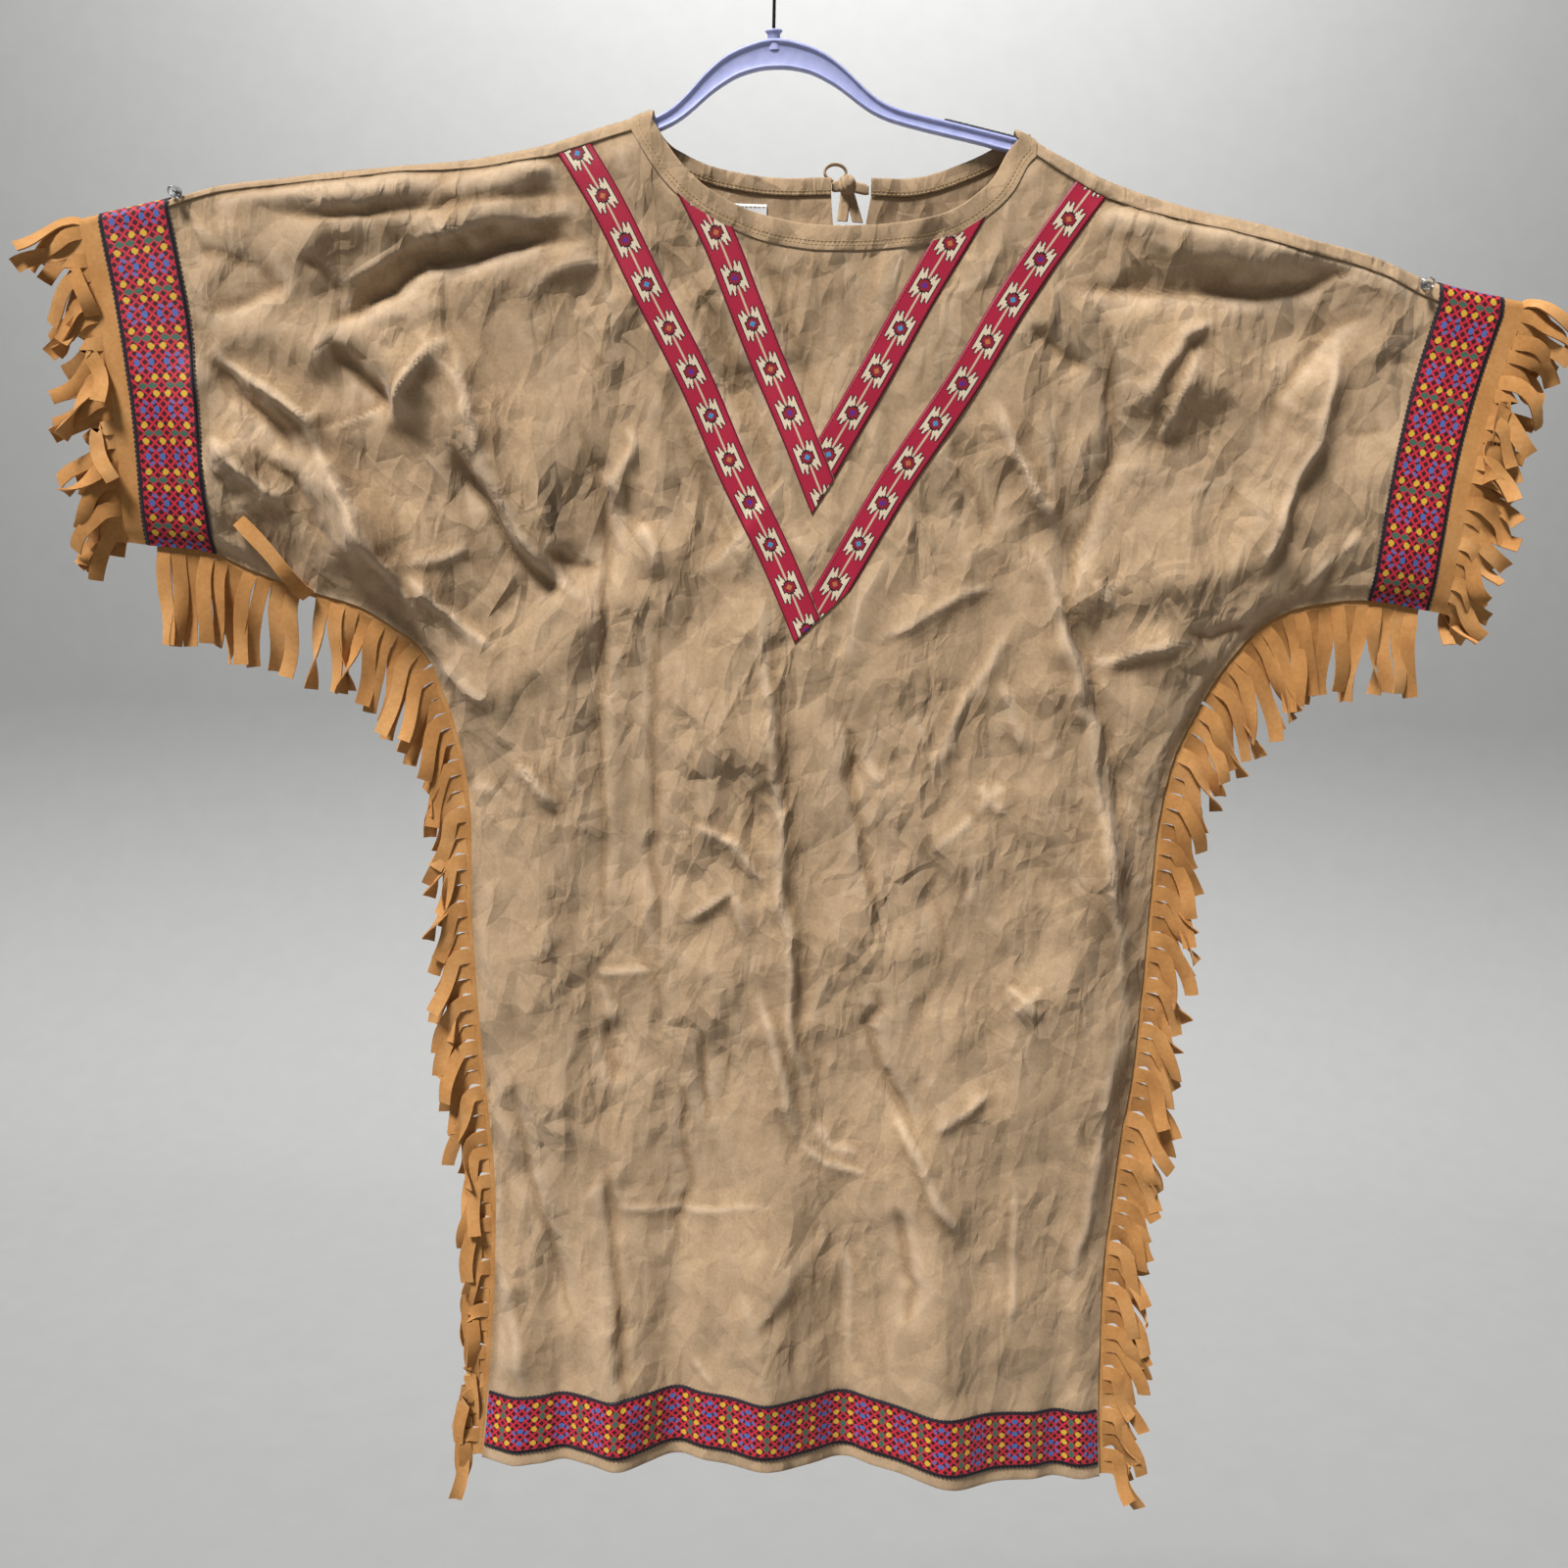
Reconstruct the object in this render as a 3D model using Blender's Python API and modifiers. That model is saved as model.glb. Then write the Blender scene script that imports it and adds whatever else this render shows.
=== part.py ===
"""A fringed tunic with woven ribbon trims, hanging flat on a plastic clothes hanger.

Metres, +Z up. The front faces -Y and +X is on the viewer's right. The origin is the
point where a rail would carry the hook. Tables of sizes are in millimetres.
"""

import math

import bmesh
import bpy
import numpy as np
from mathutils import Matrix, Vector

MM = 0.001
OBJECT_NAME = "fringed_tunic_on_hanger"
CUTTER_NAME = "cutters"

# Walls, and the gap that sewn pieces keep.
CLOTH = 1.2 * MM
RIBBON = 1.0 * MM
SUEDE = 1.2 * MM
BINDING = 2.4 * MM
BINDING_WIDTHS = {"back": 12 * MM, "over": 13 * MM, "front": 15 * MM}
SEAM_GAP = 0.3 * MM
# The binding is the thicker, so it keeps a little further off the panels' edges.
BINDING_GAP = SEAM_GAP + 0.05 * MM

# At the underarm and side seams the fringe tape lies between front and back.
SEAM_HALF = SUEDE / 2 + SEAM_GAP + CLOTH / 2
# How far a trim's middle stands off the middle of the cloth under it.
TRIM_LIFT = CLOTH / 2 + SEAM_GAP + RIBBON / 2

# Top edge of the cloth from cuff to cuff, open at the neck: across, height.
SHOULDER_LEFT = (
    (-548, -221), (-497, -209), (-446, -197), (-417, -188), (-357, -180),
    (-275, -171), (-219, -165), (-168, -155), (-141, -146), (-101, -133), (-86, -128),
)
SHOULDER_RIGHT = (
    (178, -136), (193, -143), (216, -155), (240, -167), (269, -178), (330, -192),
    (383, -204), (455, -221), (500, -239), (548, -247), (599, -255),
)
# Half the thickness of the fold over the top, and how far the seam lies below it in front.
SHOULDER_ROLL = ((-548, 4.0), (-300, 5.0), (-101, 7.0), (193, 7.0), (300, 5.0), (599, 4.0))
SEAM_FORWARD = ((-548, 3.0), (-300, 2.5), (-101, 4.0), (193, 5.0), (240, 8.0), (599, 10.0))

# Lower edge of each sleeve: across, height.
UNDERSIDE_LEFT = (
    (-529, -446), (-476, -452), (-423, -458), (-398, -469), (-371, -479),
    (-345, -487), (-310, -498), (-287, -512), (-268, -526), (-258, -540),
)
UNDERSIDE_RIGHT = (
    (345, -557), (353, -542), (368, -519), (386, -498), (405, -486),
    (435, -478), (468, -475), (515, -482), (562, -489),
)
# Side seams below the underarm: height, across.
SIDE_LEFT = (
    (-1235, -230), (-1162, -223), (-1040, -215), (-972, -214), (-893, -220),
    (-833, -225), (-741, -230), (-640, -231), (-607, -236), (-580, -243), (-540, -258),
)
SIDE_RIGHT = (
    (-1240, 304), (-1162, 298), (-1096, 296), (-1028, 295), (-983, 298), (-925, 302),
    (-873, 308), (-800, 312), (-696, 315), (-647, 318), (-599, 327), (-557, 345),
)
UNDERARM_HEIGHT = (-540, -557)
# Hem line: share of the width from the left, height.
HEM_LINE = ((0.0, -1222), (0.15, -1216), (0.32, -1210), (0.6, -1209), (0.85, -1221), (1.0, -1228))

# Lower edge of the neck binding, where the panels end: across, height.
FRONT_NECK = (
    (-94, -156), (-80, -175), (-61, -193), (-39, -206), (-8, -217), (21, -223), (47, -225),
    (78, -224), (107, -221), (135, -213), (160, -198), (179, -178), (188, -161),
)
BACK_NECK = (
    (-86, -158), (-66, -170), (-46, -177), (-15, -182), (15, -184), (60, -183),
    (97, -183), (117, -180), (148, -171), (169, -161), (183, -152),
)
NECK_LEFT = -101 * MM
NECK_RIGHT = 193 * MM
BACK_CENTRE = 60 * MM
BODY_TOP = (-215 * MM, 300 * MM)
# Places along the body's width, as shares of it, that the columns of the cloth keep to.
NECK_SHARE = 0.2
# Share of a sleeve's length, from the body out: across at the top, across at the bottom.
SLEEVE_LEFT = ((0.0, -215, -258), (0.8, -446, -423), (1.0, -497, -476), (1.2, -548, -529))
SLEEVE_RIGHT = ((0.0, 300, 345), (0.8, 500, 468), (1.0, 548, 515), (1.2, 599, 562))
CUFF_RIBBON = (0.8, 0.89, 0.98, 1.0)
CUFF_END = 0.98
# How far the cuffs bow in towards the body at half their height, left and right.
CUFF_BOW = (8 * MM, -9 * MM)
# The share of a sleeve's length that a seam gap takes.
CUFF_GAP = 0.0028

# Slit in the back, open at the neck.
SLIT_BOTTOM = -330 * MM
SLIT_TOP = -181 * MM
SLIT_HALF = 15 * MM
SLIT_CURVE = 1.3
# Share of the body's width over which the cloth beside the slit is drawn back.
SLIT_FADE = 0.15

# Hem ribbon, above the hem.
RIBBON_TOP = 63 * MM
RIBBON_LOW = 12 * MM

# How full the hanging cloth is, front and back.
FRONT_FULLNESS = 13 * MM
BACK_FULLNESS = 8 * MM
SHOULDER_EASE = 110 * MM
SEAM_EASE = 30 * MM
FOLD_FADE_SEAM = 22 * MM
FOLD_FADE_SHOULDER = 30 * MM
LEAST_DEPTH = 4.2 * MM
DEPTH_BLEND = 2.5 * MM
HANGER_CLEAR = 5.0 * MM
HANGER_ZONE = (-230, -170)

# Largest folds: across and height of the upper end, of the lower end, half width, rise.
# The deepest place of each is its middle, so those that run out at the hem end below it.
FRONT_FOLDS = (
    (-205, -900, -200, -1560, 15, 9),
    (-165, -900, -150, -1540, 13, -8),
    (-122, -860, -97, -1580, 20, 15),
    (-66, -840, -55, -1590, 17, -13),
    (10, -760, 22, -1680, 26, 15),
    (70, -880, 92, -1560, 19, -13),
    (125, -800, 214, -1640, 34, 24),
    (255, -840, 276, -1600, 15, -12),
    (-425, -285, -225, -330, 20, 7),
    (-420, -345, -240, -425, 20, -7),
    (-400, -400, -235, -500, 18, 8),
    (-262, -545, -95, -420, 15, -7),
    (-240, -590, -70, -460, 16, 6),
    (460, -310, 250, -330, 20, 6),
    (450, -380, 250, -410, 20, -6),
    (430, -440, 230, -480, 18, 7),
    (335, -570, 190, -470, 15, -6),
    (205, -450, 240, -700, 14, 6),
    (-175, -620, -165, -900, 24, 5),
    (-100, -520, -102, -800, 12, -5),
)
BACK_FOLDS = (
    (-190, -900, -180, -1560, 20, 6),
    (-110, -860, -120, -1580, 22, -5),
    (-40, -800, -48, -1640, 24, 8),
    (95, -860, 110, -1580, 24, -5),
    (190, -820, 200, -1640, 26, 9),
    (-420, -330, -230, -400, 22, 5),
    (-380, -400, -200, -500, 20, -4),
    (460, -340, 260, -400, 22, 5),
    (420, -420, 240, -500, 20, -4),
    (-255, -560, -90, -470, 18, 5),
    (330, -575, 170, -480, 18, 5),
)

# Rows and columns of the cloth.
UPPER_ROWS = 10
LOWER_ROWS = 12
BODY_COLUMNS = 20
SLEEVE_COLUMNS = 6
ROLL_STEPS = 4

# Narrow ribbons: height, across, of the middle line, and the width.
NARROW = 25 * MM
OUTER_LEFT = ((-560, 57), (-448, 8), (-386, -24), (-321, -54), (-258, -88), (-195, -121), (-130, -163))
OUTER_RIGHT = ((-560, 3), (-459, 61), (-402, 93), (-313, 150), (-259, 181), (-202, 219), (-150, 257))
INNER_LEFT = ((-470, 71), (-392, 38), (-359, 24), (-295, -5), (-260, -20), (-227, -34), (-170, -64))
INNER_RIGHT = ((-470, -5), (-376, 46), (-317, 79), (-254, 113), (-211, 138), (-160, 167))
# The straight end of each V: across and height of its lowest point and of its other corner.
OUTER_END = ((24, -517), (51, -490))
INNER_END = ((35, -420), (49, -397))

# Fringe: strands on each stretch, their width, and the strip that joins their roots.
CUFF_STRANDS = 48
UNDERARM_STRANDS = 20
SIDE_STRANDS = 53
STRAND_WIDTH = 9.2 * MM
CUFF_HEADING = 25 * MM
TAPE_INSIDE = 6 * MM
TAPE_OUTSIDE = 4 * MM
TAPE_END_GAP = 1.3 * MM
UNDERARM_STEPS = (9 * MM, 60 * MM)
SIDE_STEPS = (9 * MM, 48 * MM)
CUFF_STEPS = (13 * MM, 26 * MM)
CUFF_STRETCH = (1.0, 0.8)
# Slope of a cuff strand's fall: least, what chance adds, what the underside adds.
CUFF_DROOP = (0.55, 0.3, 0.9)
# How far neighbouring strands stand off the tape, so that they pass in front of each other.
CUFF_LAYERS = (0.4 * MM, 2.4 * MM, 4.4 * MM)
SEAM_LAYERS = (-2.2 * MM, 0.0, 2.2 * MM)
# How the side fringe leans out as it hangs: height, lean left, lean right (as slopes).
SIDE_LEAN = ((-1230, 0.08, 0.42), (-1040, 0.06, 0.45), (-860, 0.3, 0.42), (-540, 0.34, 0.4))
# How much of its turn downwards a side strand has made where it leaves the tape.
SIDE_TURN = ((-1230, 0.3, 0.06), (-1040, 0.3, 0.06), (-860, 0.1, 0.06), (-540, 0.06, 0.06))

# Hanger in its own frame, below the top of its boss: across, top edge, lower edge.
HANGER_PROFILE = (
    (8, -7, -27.3), (18, -9.5, -29), (28, -13, -32), (37, -17.5, -36.5), (46, -24, -42),
    (54, -31, -48), (61, -38, -53.5), (68, -44.5, -58.5), (75, -50, -62.5), (82, -54, -65.6),
    (89, -57, -68), (106, -62, -73), (123, -66.5, -77.5), (148, -73.2, -84), (173, -80, -91),
    (184, -83.2, -93.2),
)
HANGER_TOP = -71 * MM
HANGER_TILT = 3.0
HANGER_THICK = 7 * MM
HANGER_END = 190 * MM
HANGER_END_HEIGHT = -88.4 * MM
BOSS_HALF = 4.5 * MM
BOSS_LIP = 6.3 * MM
EDGE_ROUND = 0.8 * MM
WIRE_RADIUS = 1.2 * MM
HOOK_RADIUS = 20 * MM
# The hook's arc starts low on the right and sweeps over the top, in degrees.
HOOK_START = -58
HOOK_SWEEP = 250
HOOK_STEPS = 16
STEM_TOP = -49 * MM
GRIP_SPAN = (123, 177)
GRIP_HEIGHT = 1.2 * MM
GRIP_WIDTH = 4.0 * MM

# Push pins: across and height of each; turned profile as radius, distance in front.
PINS = (("push_pin_left", -439, -194), ("push_pin_right", 489, -240))
PIN_SIDES = 12
PIN_PROFILE = (
    (0.0, 8.4), (3.3, 8.4), (3.8, 7.6), (2.9, 6.4), (2.6, 3.2), (3.0, 1.8), (4.3, 1.2),
    (4.5, 0.4), (4.1, 0.0), (0.55, 0.0), (0.55, -12.0), (0.0, -13.5),
)
PIN_HOLE = 0.85 * MM
PIN_CLEAR = 0.5 * MM

# Tie behind the neck: the knot's middle, and each strip's points, mostly from there.
KNOT = (57, 17, -174)
KNOT_RADII = (6.5, 6, 7.5)
TIE_WIDTH = 8.2 * MM
TIE_THICK = 1.8 * MM
TIE_FROM_LEFT = (45.6, 14.5, -176)
TIE_FROM_RIGHT = (73.4, 14.5, -178)
TIE_LOOP_CENTRE = (-9, 1, 9)
TIE_LOOP_RADII = (9, 6.5)
TIE_LOOP_WIDTH = 7 * MM
TIE_LOOP_START = -60
TIE_LOOP_SWEEP = 320
TIE_LOOP_STEPS = 8
TIE_END_LEFT = ((0, 0, 0), (3.2, 2.4, -9), (6.3, 3.4, -18), (9, 3.2, -26))
TIE_END_RIGHT = ((0, 0, 0), (-1, 1, -9), (-2, 0.6, -18), (-3, -0.8, -26))

# Neck label, blank: across from, across to, lower edge, upper edge.
LABEL = (-39, -3, -238, -190)

LOOKS = {
    "cloth": ((0.43, 0.31, 0.19), 0.9, 0.0),
    "suede": ((0.55, 0.30, 0.10), 0.85, 0.0),
    "wide_ribbon": ((0.45, 0.02, 0.05), 0.75, 0.0),
    "narrow_ribbon": ((0.42, 0.01, 0.06), 0.45, 0.0),
    "label": ((0.85, 0.84, 0.82), 0.8, 0.0),
    "hanger_plastic": ((0.46, 0.48, 0.75), 0.35, 0.0),
    "grip": ((0.07, 0.07, 0.08), 0.8, 0.0),
    "steel": ((0.08, 0.08, 0.09), 0.3, 1.0),
    "clear_plastic": ((0.85, 0.87, 0.88), 0.1, 0.0),
}


def smooth(places, table, value=1, key=0):
    """Reads a column of a table on a smooth curve through its rows, in metres."""
    keys = np.array([row[key] for row in table], float) * MM
    values = np.array([row[value] for row in table], float) * MM
    slopes = np.gradient(values, keys)
    places = np.asarray(places, float)
    low = np.clip(np.searchsorted(keys, places) - 1, 0, len(keys) - 2)
    span = keys[low + 1] - keys[low]
    t = (places - keys[low]) / span
    rise = t * t * (3 - 2 * t)
    lean_in = t * (1 - t) ** 2 * span * slopes[low]
    lean_out = t * t * (1 - t) * span * slopes[low + 1]
    return values[low] * (1 - rise) + values[low + 1] * rise + lean_in - lean_out


def by_share(share, table, value=1):
    """Reads a column of a table whose first column is a plain share."""
    keys = [row[0] for row in table]
    return np.interp(share, keys, [row[value] * MM for row in table])


def by_place(place, table):
    """Reads a table of straight stretches, in metres."""
    return np.interp(place, [row[0] * MM for row in table], [row[1] * MM for row in table])


def shoulder_height(across):
    """Height of the cloth's top edge at a place across, past the neck on either side."""
    middle = (NECK_LEFT + NECK_RIGHT) / 2
    left = smooth(np.minimum(across, -80 * MM), SHOULDER_LEFT)
    right = smooth(np.maximum(across, 170 * MM), SHOULDER_RIGHT)
    return np.where(across < middle, left, right)


def seam_drop(across):
    """How far the shoulder seam lies below the top edge, on the front."""
    return CLOTH / 2 + by_place(across, SHOULDER_ROLL) + by_place(across, SEAM_FORWARD)


def roll_drop(across):
    """How far the middle of the shoulder fold lies below the top edge."""
    return CLOTH / 2 + by_place(across, SHOULDER_ROLL)


def neck_table(rows, drop):
    """Neck edge from one shoulder to the other, with its two corners on the shoulders."""
    ends = []
    for across in (NECK_LEFT, NECK_RIGHT):
        height = float(shoulder_height(across) - drop(across))
        ends.append((across / MM, height / MM))
    return (ends[0],) + tuple(rows) + (ends[1],)


def eased(share):
    """Closer steps at both ends of a stretch, where the neck edge is steep."""
    return 0.5 * share + 0.25 * (1 - np.cos(math.pi * share))


def body_top_across(share, back):
    """Where a column of the body starts on the shoulders or the neck edge."""
    low, high = NECK_SHARE, 1 - NECK_SHARE
    left = BODY_TOP[0] + (NECK_LEFT - BODY_TOP[0]) * share / low
    right = NECK_RIGHT + (BODY_TOP[1] - NECK_RIGHT) * (share - high) / low
    inner = eased(np.clip((share - low) / (high - low), 0, 1))
    if back:
        inner = np.interp(inner, (0, 0.5, 1), (NECK_LEFT, BACK_CENTRE, NECK_RIGHT))
    else:
        inner = NECK_LEFT + (NECK_RIGHT - NECK_LEFT) * inner
    return np.where(share < low, left, np.where(share > high, right, inner))


def top_height(across, share, back):
    """Height at which a panel ends, on the shoulder seam or the neck edge."""
    drop = roll_drop if back else seam_drop
    neck = smooth(across, neck_table(BACK_NECK if back else FRONT_NECK, drop))
    shoulder = shoulder_height(across) - drop(across)
    in_neck = (share > NECK_SHARE) & (share < 1 - NECK_SHARE)
    return np.where(in_neck, neck, shoulder)


def body_across(share, height):
    """Place across the body between the two side seams, at a height."""
    left = smooth(height, SIDE_LEFT)
    right = smooth(height, SIDE_RIGHT)
    return left + (right - left) * share


def slit_half(height):
    """Half the opening between the two back panels."""
    opened = np.clip((height - SLIT_BOTTOM) / (SLIT_TOP - SLIT_BOTTOM), 0, 1.1)
    return SEAM_GAP / 2 + SLIT_HALF * opened ** SLIT_CURVE


def lay_out(share, row, back=False, side=0):
    """Across and height of a point of a panel.

    share runs 0 to 1 across the body, below 0 out along the left sleeve and above 1
    along the right one. row runs 0 to 1 down to the underarm, to 2 at the hem ribbon's
    top edge and to 3 at the hem. side is -1 or 1 for the two back panels.
    """
    share, row = np.broadcast_arrays(np.asarray(share, float), np.asarray(row, float))
    inside = np.clip(share, 0, 1)
    left, right = np.clip(-share, 0, 1.2), np.clip(share - 1, 0, 1.2)
    top_x = body_top_across(inside, back)
    top_x = np.where(share < 0, by_share(left, SLEEVE_LEFT), top_x)
    top_x = np.where(share > 1, by_share(right, SLEEVE_RIGHT), top_x)
    top_z = top_height(top_x, share, back)
    low_z = (UNDERARM_HEIGHT[0] + (UNDERARM_HEIGHT[1] - UNDERARM_HEIGHT[0]) * inside) * MM
    low_x = body_across(inside, low_z)
    left_x, right_x = by_share(left, SLEEVE_LEFT, 2), by_share(right, SLEEVE_RIGHT, 2)
    low_x = np.where(share < 0, left_x, np.where(share > 1, right_x, low_x))
    low_z = np.where(share < 0, smooth(left_x, UNDERSIDE_LEFT), low_z)
    low_z = np.where(share > 1, smooth(right_x, UNDERSIDE_RIGHT), low_z)
    upper = np.minimum(row, 1)
    x = top_x + (low_x - top_x) * upper
    x = x + (left * CUFF_BOW[0] + right * CUFF_BOW[1]) * np.sin(math.pi * upper)
    z = top_z + (low_z - top_z) * upper
    hem = np.interp(inside, [h[0] for h in HEM_LINE], [h[1] * MM for h in HEM_LINE])
    ribbon = hem + RIBBON_TOP
    middle_z = low_z + (ribbon - low_z) * np.clip(row - 1, 0, 1)
    lower_z = np.where(row > 2, ribbon - RIBBON_TOP * (row - 2), middle_z)
    z = np.where(row > 1, lower_z, z)
    x = np.where(row > 1, body_across(inside, z), x)
    if side:
        nearness = np.clip(1 - np.abs(inside - 0.5) / SLIT_FADE, 0, 1)
        x = x + side * slit_half(z) * nearness
    return x, z


def sample_edges():
    """Points along the shoulder folds, and along the underarm and side seams."""
    shoulders = []
    for table in (SHOULDER_LEFT, SHOULDER_RIGHT):
        across = np.linspace(table[0][0], table[-1][0], 120) * MM
        shoulders.append(np.stack([across, shoulder_height(across)], 1))
    seams = []
    for table in (UNDERSIDE_LEFT, UNDERSIDE_RIGHT):
        across = np.linspace(table[0][0], table[-1][0], 90) * MM
        seams.append(np.stack([across, smooth(across, table)], 1))
    for table in (SIDE_LEFT, SIDE_RIGHT):
        height = np.linspace(table[0][0], table[-1][0], 180) * MM
        seams.append(np.stack([smooth(height, table), height], 1))
    return np.concatenate(shoulders), np.concatenate(seams)


SHOULDER_POINTS, SEAM_POINTS = sample_edges()


def nearest(x, z, points):
    """Distance in the plane of the garment to the nearest of some points."""
    flat = np.stack([np.ravel(x), np.ravel(z)], 1)
    gaps = np.linalg.norm(flat[:, None, :] - points[None, :, :], axis=2)
    return gaps.min(1).reshape(np.shape(x))


def fold_relief(x, z, folds):
    """Height of all the folds at a place, each a soft ridge or trough along a line."""
    relief = np.zeros(np.shape(x))
    for x0, z0, x1, z1, half_width, rise in folds:
        start = np.array([x0, z0]) * MM
        run = np.array([x1 - x0, z1 - z0]) * MM
        length = np.linalg.norm(run)
        along = ((x - start[0]) * run[0] + (z - start[1]) * run[1]) / length ** 2
        aside = ((x - start[0]) * run[1] - (z - start[1]) * run[0]) / length
        inside = np.clip(along, 0, 1)
        crest = np.sin(math.pi * inside) ** 1.2
        relief += rise * MM * crest * np.exp(-((aside / (half_width * MM)) ** 2))
    return relief


def wall_depth(x, z, back):
    """How far a panel stands from the middle plane of the garment."""
    x, z = np.broadcast_arrays(np.asarray(x, float), np.asarray(z, float))
    fullness, folds = (BACK_FULLNESS, BACK_FOLDS) if back else (FRONT_FULLNESS, FRONT_FOLDS)
    roll = by_place(x, SHOULDER_ROLL)
    below = np.maximum(nearest(x, z, SHOULDER_POINTS) - CLOTH / 2 - roll, 0)
    from_seam = nearest(x, z, SEAM_POINTS)
    opened = 1 - np.exp(-from_seam / SEAM_EASE)
    full = roll + fullness * (1 - np.exp(-below / SHOULDER_EASE))
    off_seam = 1 - np.exp(-((from_seam / FOLD_FADE_SEAM) ** 2))
    fade = off_seam * (1 - np.exp(-((below / FOLD_FADE_SHOULDER) ** 2)))
    depth = full + fold_relief(x, z, folds) * fade
    near_hanger = np.interp(z, np.array(HANGER_ZONE) * MM, (0, 1))
    least = LEAST_DEPTH + (HANGER_CLEAR - LEAST_DEPTH) * near_hanger
    depth = least + DEPTH_BLEND * np.logaddexp(0, (depth - least) / DEPTH_BLEND)
    return SEAM_HALF + (depth - SEAM_HALF) * opened


def panel_points(share, row, back=False, side=0):
    """Points of a panel's middle surface."""
    x, z = lay_out(share, row, back, side)
    depth = wall_depth(x, z, back)
    return np.stack([x, depth if back else -depth, z], -1)


def facing(x, z, back):
    """Outward normals of a panel at places in its plane."""
    step = 0.5 * MM
    slope_x = (wall_depth(x + step, z, back) - wall_depth(x - step, z, back)) / (2 * step)
    slope_z = (wall_depth(x, z + step, back) - wall_depth(x, z - step, back)) / (2 * step)
    way = np.full(np.shape(x), 1.0 if back else -1.0)
    normals = np.stack([-slope_x, way, -slope_z], -1)
    return normals / np.linalg.norm(normals, axis=-1, keepdims=True)


def lattice(shares, rows, back=False, side=0):
    """Rows of panel points, top to bottom, each from left to right."""
    grid_share, grid_row = np.meshgrid(np.asarray(shares), np.asarray(rows))
    return panel_points(grid_share, grid_row, back, side)


def over_shoulder(x, angle):
    """Depth and height of the fold over the shoulder, from in front (0) round to behind."""
    radius = by_place(x, SHOULDER_ROLL)
    centre = shoulder_height(x) - CLOTH / 2 - radius
    behind = angle > math.pi / 2
    depth = wall_depth(x, centre, behind)
    return -depth * math.cos(angle), centre + radius * math.sin(angle)


def roll_path(shares):
    """Points of the fold over the shoulder, from the front seam over to the back panel."""
    front = panel_points(shares, np.zeros(len(shares)))
    below = panel_points(shares, np.full(len(shares), 0.02))
    upward = front - below
    upward /= np.linalg.norm(upward, axis=1, keepdims=True)
    x = front[:, 0]
    rows = [front + upward * SEAM_GAP]
    for step in range(ROLL_STEPS + 1):
        y, z = over_shoulder(x, math.pi * step / ROLL_STEPS)
        rows.append(np.stack([x, y, z], 1))
    return np.array(rows)


def outward_normals(grid, towards):
    """Normals of a lattice of points, on the side that looks towards a direction."""
    normals = np.cross(np.gradient(grid, axis=0), np.gradient(grid, axis=1))
    normals /= np.linalg.norm(normals, axis=-1, keepdims=True)
    middle = normals[len(normals) // 2, 0]
    if np.dot(middle, towards) < 0:
        normals = -normals
    return normals


def link(obj, collection=OBJECT_NAME):
    """Puts an object in its collection."""
    bpy.data.collections[collection].objects.link(obj)
    return obj


def dress(obj, look):
    """Gives an object a material of its own."""
    colour, roughness, metallic = LOOKS[look]
    material = bpy.data.materials.new(f"{obj.name}_{look}")
    material.use_nodes = True
    shader = material.node_tree.nodes["Principled BSDF"]
    shader.inputs["Base Color"].default_value = (*colour, 1)
    shader.inputs["Roughness"].default_value = roughness
    shader.inputs["Metallic"].default_value = metallic
    material.diffuse_color = (*colour, 1)
    obj.data.materials.clear()
    obj.data.materials.append(material)
    return obj


def sheet_bmesh(patches, towards):
    """Joins lattices of points into one open surface that faces a direction."""
    sheet = bmesh.new()
    for grid in patches:
        rows, columns = grid.shape[:2]
        points = [[sheet.verts.new(Vector(grid[r, c])) for c in range(columns)] for r in range(rows)]
        for r in range(rows - 1):
            for c in range(columns - 1):
                corners = (points[r][c], points[r + 1][c], points[r + 1][c + 1], points[r][c + 1])
                sheet.faces.new(corners)
    bmesh.ops.remove_doubles(sheet, verts=sheet.verts, dist=0.01 * MM)
    bmesh.ops.recalc_face_normals(sheet, faces=sheet.faces)
    sheet.normal_update()
    facing_sum = sum((f.normal.dot(Vector(towards)) * f.calc_area() for f in sheet.faces), 0.0)
    if facing_sum < 0:
        bmesh.ops.reverse_faces(sheet, faces=sheet.faces)
    return sheet


def shell(name, sheet, thickness, look):
    """Makes an open surface into a wall with the surface in its middle."""
    mesh = bpy.data.meshes.new(name)
    sheet.to_mesh(mesh)
    sheet.free()
    mesh.shade_smooth()
    obj = link(bpy.data.objects.new(name, mesh))
    wall = obj.modifiers.new("wall", "SOLIDIFY")
    wall.thickness = thickness
    wall.offset = 0
    return dress(obj, look)


def body_rows():
    """Rows of the body, with the hem ribbon's edges among them."""
    upper = np.linspace(0, 1, UPPER_ROWS + 1)
    lower = np.linspace(1, 2, LOWER_ROWS + 1)[1:]
    ribbon_low = 3 - RIBBON_LOW / RIBBON_TOP
    return np.concatenate([upper, lower, [(2 + ribbon_low) / 2, ribbon_low, 3]])


def sleeve_shares(sign):
    """Columns of a sleeve from its cuff to the body, or from the body to its cuff."""
    out = np.linspace(0, CUFF_RIBBON[0], SLEEVE_COLUMNS + 1)
    out = np.concatenate([out, [CUFF_RIBBON[1], CUFF_END]])
    return -out[::-1] if sign < 0 else 1 + out


def body_shares(low=0.0, high=1.0):
    """Columns of the body between two shares of its width."""
    count = round(BODY_COLUMNS * (high - low))
    return np.linspace(low, high, count + 1)


def front_patches():
    """Lattices of the front panel."""
    upper = np.linspace(0, 1, UPPER_ROWS + 1)
    return [
        lattice(sleeve_shares(-1), upper),
        lattice(body_shares(), body_rows()),
        lattice(sleeve_shares(1), upper),
    ]


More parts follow.
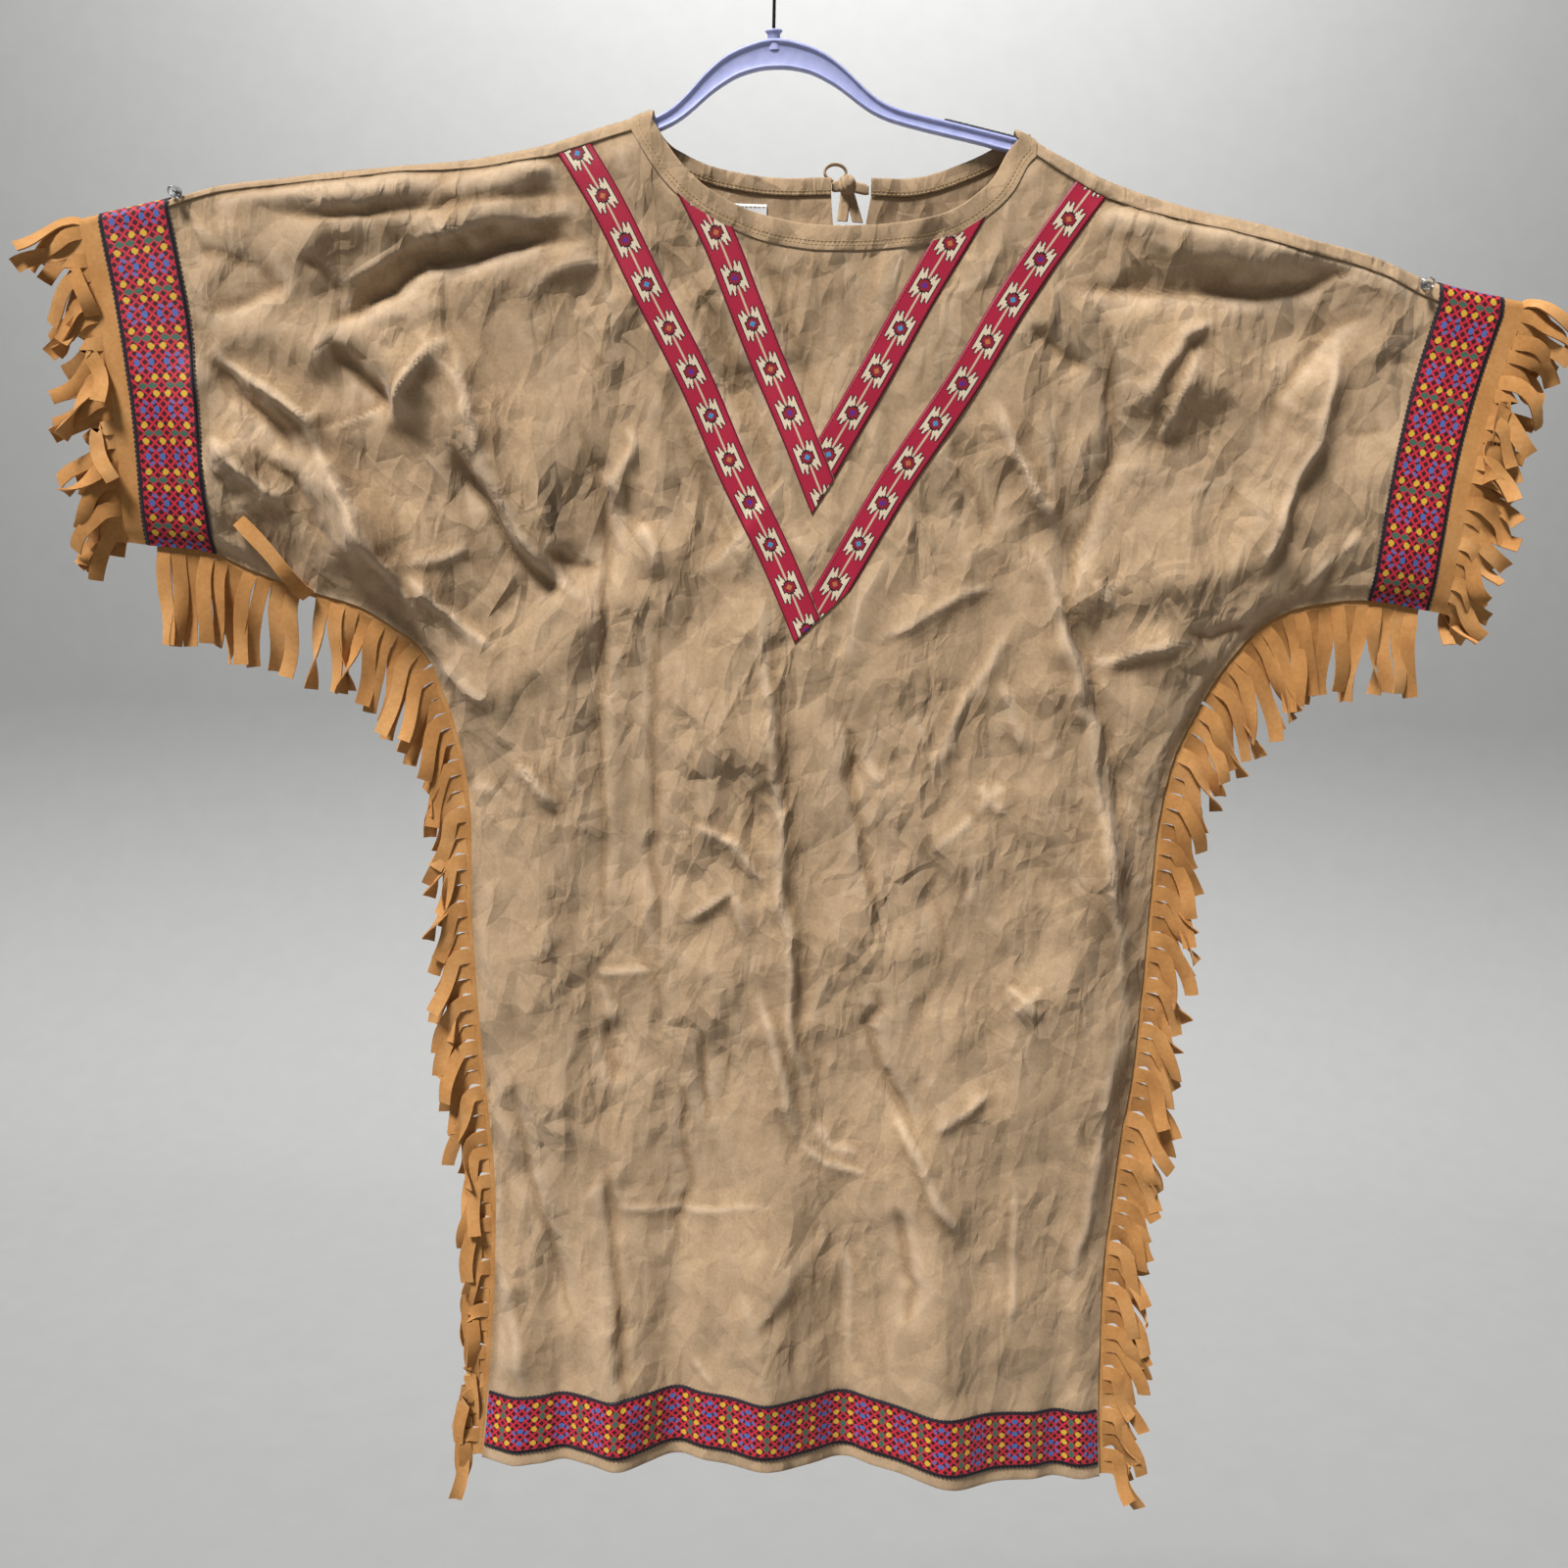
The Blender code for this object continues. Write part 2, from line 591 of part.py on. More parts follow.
def build_front():
    """The front panel, cut in one with the fronts of both sleeves."""
    return shell("front_panel", sheet_bmesh(front_patches(), (0, -1, 0)), CLOTH, "cloth")


def back_patches(side):
    """Lattices of one back panel, with the part that rolls over the shoulder."""
    upper = np.linspace(0, 1, UPPER_ROWS + 1)
    if side < 0:
        body = body_shares(0, 0.5)
        shoulder = body_shares(0, NECK_SHARE)
    else:
        body = body_shares(0.5, 1)
        shoulder = body_shares(1 - NECK_SHARE, 1)
    sleeve = sleeve_shares(side)
    return [
        lattice(body, body_rows(), True, side),
        lattice(sleeve, upper, True, side),
        roll_path(shoulder),
        roll_path(sleeve),
    ]


def build_back(name, side, pin):
    """One back panel, cut in one with its half of the sleeve, pierced by a push pin."""
    panel = shell(name, sheet_bmesh(back_patches(side), (0, 1, 0)), CLOTH, "cloth")
    bpy.ops.mesh.primitive_cylinder_add(vertices=8, radius=PIN_HOLE, depth=40 * MM)
    cutter = bpy.context.active_object
    cutter.name = f"{name}_pin_hole"
    for collection in list(cutter.users_collection):
        collection.objects.unlink(cutter)
    link(cutter, CUTTER_NAME)
    cutter.rotation_euler = (math.pi / 2, 0, 0)
    cutter.location = (pin[1] * MM, 0, pin[2] * MM)
    cutter.hide_render = True
    cutter.display_type = "WIRE"
    hole = panel.modifiers.new("pin hole", "BOOLEAN")
    hole.operation = "DIFFERENCE"
    hole.object = cutter
    return panel


def build_cuff_ribbon(name, sign):
    """Wide ribbon round a cuff: up the front, over the fold and down the back."""
    shares = np.array(CUFF_RIBBON)
    shares = -shares if sign < 0 else 1 + shares
    upper = np.linspace(0, 1, UPPER_ROWS + 1)
    front = lattice(shares, upper[::-1])
    over = roll_path(shares)[1:-1]
    back = lattice(shares, upper, True)
    path = np.concatenate([front, over, back])
    normals = outward_normals(path, (0, -1, 0))
    if np.dot(normals[3, 0], (0, -1, 0)) < 0:
        normals = -normals
    return shell(name, sheet_bmesh([path + normals * TRIM_LIFT], (0, 0, 1)), RIBBON, "wide_ribbon")


def build_hem_ribbon(name, back):
    """Wide ribbon along the hem, from one side seam to the other."""
    rows = body_rows()[-4:-1]
    grid_share, grid_row = np.meshgrid(body_shares(), rows)
    x, z = lay_out(grid_share, grid_row, back)
    points = panel_points(grid_share, grid_row, back) + facing(x, z, back) * TRIM_LIFT
    towards = (0, 1, 0) if back else (0, -1, 0)
    return shell(name, sheet_bmesh([points], towards), RIBBON, "wide_ribbon")


def ribbon_warp(x, z, line):
    """Distance from a ribbon's middle line, in half widths, measured square to it."""
    middle = smooth(z, line)
    slope = (smooth(z + MM, line) - smooth(z - MM, line)) / (2 * MM)
    half = NARROW / 2 * math.sqrt(1 + slope ** 2)
    return (x - middle) / half


def ribbon_unwarp(distance, z, line):
    """Place across for a distance from a ribbon's middle line."""
    middle = smooth(z, line)
    slope = (smooth(z + MM, line) - smooth(z - MM, line)) / (2 * MM)
    return middle + distance * NARROW / 2 * math.sqrt(1 + slope ** 2)


def cut_along(sheet, line, distance, keep_below):
    """Cuts a surface along a ribbon's edge and keeps one side of the cut."""
    for vert in sheet.verts:
        vert.co.x = ribbon_warp(vert.co.x, vert.co.z, line)
    everything = sheet.verts[:] + sheet.edges[:] + sheet.faces[:]
    bmesh.ops.bisect_plane(
        sheet, geom=everything, dist=1e-6, plane_co=(distance, 0, 0), plane_no=(1, 0, 0),
        clear_outer=keep_below, clear_inner=not keep_below,
    )
    for vert in sheet.verts:
        vert.co.x = ribbon_unwarp(vert.co.x, vert.co.z, line)


def cut_straight(sheet, place, way):
    """Cuts a surface through a place and keeps the part on the side that way leads to."""
    everything = sheet.verts[:] + sheet.edges[:] + sheet.faces[:]
    bmesh.ops.bisect_plane(
        sheet, geom=everything, dist=1e-6, plane_co=place, plane_no=way, clear_inner=True,
    )


def lift(sheet, distance, back):
    """Moves the points of a surface cut from a panel outwards, square to the panel."""
    for vert in sheet.verts:
        normal = facing(np.array([vert.co.x]), np.array([vert.co.z]), back)[0]
        vert.co += Vector(normal * distance)


def build_narrow_ribbon(name, line, end, beside=None):
    """A narrow ribbon cut to the panel's own surface, its lower end cut straight.

    Where it is beside another, it keeps clear of that one's right edge.
    """
    sheet = sheet_bmesh(front_patches(), (0, -1, 0))
    tip, corner = (Vector((x, 0, z)) * MM for x, z in end)
    cut_straight(sheet, (0, 0, (line[-1][0] - 5) * MM), (0, 0, -1))
    cut_straight(sheet, tip, (corner - tip).cross(Vector((0, 1, 0))))
    cut_along(sheet, line, 1, True)
    cut_along(sheet, line, -1, False)
    if beside:
        cut_along(sheet, beside, 1 + 2 * SEAM_GAP / NARROW, False)
    bmesh.ops.dissolve_degenerate(sheet, dist=0.05 * MM, edges=sheet.edges[:])
    lift(sheet, TRIM_LIFT, False)
    return shell(name, sheet, RIBBON, "narrow_ribbon")


def build_narrow_ribbons():
    """Two nested V shapes: in each, the right ribbon ends beside the left one."""
    build_narrow_ribbon("v_ribbon_outer_left", OUTER_LEFT, OUTER_END)
    build_narrow_ribbon("v_ribbon_outer_right", OUTER_RIGHT, OUTER_END, OUTER_LEFT)
    build_narrow_ribbon("v_ribbon_inner_left", INNER_LEFT, INNER_END)
    build_narrow_ribbon("v_ribbon_inner_right", INNER_RIGHT, INNER_END, INNER_LEFT)


def neck_stretch(shares, back, side=0):
    """Edge points of a neck opening's front or back, and the way into the opening."""
    x, z = lay_out(shares, np.zeros(len(shares)), back, side)
    along = np.stack([np.gradient(x), np.gradient(z)], 1)
    along /= np.linalg.norm(along, axis=1, keepdims=True)
    inward = np.stack([-along[:, 1], along[:, 0]], 1)
    inward[inward[:, 1] < 0] *= -1
    return np.stack([x, z], 1), inward


def binding_row(distances, widths):
    """Points of the neck binding at shares of its width, all round the opening."""
    left_shoulder, right_shoulder = NECK_SHARE, 1 - NECK_SHARE
    stations = []
    half = round(BODY_COLUMNS * (0.5 - NECK_SHARE))
    back_left = np.linspace(0.5, left_shoulder, half + 1)
    back_right = np.linspace(right_shoulder, 0.5, half + 1)
    front = np.linspace(left_shoulder, right_shoulder, 2 * half + 1)
    for kind, shares, side in (
        ("back", back_left, -1), ("over", NECK_LEFT, 1), ("front", front, 0),
        ("over", NECK_RIGHT, -1), ("back", back_right, 1),
    ):
        if kind == "over":
            stations.append(binding_over(shares, side, distances, widths))
            continue
        edge, inward = neck_stretch(shares, kind == "back", side)
        width = widths[kind]
        reach = BINDING_GAP + np.asarray(distances)[:, None, None] * width
        plan = edge[None] + inward[None] * reach
        depth = wall_depth(plan[..., 0], plan[..., 1], kind == "back")
        y = depth if kind == "back" else -depth
        stations.append(np.stack([plan[..., 0], y, plan[..., 1]], -1))
    return np.concatenate(stations, axis=1)


def binding_over(edge, inward, distances, widths):
    """The stretch of the neck binding that passes over a shoulder."""
    steps = []
    angles = [math.pi * s / ROLL_STEPS for s in range(ROLL_STEPS + 1)]
    if inward > 0:
        angles = angles[::-1]
    for angle in angles[1:-1]:
        column = []
        for distance in distances:
            x = edge + inward * (BINDING_GAP + distance * widths["over"])
            y, z = over_shoulder(x, angle)
            column.append((x, float(y), float(z)))
        steps.append(column)
    return np.transpose(np.array(steps, float), (1, 0, 2))


def build_binding():
    """Folded tape round the neck, open at the slit in the back."""
    path = binding_row((0.0, 0.5, 1.0), BINDING_WIDTHS)
    return shell("neck_binding", sheet_bmesh([path], (0, 0, -1)), BINDING, "cloth")


def tie_strip(name, path, across, width):
    """A closed strip of the tie along a path, its width laid along given directions."""
    path = np.array(path, float) * MM
    sides = np.array(across, float) * width / 2
    grid = np.stack([path - sides, path + sides], 1)
    return shell(name, sheet_bmesh([grid], (0, 1, 0)), TIE_THICK, "cloth")


def build_tie_strips():
    """The two ends that come from the binding, the loop and the two that hang."""
    up, back, aslant = (0, 0, 1), (0, 1, 0), (0.96, 0.28, 0)
    strips = []
    knot = np.array(KNOT, float)
    for name, end in (("tie_left", TIE_FROM_LEFT), ("tie_right", TIE_FROM_RIGHT)):
        path = [end + (knot - end) * t for t in (0, 0.5, 1)]
        strips.append(tie_strip(name, path, [up] * len(path), TIE_WIDTH))
    steps = range(TIE_LOOP_STEPS + 1)
    angles = [math.radians(TIE_LOOP_START + TIE_LOOP_SWEEP * s / TIE_LOOP_STEPS) for s in steps]
    path = []
    for angle in angles:
        turn = np.array([TIE_LOOP_RADII[0] * math.cos(angle), 0, TIE_LOOP_RADII[1] * math.sin(angle)])
        path.append(knot + TIE_LOOP_CENTRE + turn)
    strips.append(tie_strip("tie_loop", path, [back] * len(path), TIE_LOOP_WIDTH))
    for name, ends in (("tie_end_left", TIE_END_LEFT), ("tie_end_right", TIE_END_RIGHT)):
        path = [knot + np.array(step) for step in ends]
        strips.append(tie_strip(name, path, [aslant] * len(path), TIE_WIDTH))
    return strips


def build_neck_tie():
    """The binding's ends knotted behind the neck: knot, loop and two short ends."""
    ball = bmesh.new()
    bmesh.ops.create_icosphere(ball, subdivisions=2, radius=1)
    bmesh.ops.scale(ball, vec=Vector(KNOT_RADII) * MM, verts=ball.verts)
    mesh = bpy.data.meshes.new("neck_tie")
    ball.to_mesh(mesh)
    ball.free()
    mesh.shade_smooth()
    knot = link(bpy.data.objects.new("neck_tie", mesh))
    knot.location = Vector(KNOT) * MM
    dress(knot, "cloth")
    for piece in build_tie_strips():
        join = knot.modifiers.new("join", "BOOLEAN")
        join.operation = "UNION"
        join.object = piece
        bpy.data.collections[OBJECT_NAME].objects.unlink(piece)
        link(piece, CUTTER_NAME)
        piece.hide_render = True
        piece.display_type = "WIRE"
    return knot


def build_label():
    """Blank label inside the back of the neck, cut to the panel's own surface."""
    low_x, high_x, low_z, high_z = (size * MM for size in LABEL)
    sheet = sheet_bmesh([lattice(body_shares(0, 0.5), body_rows(), True, -1)], (0, 1, 0))
    cut_straight(sheet, (0, 0, low_z), (0, 0, 1))
    cut_straight(sheet, (0, 0, high_z), (0, 0, -1))
    cut_straight(sheet, (low_x, 0, 0), (1, 0, 0))
    cut_straight(sheet, (high_x, 0, 0), (-1, 0, 0))
    lift(sheet, -TRIM_LIFT, True)
    return shell("neck_label", sheet, RIBBON, "label")


def comb(name, lines, outward, normals, strands):
    """A fringe: a strip from its inner edge to the roots, and a strand at each step.

    lines are lines of points, the roots last, each one point longer than the strands.
    outward and normals give each strand's way out and the side its layers lie on. strands
    has, for each one, the direction it ends in, its layer, its lengths and how far it
    has turned that way at its root.
    """
    sheet = bmesh.new()
    tape = [[sheet.verts.new(Vector(point)) for point in line] for line in lines]
    roots = lines[-1]
    root_verts = tape[-1]
    for i, (end, layer, lengths, turned) in enumerate(strands):
        for upper, lower in zip(tape[:-1], tape[1:]):
            sheet.faces.new((upper[i], lower[i], lower[i + 1], upper[i + 1]))
        along = roots[i + 1] - roots[i]
        along = along / np.linalg.norm(along)
        point = (roots[i] + roots[i + 1]) / 2
        before = (root_verts[i], root_verts[i + 1])
        reached = 0.0
        total = sum(lengths)
        for length in lengths:
            reached += length / total
            turn = max(turned, reached * reached * (3 - 2 * reached))
            way = outward[i] * (1 - turn) + end * turn
            way = way - normals[i] * np.dot(way, normals[i])
            way /= np.linalg.norm(way)
            point = point + way * length
            across = np.cross(normals[i], way)
            if np.dot(across, along) < 0:
                across = -across
            shift = normals[i] * layer * min(1.0, 0.55 + 0.45 * reached)
            now = []
            for sign in (-1, 1):
                now.append(sheet.verts.new(Vector(point + shift + across * sign * STRAND_WIDTH / 2)))
            sheet.faces.new((before[0], now[0], now[1], before[1]))
            before = now
    bmesh.ops.recalc_face_normals(sheet, faces=sheet.faces)
    return shell(name, sheet, SUEDE, "suede")


def even_steps(points, count):
    """Points at equal distances along a line of points."""
    runs = np.linalg.norm(np.diff(points, axis=0), axis=1)
    reached = np.concatenate([[0], np.cumsum(runs)])
    places = np.linspace(0, reached[-1], count + 1)
    return np.stack([np.interp(places, reached, points[:, k]) for k in range(3)], 1)


def build_cuff_fringe(name, sign):
    """Fringe round a cuff: a heading under the ribbon, cut into strands past it."""
    root_share = 1.0 + 0.2 * CUFF_HEADING / (51 * MM)
    rows = np.linspace(0, 1, UPPER_ROWS + 1)
    lines = []
    for share in (CUFF_END + CUFF_GAP, 1.0, root_share):
        place = -share if sign < 0 else 1 + share
        shares = np.full(len(rows), place)
        front = panel_points(shares, rows[::-1])
        over = roll_path(np.array([place]))[1:-1, 0]
        back = panel_points(shares, rows, True)
        lines.append(even_steps(np.concatenate([front, over, back]), CUFF_STRANDS))
    inner, roots = lines[0], lines[-1]
    middles = (roots[1:] + roots[:-1]) / 2
    outward = middles - (inner[1:] + inner[:-1]) / 2
    outward /= np.linalg.norm(outward, axis=1, keepdims=True)
    along = np.diff(roots, axis=0)
    normals = np.cross(along, outward) * -sign
    normals /= np.linalg.norm(normals, axis=1, keepdims=True)
    chance = np.random.default_rng(11 if sign < 0 else 12)
    strands = []
    for i in range(CUFF_STRANDS):
        height = abs(i - CUFF_STRANDS / 2) / (CUFF_STRANDS / 2)
        droop = CUFF_DROOP[0] + CUFF_DROOP[1] * chance.random() + CUFF_DROOP[2] * height ** 3
        end = np.array([sign * 1.0, 0.0, -droop])
        layer = CUFF_LAYERS[i % len(CUFF_LAYERS)]
        stretch = CUFF_STRETCH[0] if sign < 0 else CUFF_STRETCH[1]
        lengths = [step * stretch * (0.85 + 0.3 * chance.random()) for step in CUFF_STEPS]
        strands.append((end / np.linalg.norm(end), layer, lengths, 0.0))
    return comb(name, lines, outward, normals, strands)


def seam_line(sign, part):
    """Points along the underarm seam from the cuff, or along the side seam to the hem."""
    if part == "underarm":
        shares = np.linspace(CUFF_END, 0, 200)
        shares = -shares if sign < 0 else 1 + shares
        x, z = lay_out(shares, np.ones(len(shares)))
    else:
        rows = np.linspace(1, 3, 300)
        shares = np.full(len(rows), 0.0 if sign < 0 else 1.0)
        x, z = lay_out(shares, rows)
    return np.stack([x, np.zeros(len(x)), z], 1)


def build_seam_fringe(name, sign, part):
    """Fringe let into the underarm or side seam, its strands hanging down."""
    count = UNDERARM_STRANDS if part == "underarm" else SIDE_STRANDS
    line = seam_line(sign, part)
    edge = even_steps(line, count)
    along = np.gradient(edge, axis=0)
    along /= np.linalg.norm(along, axis=1, keepdims=True)
    across = np.cross(along, (0, 1, 0)) * sign
    edge[0] += along[0] * TAPE_END_GAP
    edge[-1] -= along[-1] * TAPE_END_GAP
    inner = edge - across * TAPE_INSIDE
    roots = edge + across * TAPE_OUTSIDE
    outward = (across[1:] + across[:-1]) / 2
    outward /= np.linalg.norm(outward, axis=1, keepdims=True)
    chance = np.random.default_rng(21 if sign < 0 else 22)
    steps = UNDERARM_STEPS if part == "underarm" else SIDE_STEPS
    column = 1 if sign < 0 else 2
    heights = [row[0] * MM for row in SIDE_LEAN]
    strands = []
    for i in range(count):
        vertical = abs(outward[i][0])
        lean = np.interp(roots[i][2], heights, [row[column] for row in SIDE_LEAN])
        turned = np.interp(roots[i][2], heights, [row[column] for row in SIDE_TURN])
        swing = lean * vertical + 0.05 * (chance.random() - 0.5)
        end = np.array([sign * swing, 0.0, -1.0])
        layer = SEAM_LAYERS[i % len(SEAM_LAYERS)]
        lengths = [steps[0], steps[1] * (0.9 + 0.2 * chance.random())]
        strands.append((end / np.linalg.norm(end), layer, lengths, turned))
    normals = np.tile(np.array([0.0, 1.0, 0.0]), (count, 1))
    return comb(name, [inner, roots], outward, normals, strands)


def hanger_outline():
    """Outline of the hanger's bar and boss, as seen from the front."""
    top = [(x * MM, high * MM) for x, high, _ in HANGER_PROFILE]
    low = [(x * MM, bottom * MM) for x, _, bottom in HANGER_PROFILE]
    end = [(HANGER_END, HANGER_END_HEIGHT + 2 * MM), (HANGER_END, HANGER_END_HEIGHT - 2 * MM)]
    boss = [(BOSS_LIP, 0.0), (BOSS_LIP, -1.4 * MM), (BOSS_HALF, -3.2 * MM)]
    right = boss + top + end + low[::-1]
    left = [(-x, z) for x, z in reversed(right)]
    return right + left


def build_hanger():
    """Flat plastic hanger with a boss for its wire hook."""
    curve = bpy.data.curves.new("hanger", "CURVE")
    curve.dimensions = "2D"
    curve.fill_mode = "BOTH"
    curve.extrude = HANGER_THICK / 2 - EDGE_ROUND
    curve.bevel_depth = EDGE_ROUND
    curve.bevel_resolution = 0
    curve.offset = -EDGE_ROUND
    points = hanger_outline()
    spline = curve.splines.new("POLY")
    spline.points.add(len(points) - 1)
    for place, (x, z) in zip(spline.points, points):
        place.co = (x, z, 0, 1)
    spline.use_cyclic_u = True
    hanger = link(bpy.data.objects.new("hanger", curve))
    tilt = Matrix.Rotation(math.radians(-HANGER_TILT), 4, "Y")
    upright = Matrix.Rotation(math.pi / 2, 4, "X")
    hanger.matrix_world = Matrix.Translation((0, 0, HANGER_TOP)) @ tilt @ upright
    return dress(hanger, "hanger_plastic")


def build_grip(name, sign):
    """Soft strip along the top of one hanger arm, near its end."""
    start, stop = (place * MM for place in GRIP_SPAN)
    corners = []
    for place in (start, stop):
        height = np.interp(place, [p[0] * MM for p in HANGER_PROFILE], [p[1] * MM for p in HANGER_PROFILE])
        corners.append(Vector((sign * place, 0, height)))
    along = corners[1] - corners[0]
    square = Vector((-along.z, 0, along.x)).normalized()
    if square.z < 0:
        square = -square
    bpy.ops.mesh.primitive_cube_add(size=1)
    grip = bpy.context.active_object
    grip.name = name
    for collection in list(grip.users_collection):
        collection.objects.unlink(grip)
    link(grip)
    grip.data.transform(Matrix.Diagonal((along.length, GRIP_WIDTH, GRIP_HEIGHT, 1)))
    middle = (corners[0] + corners[1]) / 2 + square * (GRIP_HEIGHT / 2 + SEAM_GAP)
    turn = Matrix.Rotation(-math.atan2(along.z, along.x), 4, "Y")
    tilt = Matrix.Rotation(math.radians(-HANGER_TILT), 4, "Y")
    grip.matrix_world = Matrix.Translation((0, 0, HANGER_TOP)) @ tilt @ Matrix.Translation(middle) @ turn
    return dress(grip, "grip")


def build_hook():
    """Wire hook: a stem out of the boss and a curve that a rail carries at the origin."""
    centre = WIRE_RADIUS - HOOK_RADIUS
    points = [(0.0, HANGER_TOP + SEAM_GAP), (0.0, STEM_TOP)]
    lower = math.radians(HOOK_START)
    join = (HOOK_RADIUS * math.cos(lower), centre + HOOK_RADIUS * math.sin(lower))
    for t in (0.25, 0.5, 0.75):
        bend = t * t * (3 - 2 * t)
        points.append((join[0] * bend, STEM_TOP + (join[1] - STEM_TOP) * t))
    for step in range(HOOK_STEPS + 1):
        angle = lower + math.radians(HOOK_SWEEP) * step / HOOK_STEPS
        points.append((HOOK_RADIUS * math.cos(angle), centre + HOOK_RADIUS * math.sin(angle)))
    curve = bpy.data.curves.new("hanger_hook", "CURVE")
    curve.dimensions = "3D"
    curve.bevel_depth = WIRE_RADIUS
    curve.bevel_resolution = 2
    curve.use_fill_caps = True
    spline = curve.splines.new("POLY")
    spline.points.add(len(points) - 1)
    for place, (x, z) in zip(spline.points, points):
        place.co = (x, 0, z, 1)
    hook = link(bpy.data.objects.new("hanger_hook", curve))
    return dress(hook, "steel")


def build_pin(name, across, height):
    """Push pin through the end of a shoulder fold."""
    mesh = bpy.data.meshes.new(name)
    turned = bmesh.new()
    previous = None
    for radius, forward in PIN_PROFILE:
        vert = turned.verts.new((radius * MM, 0, forward * MM))
        if previous:
            turned.edges.new((previous, vert))
        previous = vert
    turned.to_mesh(mesh)
    turned.free()
    pin = link(bpy.data.objects.new(name, mesh))
    screw = pin.modifiers.new("turn", "SCREW")
    screw.axis = "Z"
    screw.steps = PIN_SIDES
    screw.render_steps = PIN_SIDES
    screw.use_merge_vertices = True
    screw.merge_threshold = 0.00001
    screw.use_normal_calculate = True
    place = across * MM
    spots = np.array([height - 4, height, height + 4]) * MM
    front = float(np.max(wall_depth(place, spots, False))) + CLOTH / 2 + SEAM_GAP
    pin.location = (place, -front - PIN_CLEAR, height * MM)
    pin.rotation_euler = (math.pi / 2, 0, 0)
    return dress(pin, "clear_plastic")


def build():
    """Clears the scene and builds the garment and what it hangs on."""
    for obj in list(bpy.data.objects):
        bpy.data.objects.remove(obj, do_unlink=True)
    for name in (OBJECT_NAME, CUTTER_NAME):
        collection = bpy.data.collections.new(name)
        bpy.context.scene.collection.children.link(collection)
    build_front()
    build_back("back_panel_left", -1, PINS[0])
    build_back("back_panel_right", 1, PINS[1])
    build_binding()
    build_neck_tie()
    build_label()
    build_narrow_ribbons()
    for name, sign in (("left", -1), ("right", 1)):
        build_cuff_ribbon(f"cuff_ribbon_{name}", sign)
        build_cuff_fringe(f"cuff_fringe_{name}", sign)
        build_seam_fringe(f"underarm_fringe_{name}", sign, "underarm")
        build_seam_fringe(f"side_fringe_{name}", sign, "side")
        build_grip(f"hanger_grip_{name}", sign)
    build_hem_ribbon("hem_ribbon_front", False)
    build_hem_ribbon("hem_ribbon_back", True)
    build_hanger()
    build_hook()
    for name, across, height in PINS:
        build_pin(name, across, height)


build()
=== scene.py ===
"""Looks of a fringed cotton tunic hanging on a clothes hanger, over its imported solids.

Metres, +Z up. The front faces -Y and +X is on the viewer's right. Tables of sizes are
in millimetres. The outline, folds and trims follow the same sizes as the solids.
"""

import logging
import math
from dataclasses import dataclass, field
from enum import Enum

import bmesh
import bpy
import numpy as np
from mathutils import Matrix, Vector
from mathutils.geometry import delaunay_2d_cdt


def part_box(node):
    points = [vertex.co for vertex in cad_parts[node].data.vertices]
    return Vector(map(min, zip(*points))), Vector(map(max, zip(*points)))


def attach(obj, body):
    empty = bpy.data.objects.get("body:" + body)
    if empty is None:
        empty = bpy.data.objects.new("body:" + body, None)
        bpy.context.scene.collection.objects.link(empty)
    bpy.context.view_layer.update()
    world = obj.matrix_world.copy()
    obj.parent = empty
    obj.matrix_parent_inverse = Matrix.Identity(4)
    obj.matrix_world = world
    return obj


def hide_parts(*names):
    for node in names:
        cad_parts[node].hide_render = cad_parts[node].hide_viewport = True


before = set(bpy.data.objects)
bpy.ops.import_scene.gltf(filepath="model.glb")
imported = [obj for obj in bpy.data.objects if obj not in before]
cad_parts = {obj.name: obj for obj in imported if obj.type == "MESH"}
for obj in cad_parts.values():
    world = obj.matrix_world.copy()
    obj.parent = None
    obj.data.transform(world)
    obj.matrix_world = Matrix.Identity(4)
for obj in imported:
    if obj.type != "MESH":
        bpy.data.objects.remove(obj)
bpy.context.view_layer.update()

log = logging.getLogger("tunic")

MM = 0.001
Grid = np.ndarray
Table = tuple[tuple[float, ...], ...]
Tree = bpy.types.NodeTree
Socket = bpy.types.NodeSocket
Material = bpy.types.Material

def smooth(places: Grid, table: Table, value: int = 1, key: int = 0) -> Grid:
    """Reads a column of a table on a smooth curve through its rows.

    Args:
        places: where to read, in metres.
        table: rows in millimetres, in rising order of the key column.
        value: the column that is read.
        key: the column that holds the places.

    Returns:
        The values in metres.
    """
    keys = np.array([row[key] for row in table], float) * MM
    values = np.array([row[value] for row in table], float) * MM
    slopes = np.gradient(values, keys)
    places = np.asarray(places, float)
    low = np.clip(np.searchsorted(keys, places) - 1, 0, len(keys) - 2)
    span = keys[low + 1] - keys[low]
    t = (places - keys[low]) / span
    rise = ease(t)
    lean_in = t * (1 - t) ** 2 * span * slopes[low]
    lean_out = t * t * (1 - t) * span * slopes[low + 1]
    return values[low] * (1 - rise) + values[low + 1] * rise + lean_in - lean_out


def by_share(share: Grid, table: Table, value: int = 1) -> Grid:
    """Reads a column of a table whose first column is a plain share."""
    return np.interp(share, [row[0] for row in table], [row[value] * MM for row in table])


def by_place(place: Grid, table: Table) -> Grid:
    """Reads a table of straight stretches, in metres."""
    return np.interp(place, [row[0] * MM for row in table], [row[1] * MM for row in table])


def unit(vectors: Grid) -> Grid:
    """Vectors of length one."""
    return vectors / np.maximum(np.linalg.norm(vectors, axis=-1, keepdims=True), 1e-12)


def ease(share: Grid) -> Grid:
    """Smooth step from 0 to 1."""
    return share * share * (3 - 2 * share)


def rising(gap: Grid, width: float) -> Grid:
    """Rises from 0 at a line to 1 well past a width from it."""
    return 1 - np.exp(-((gap / width) ** 2))


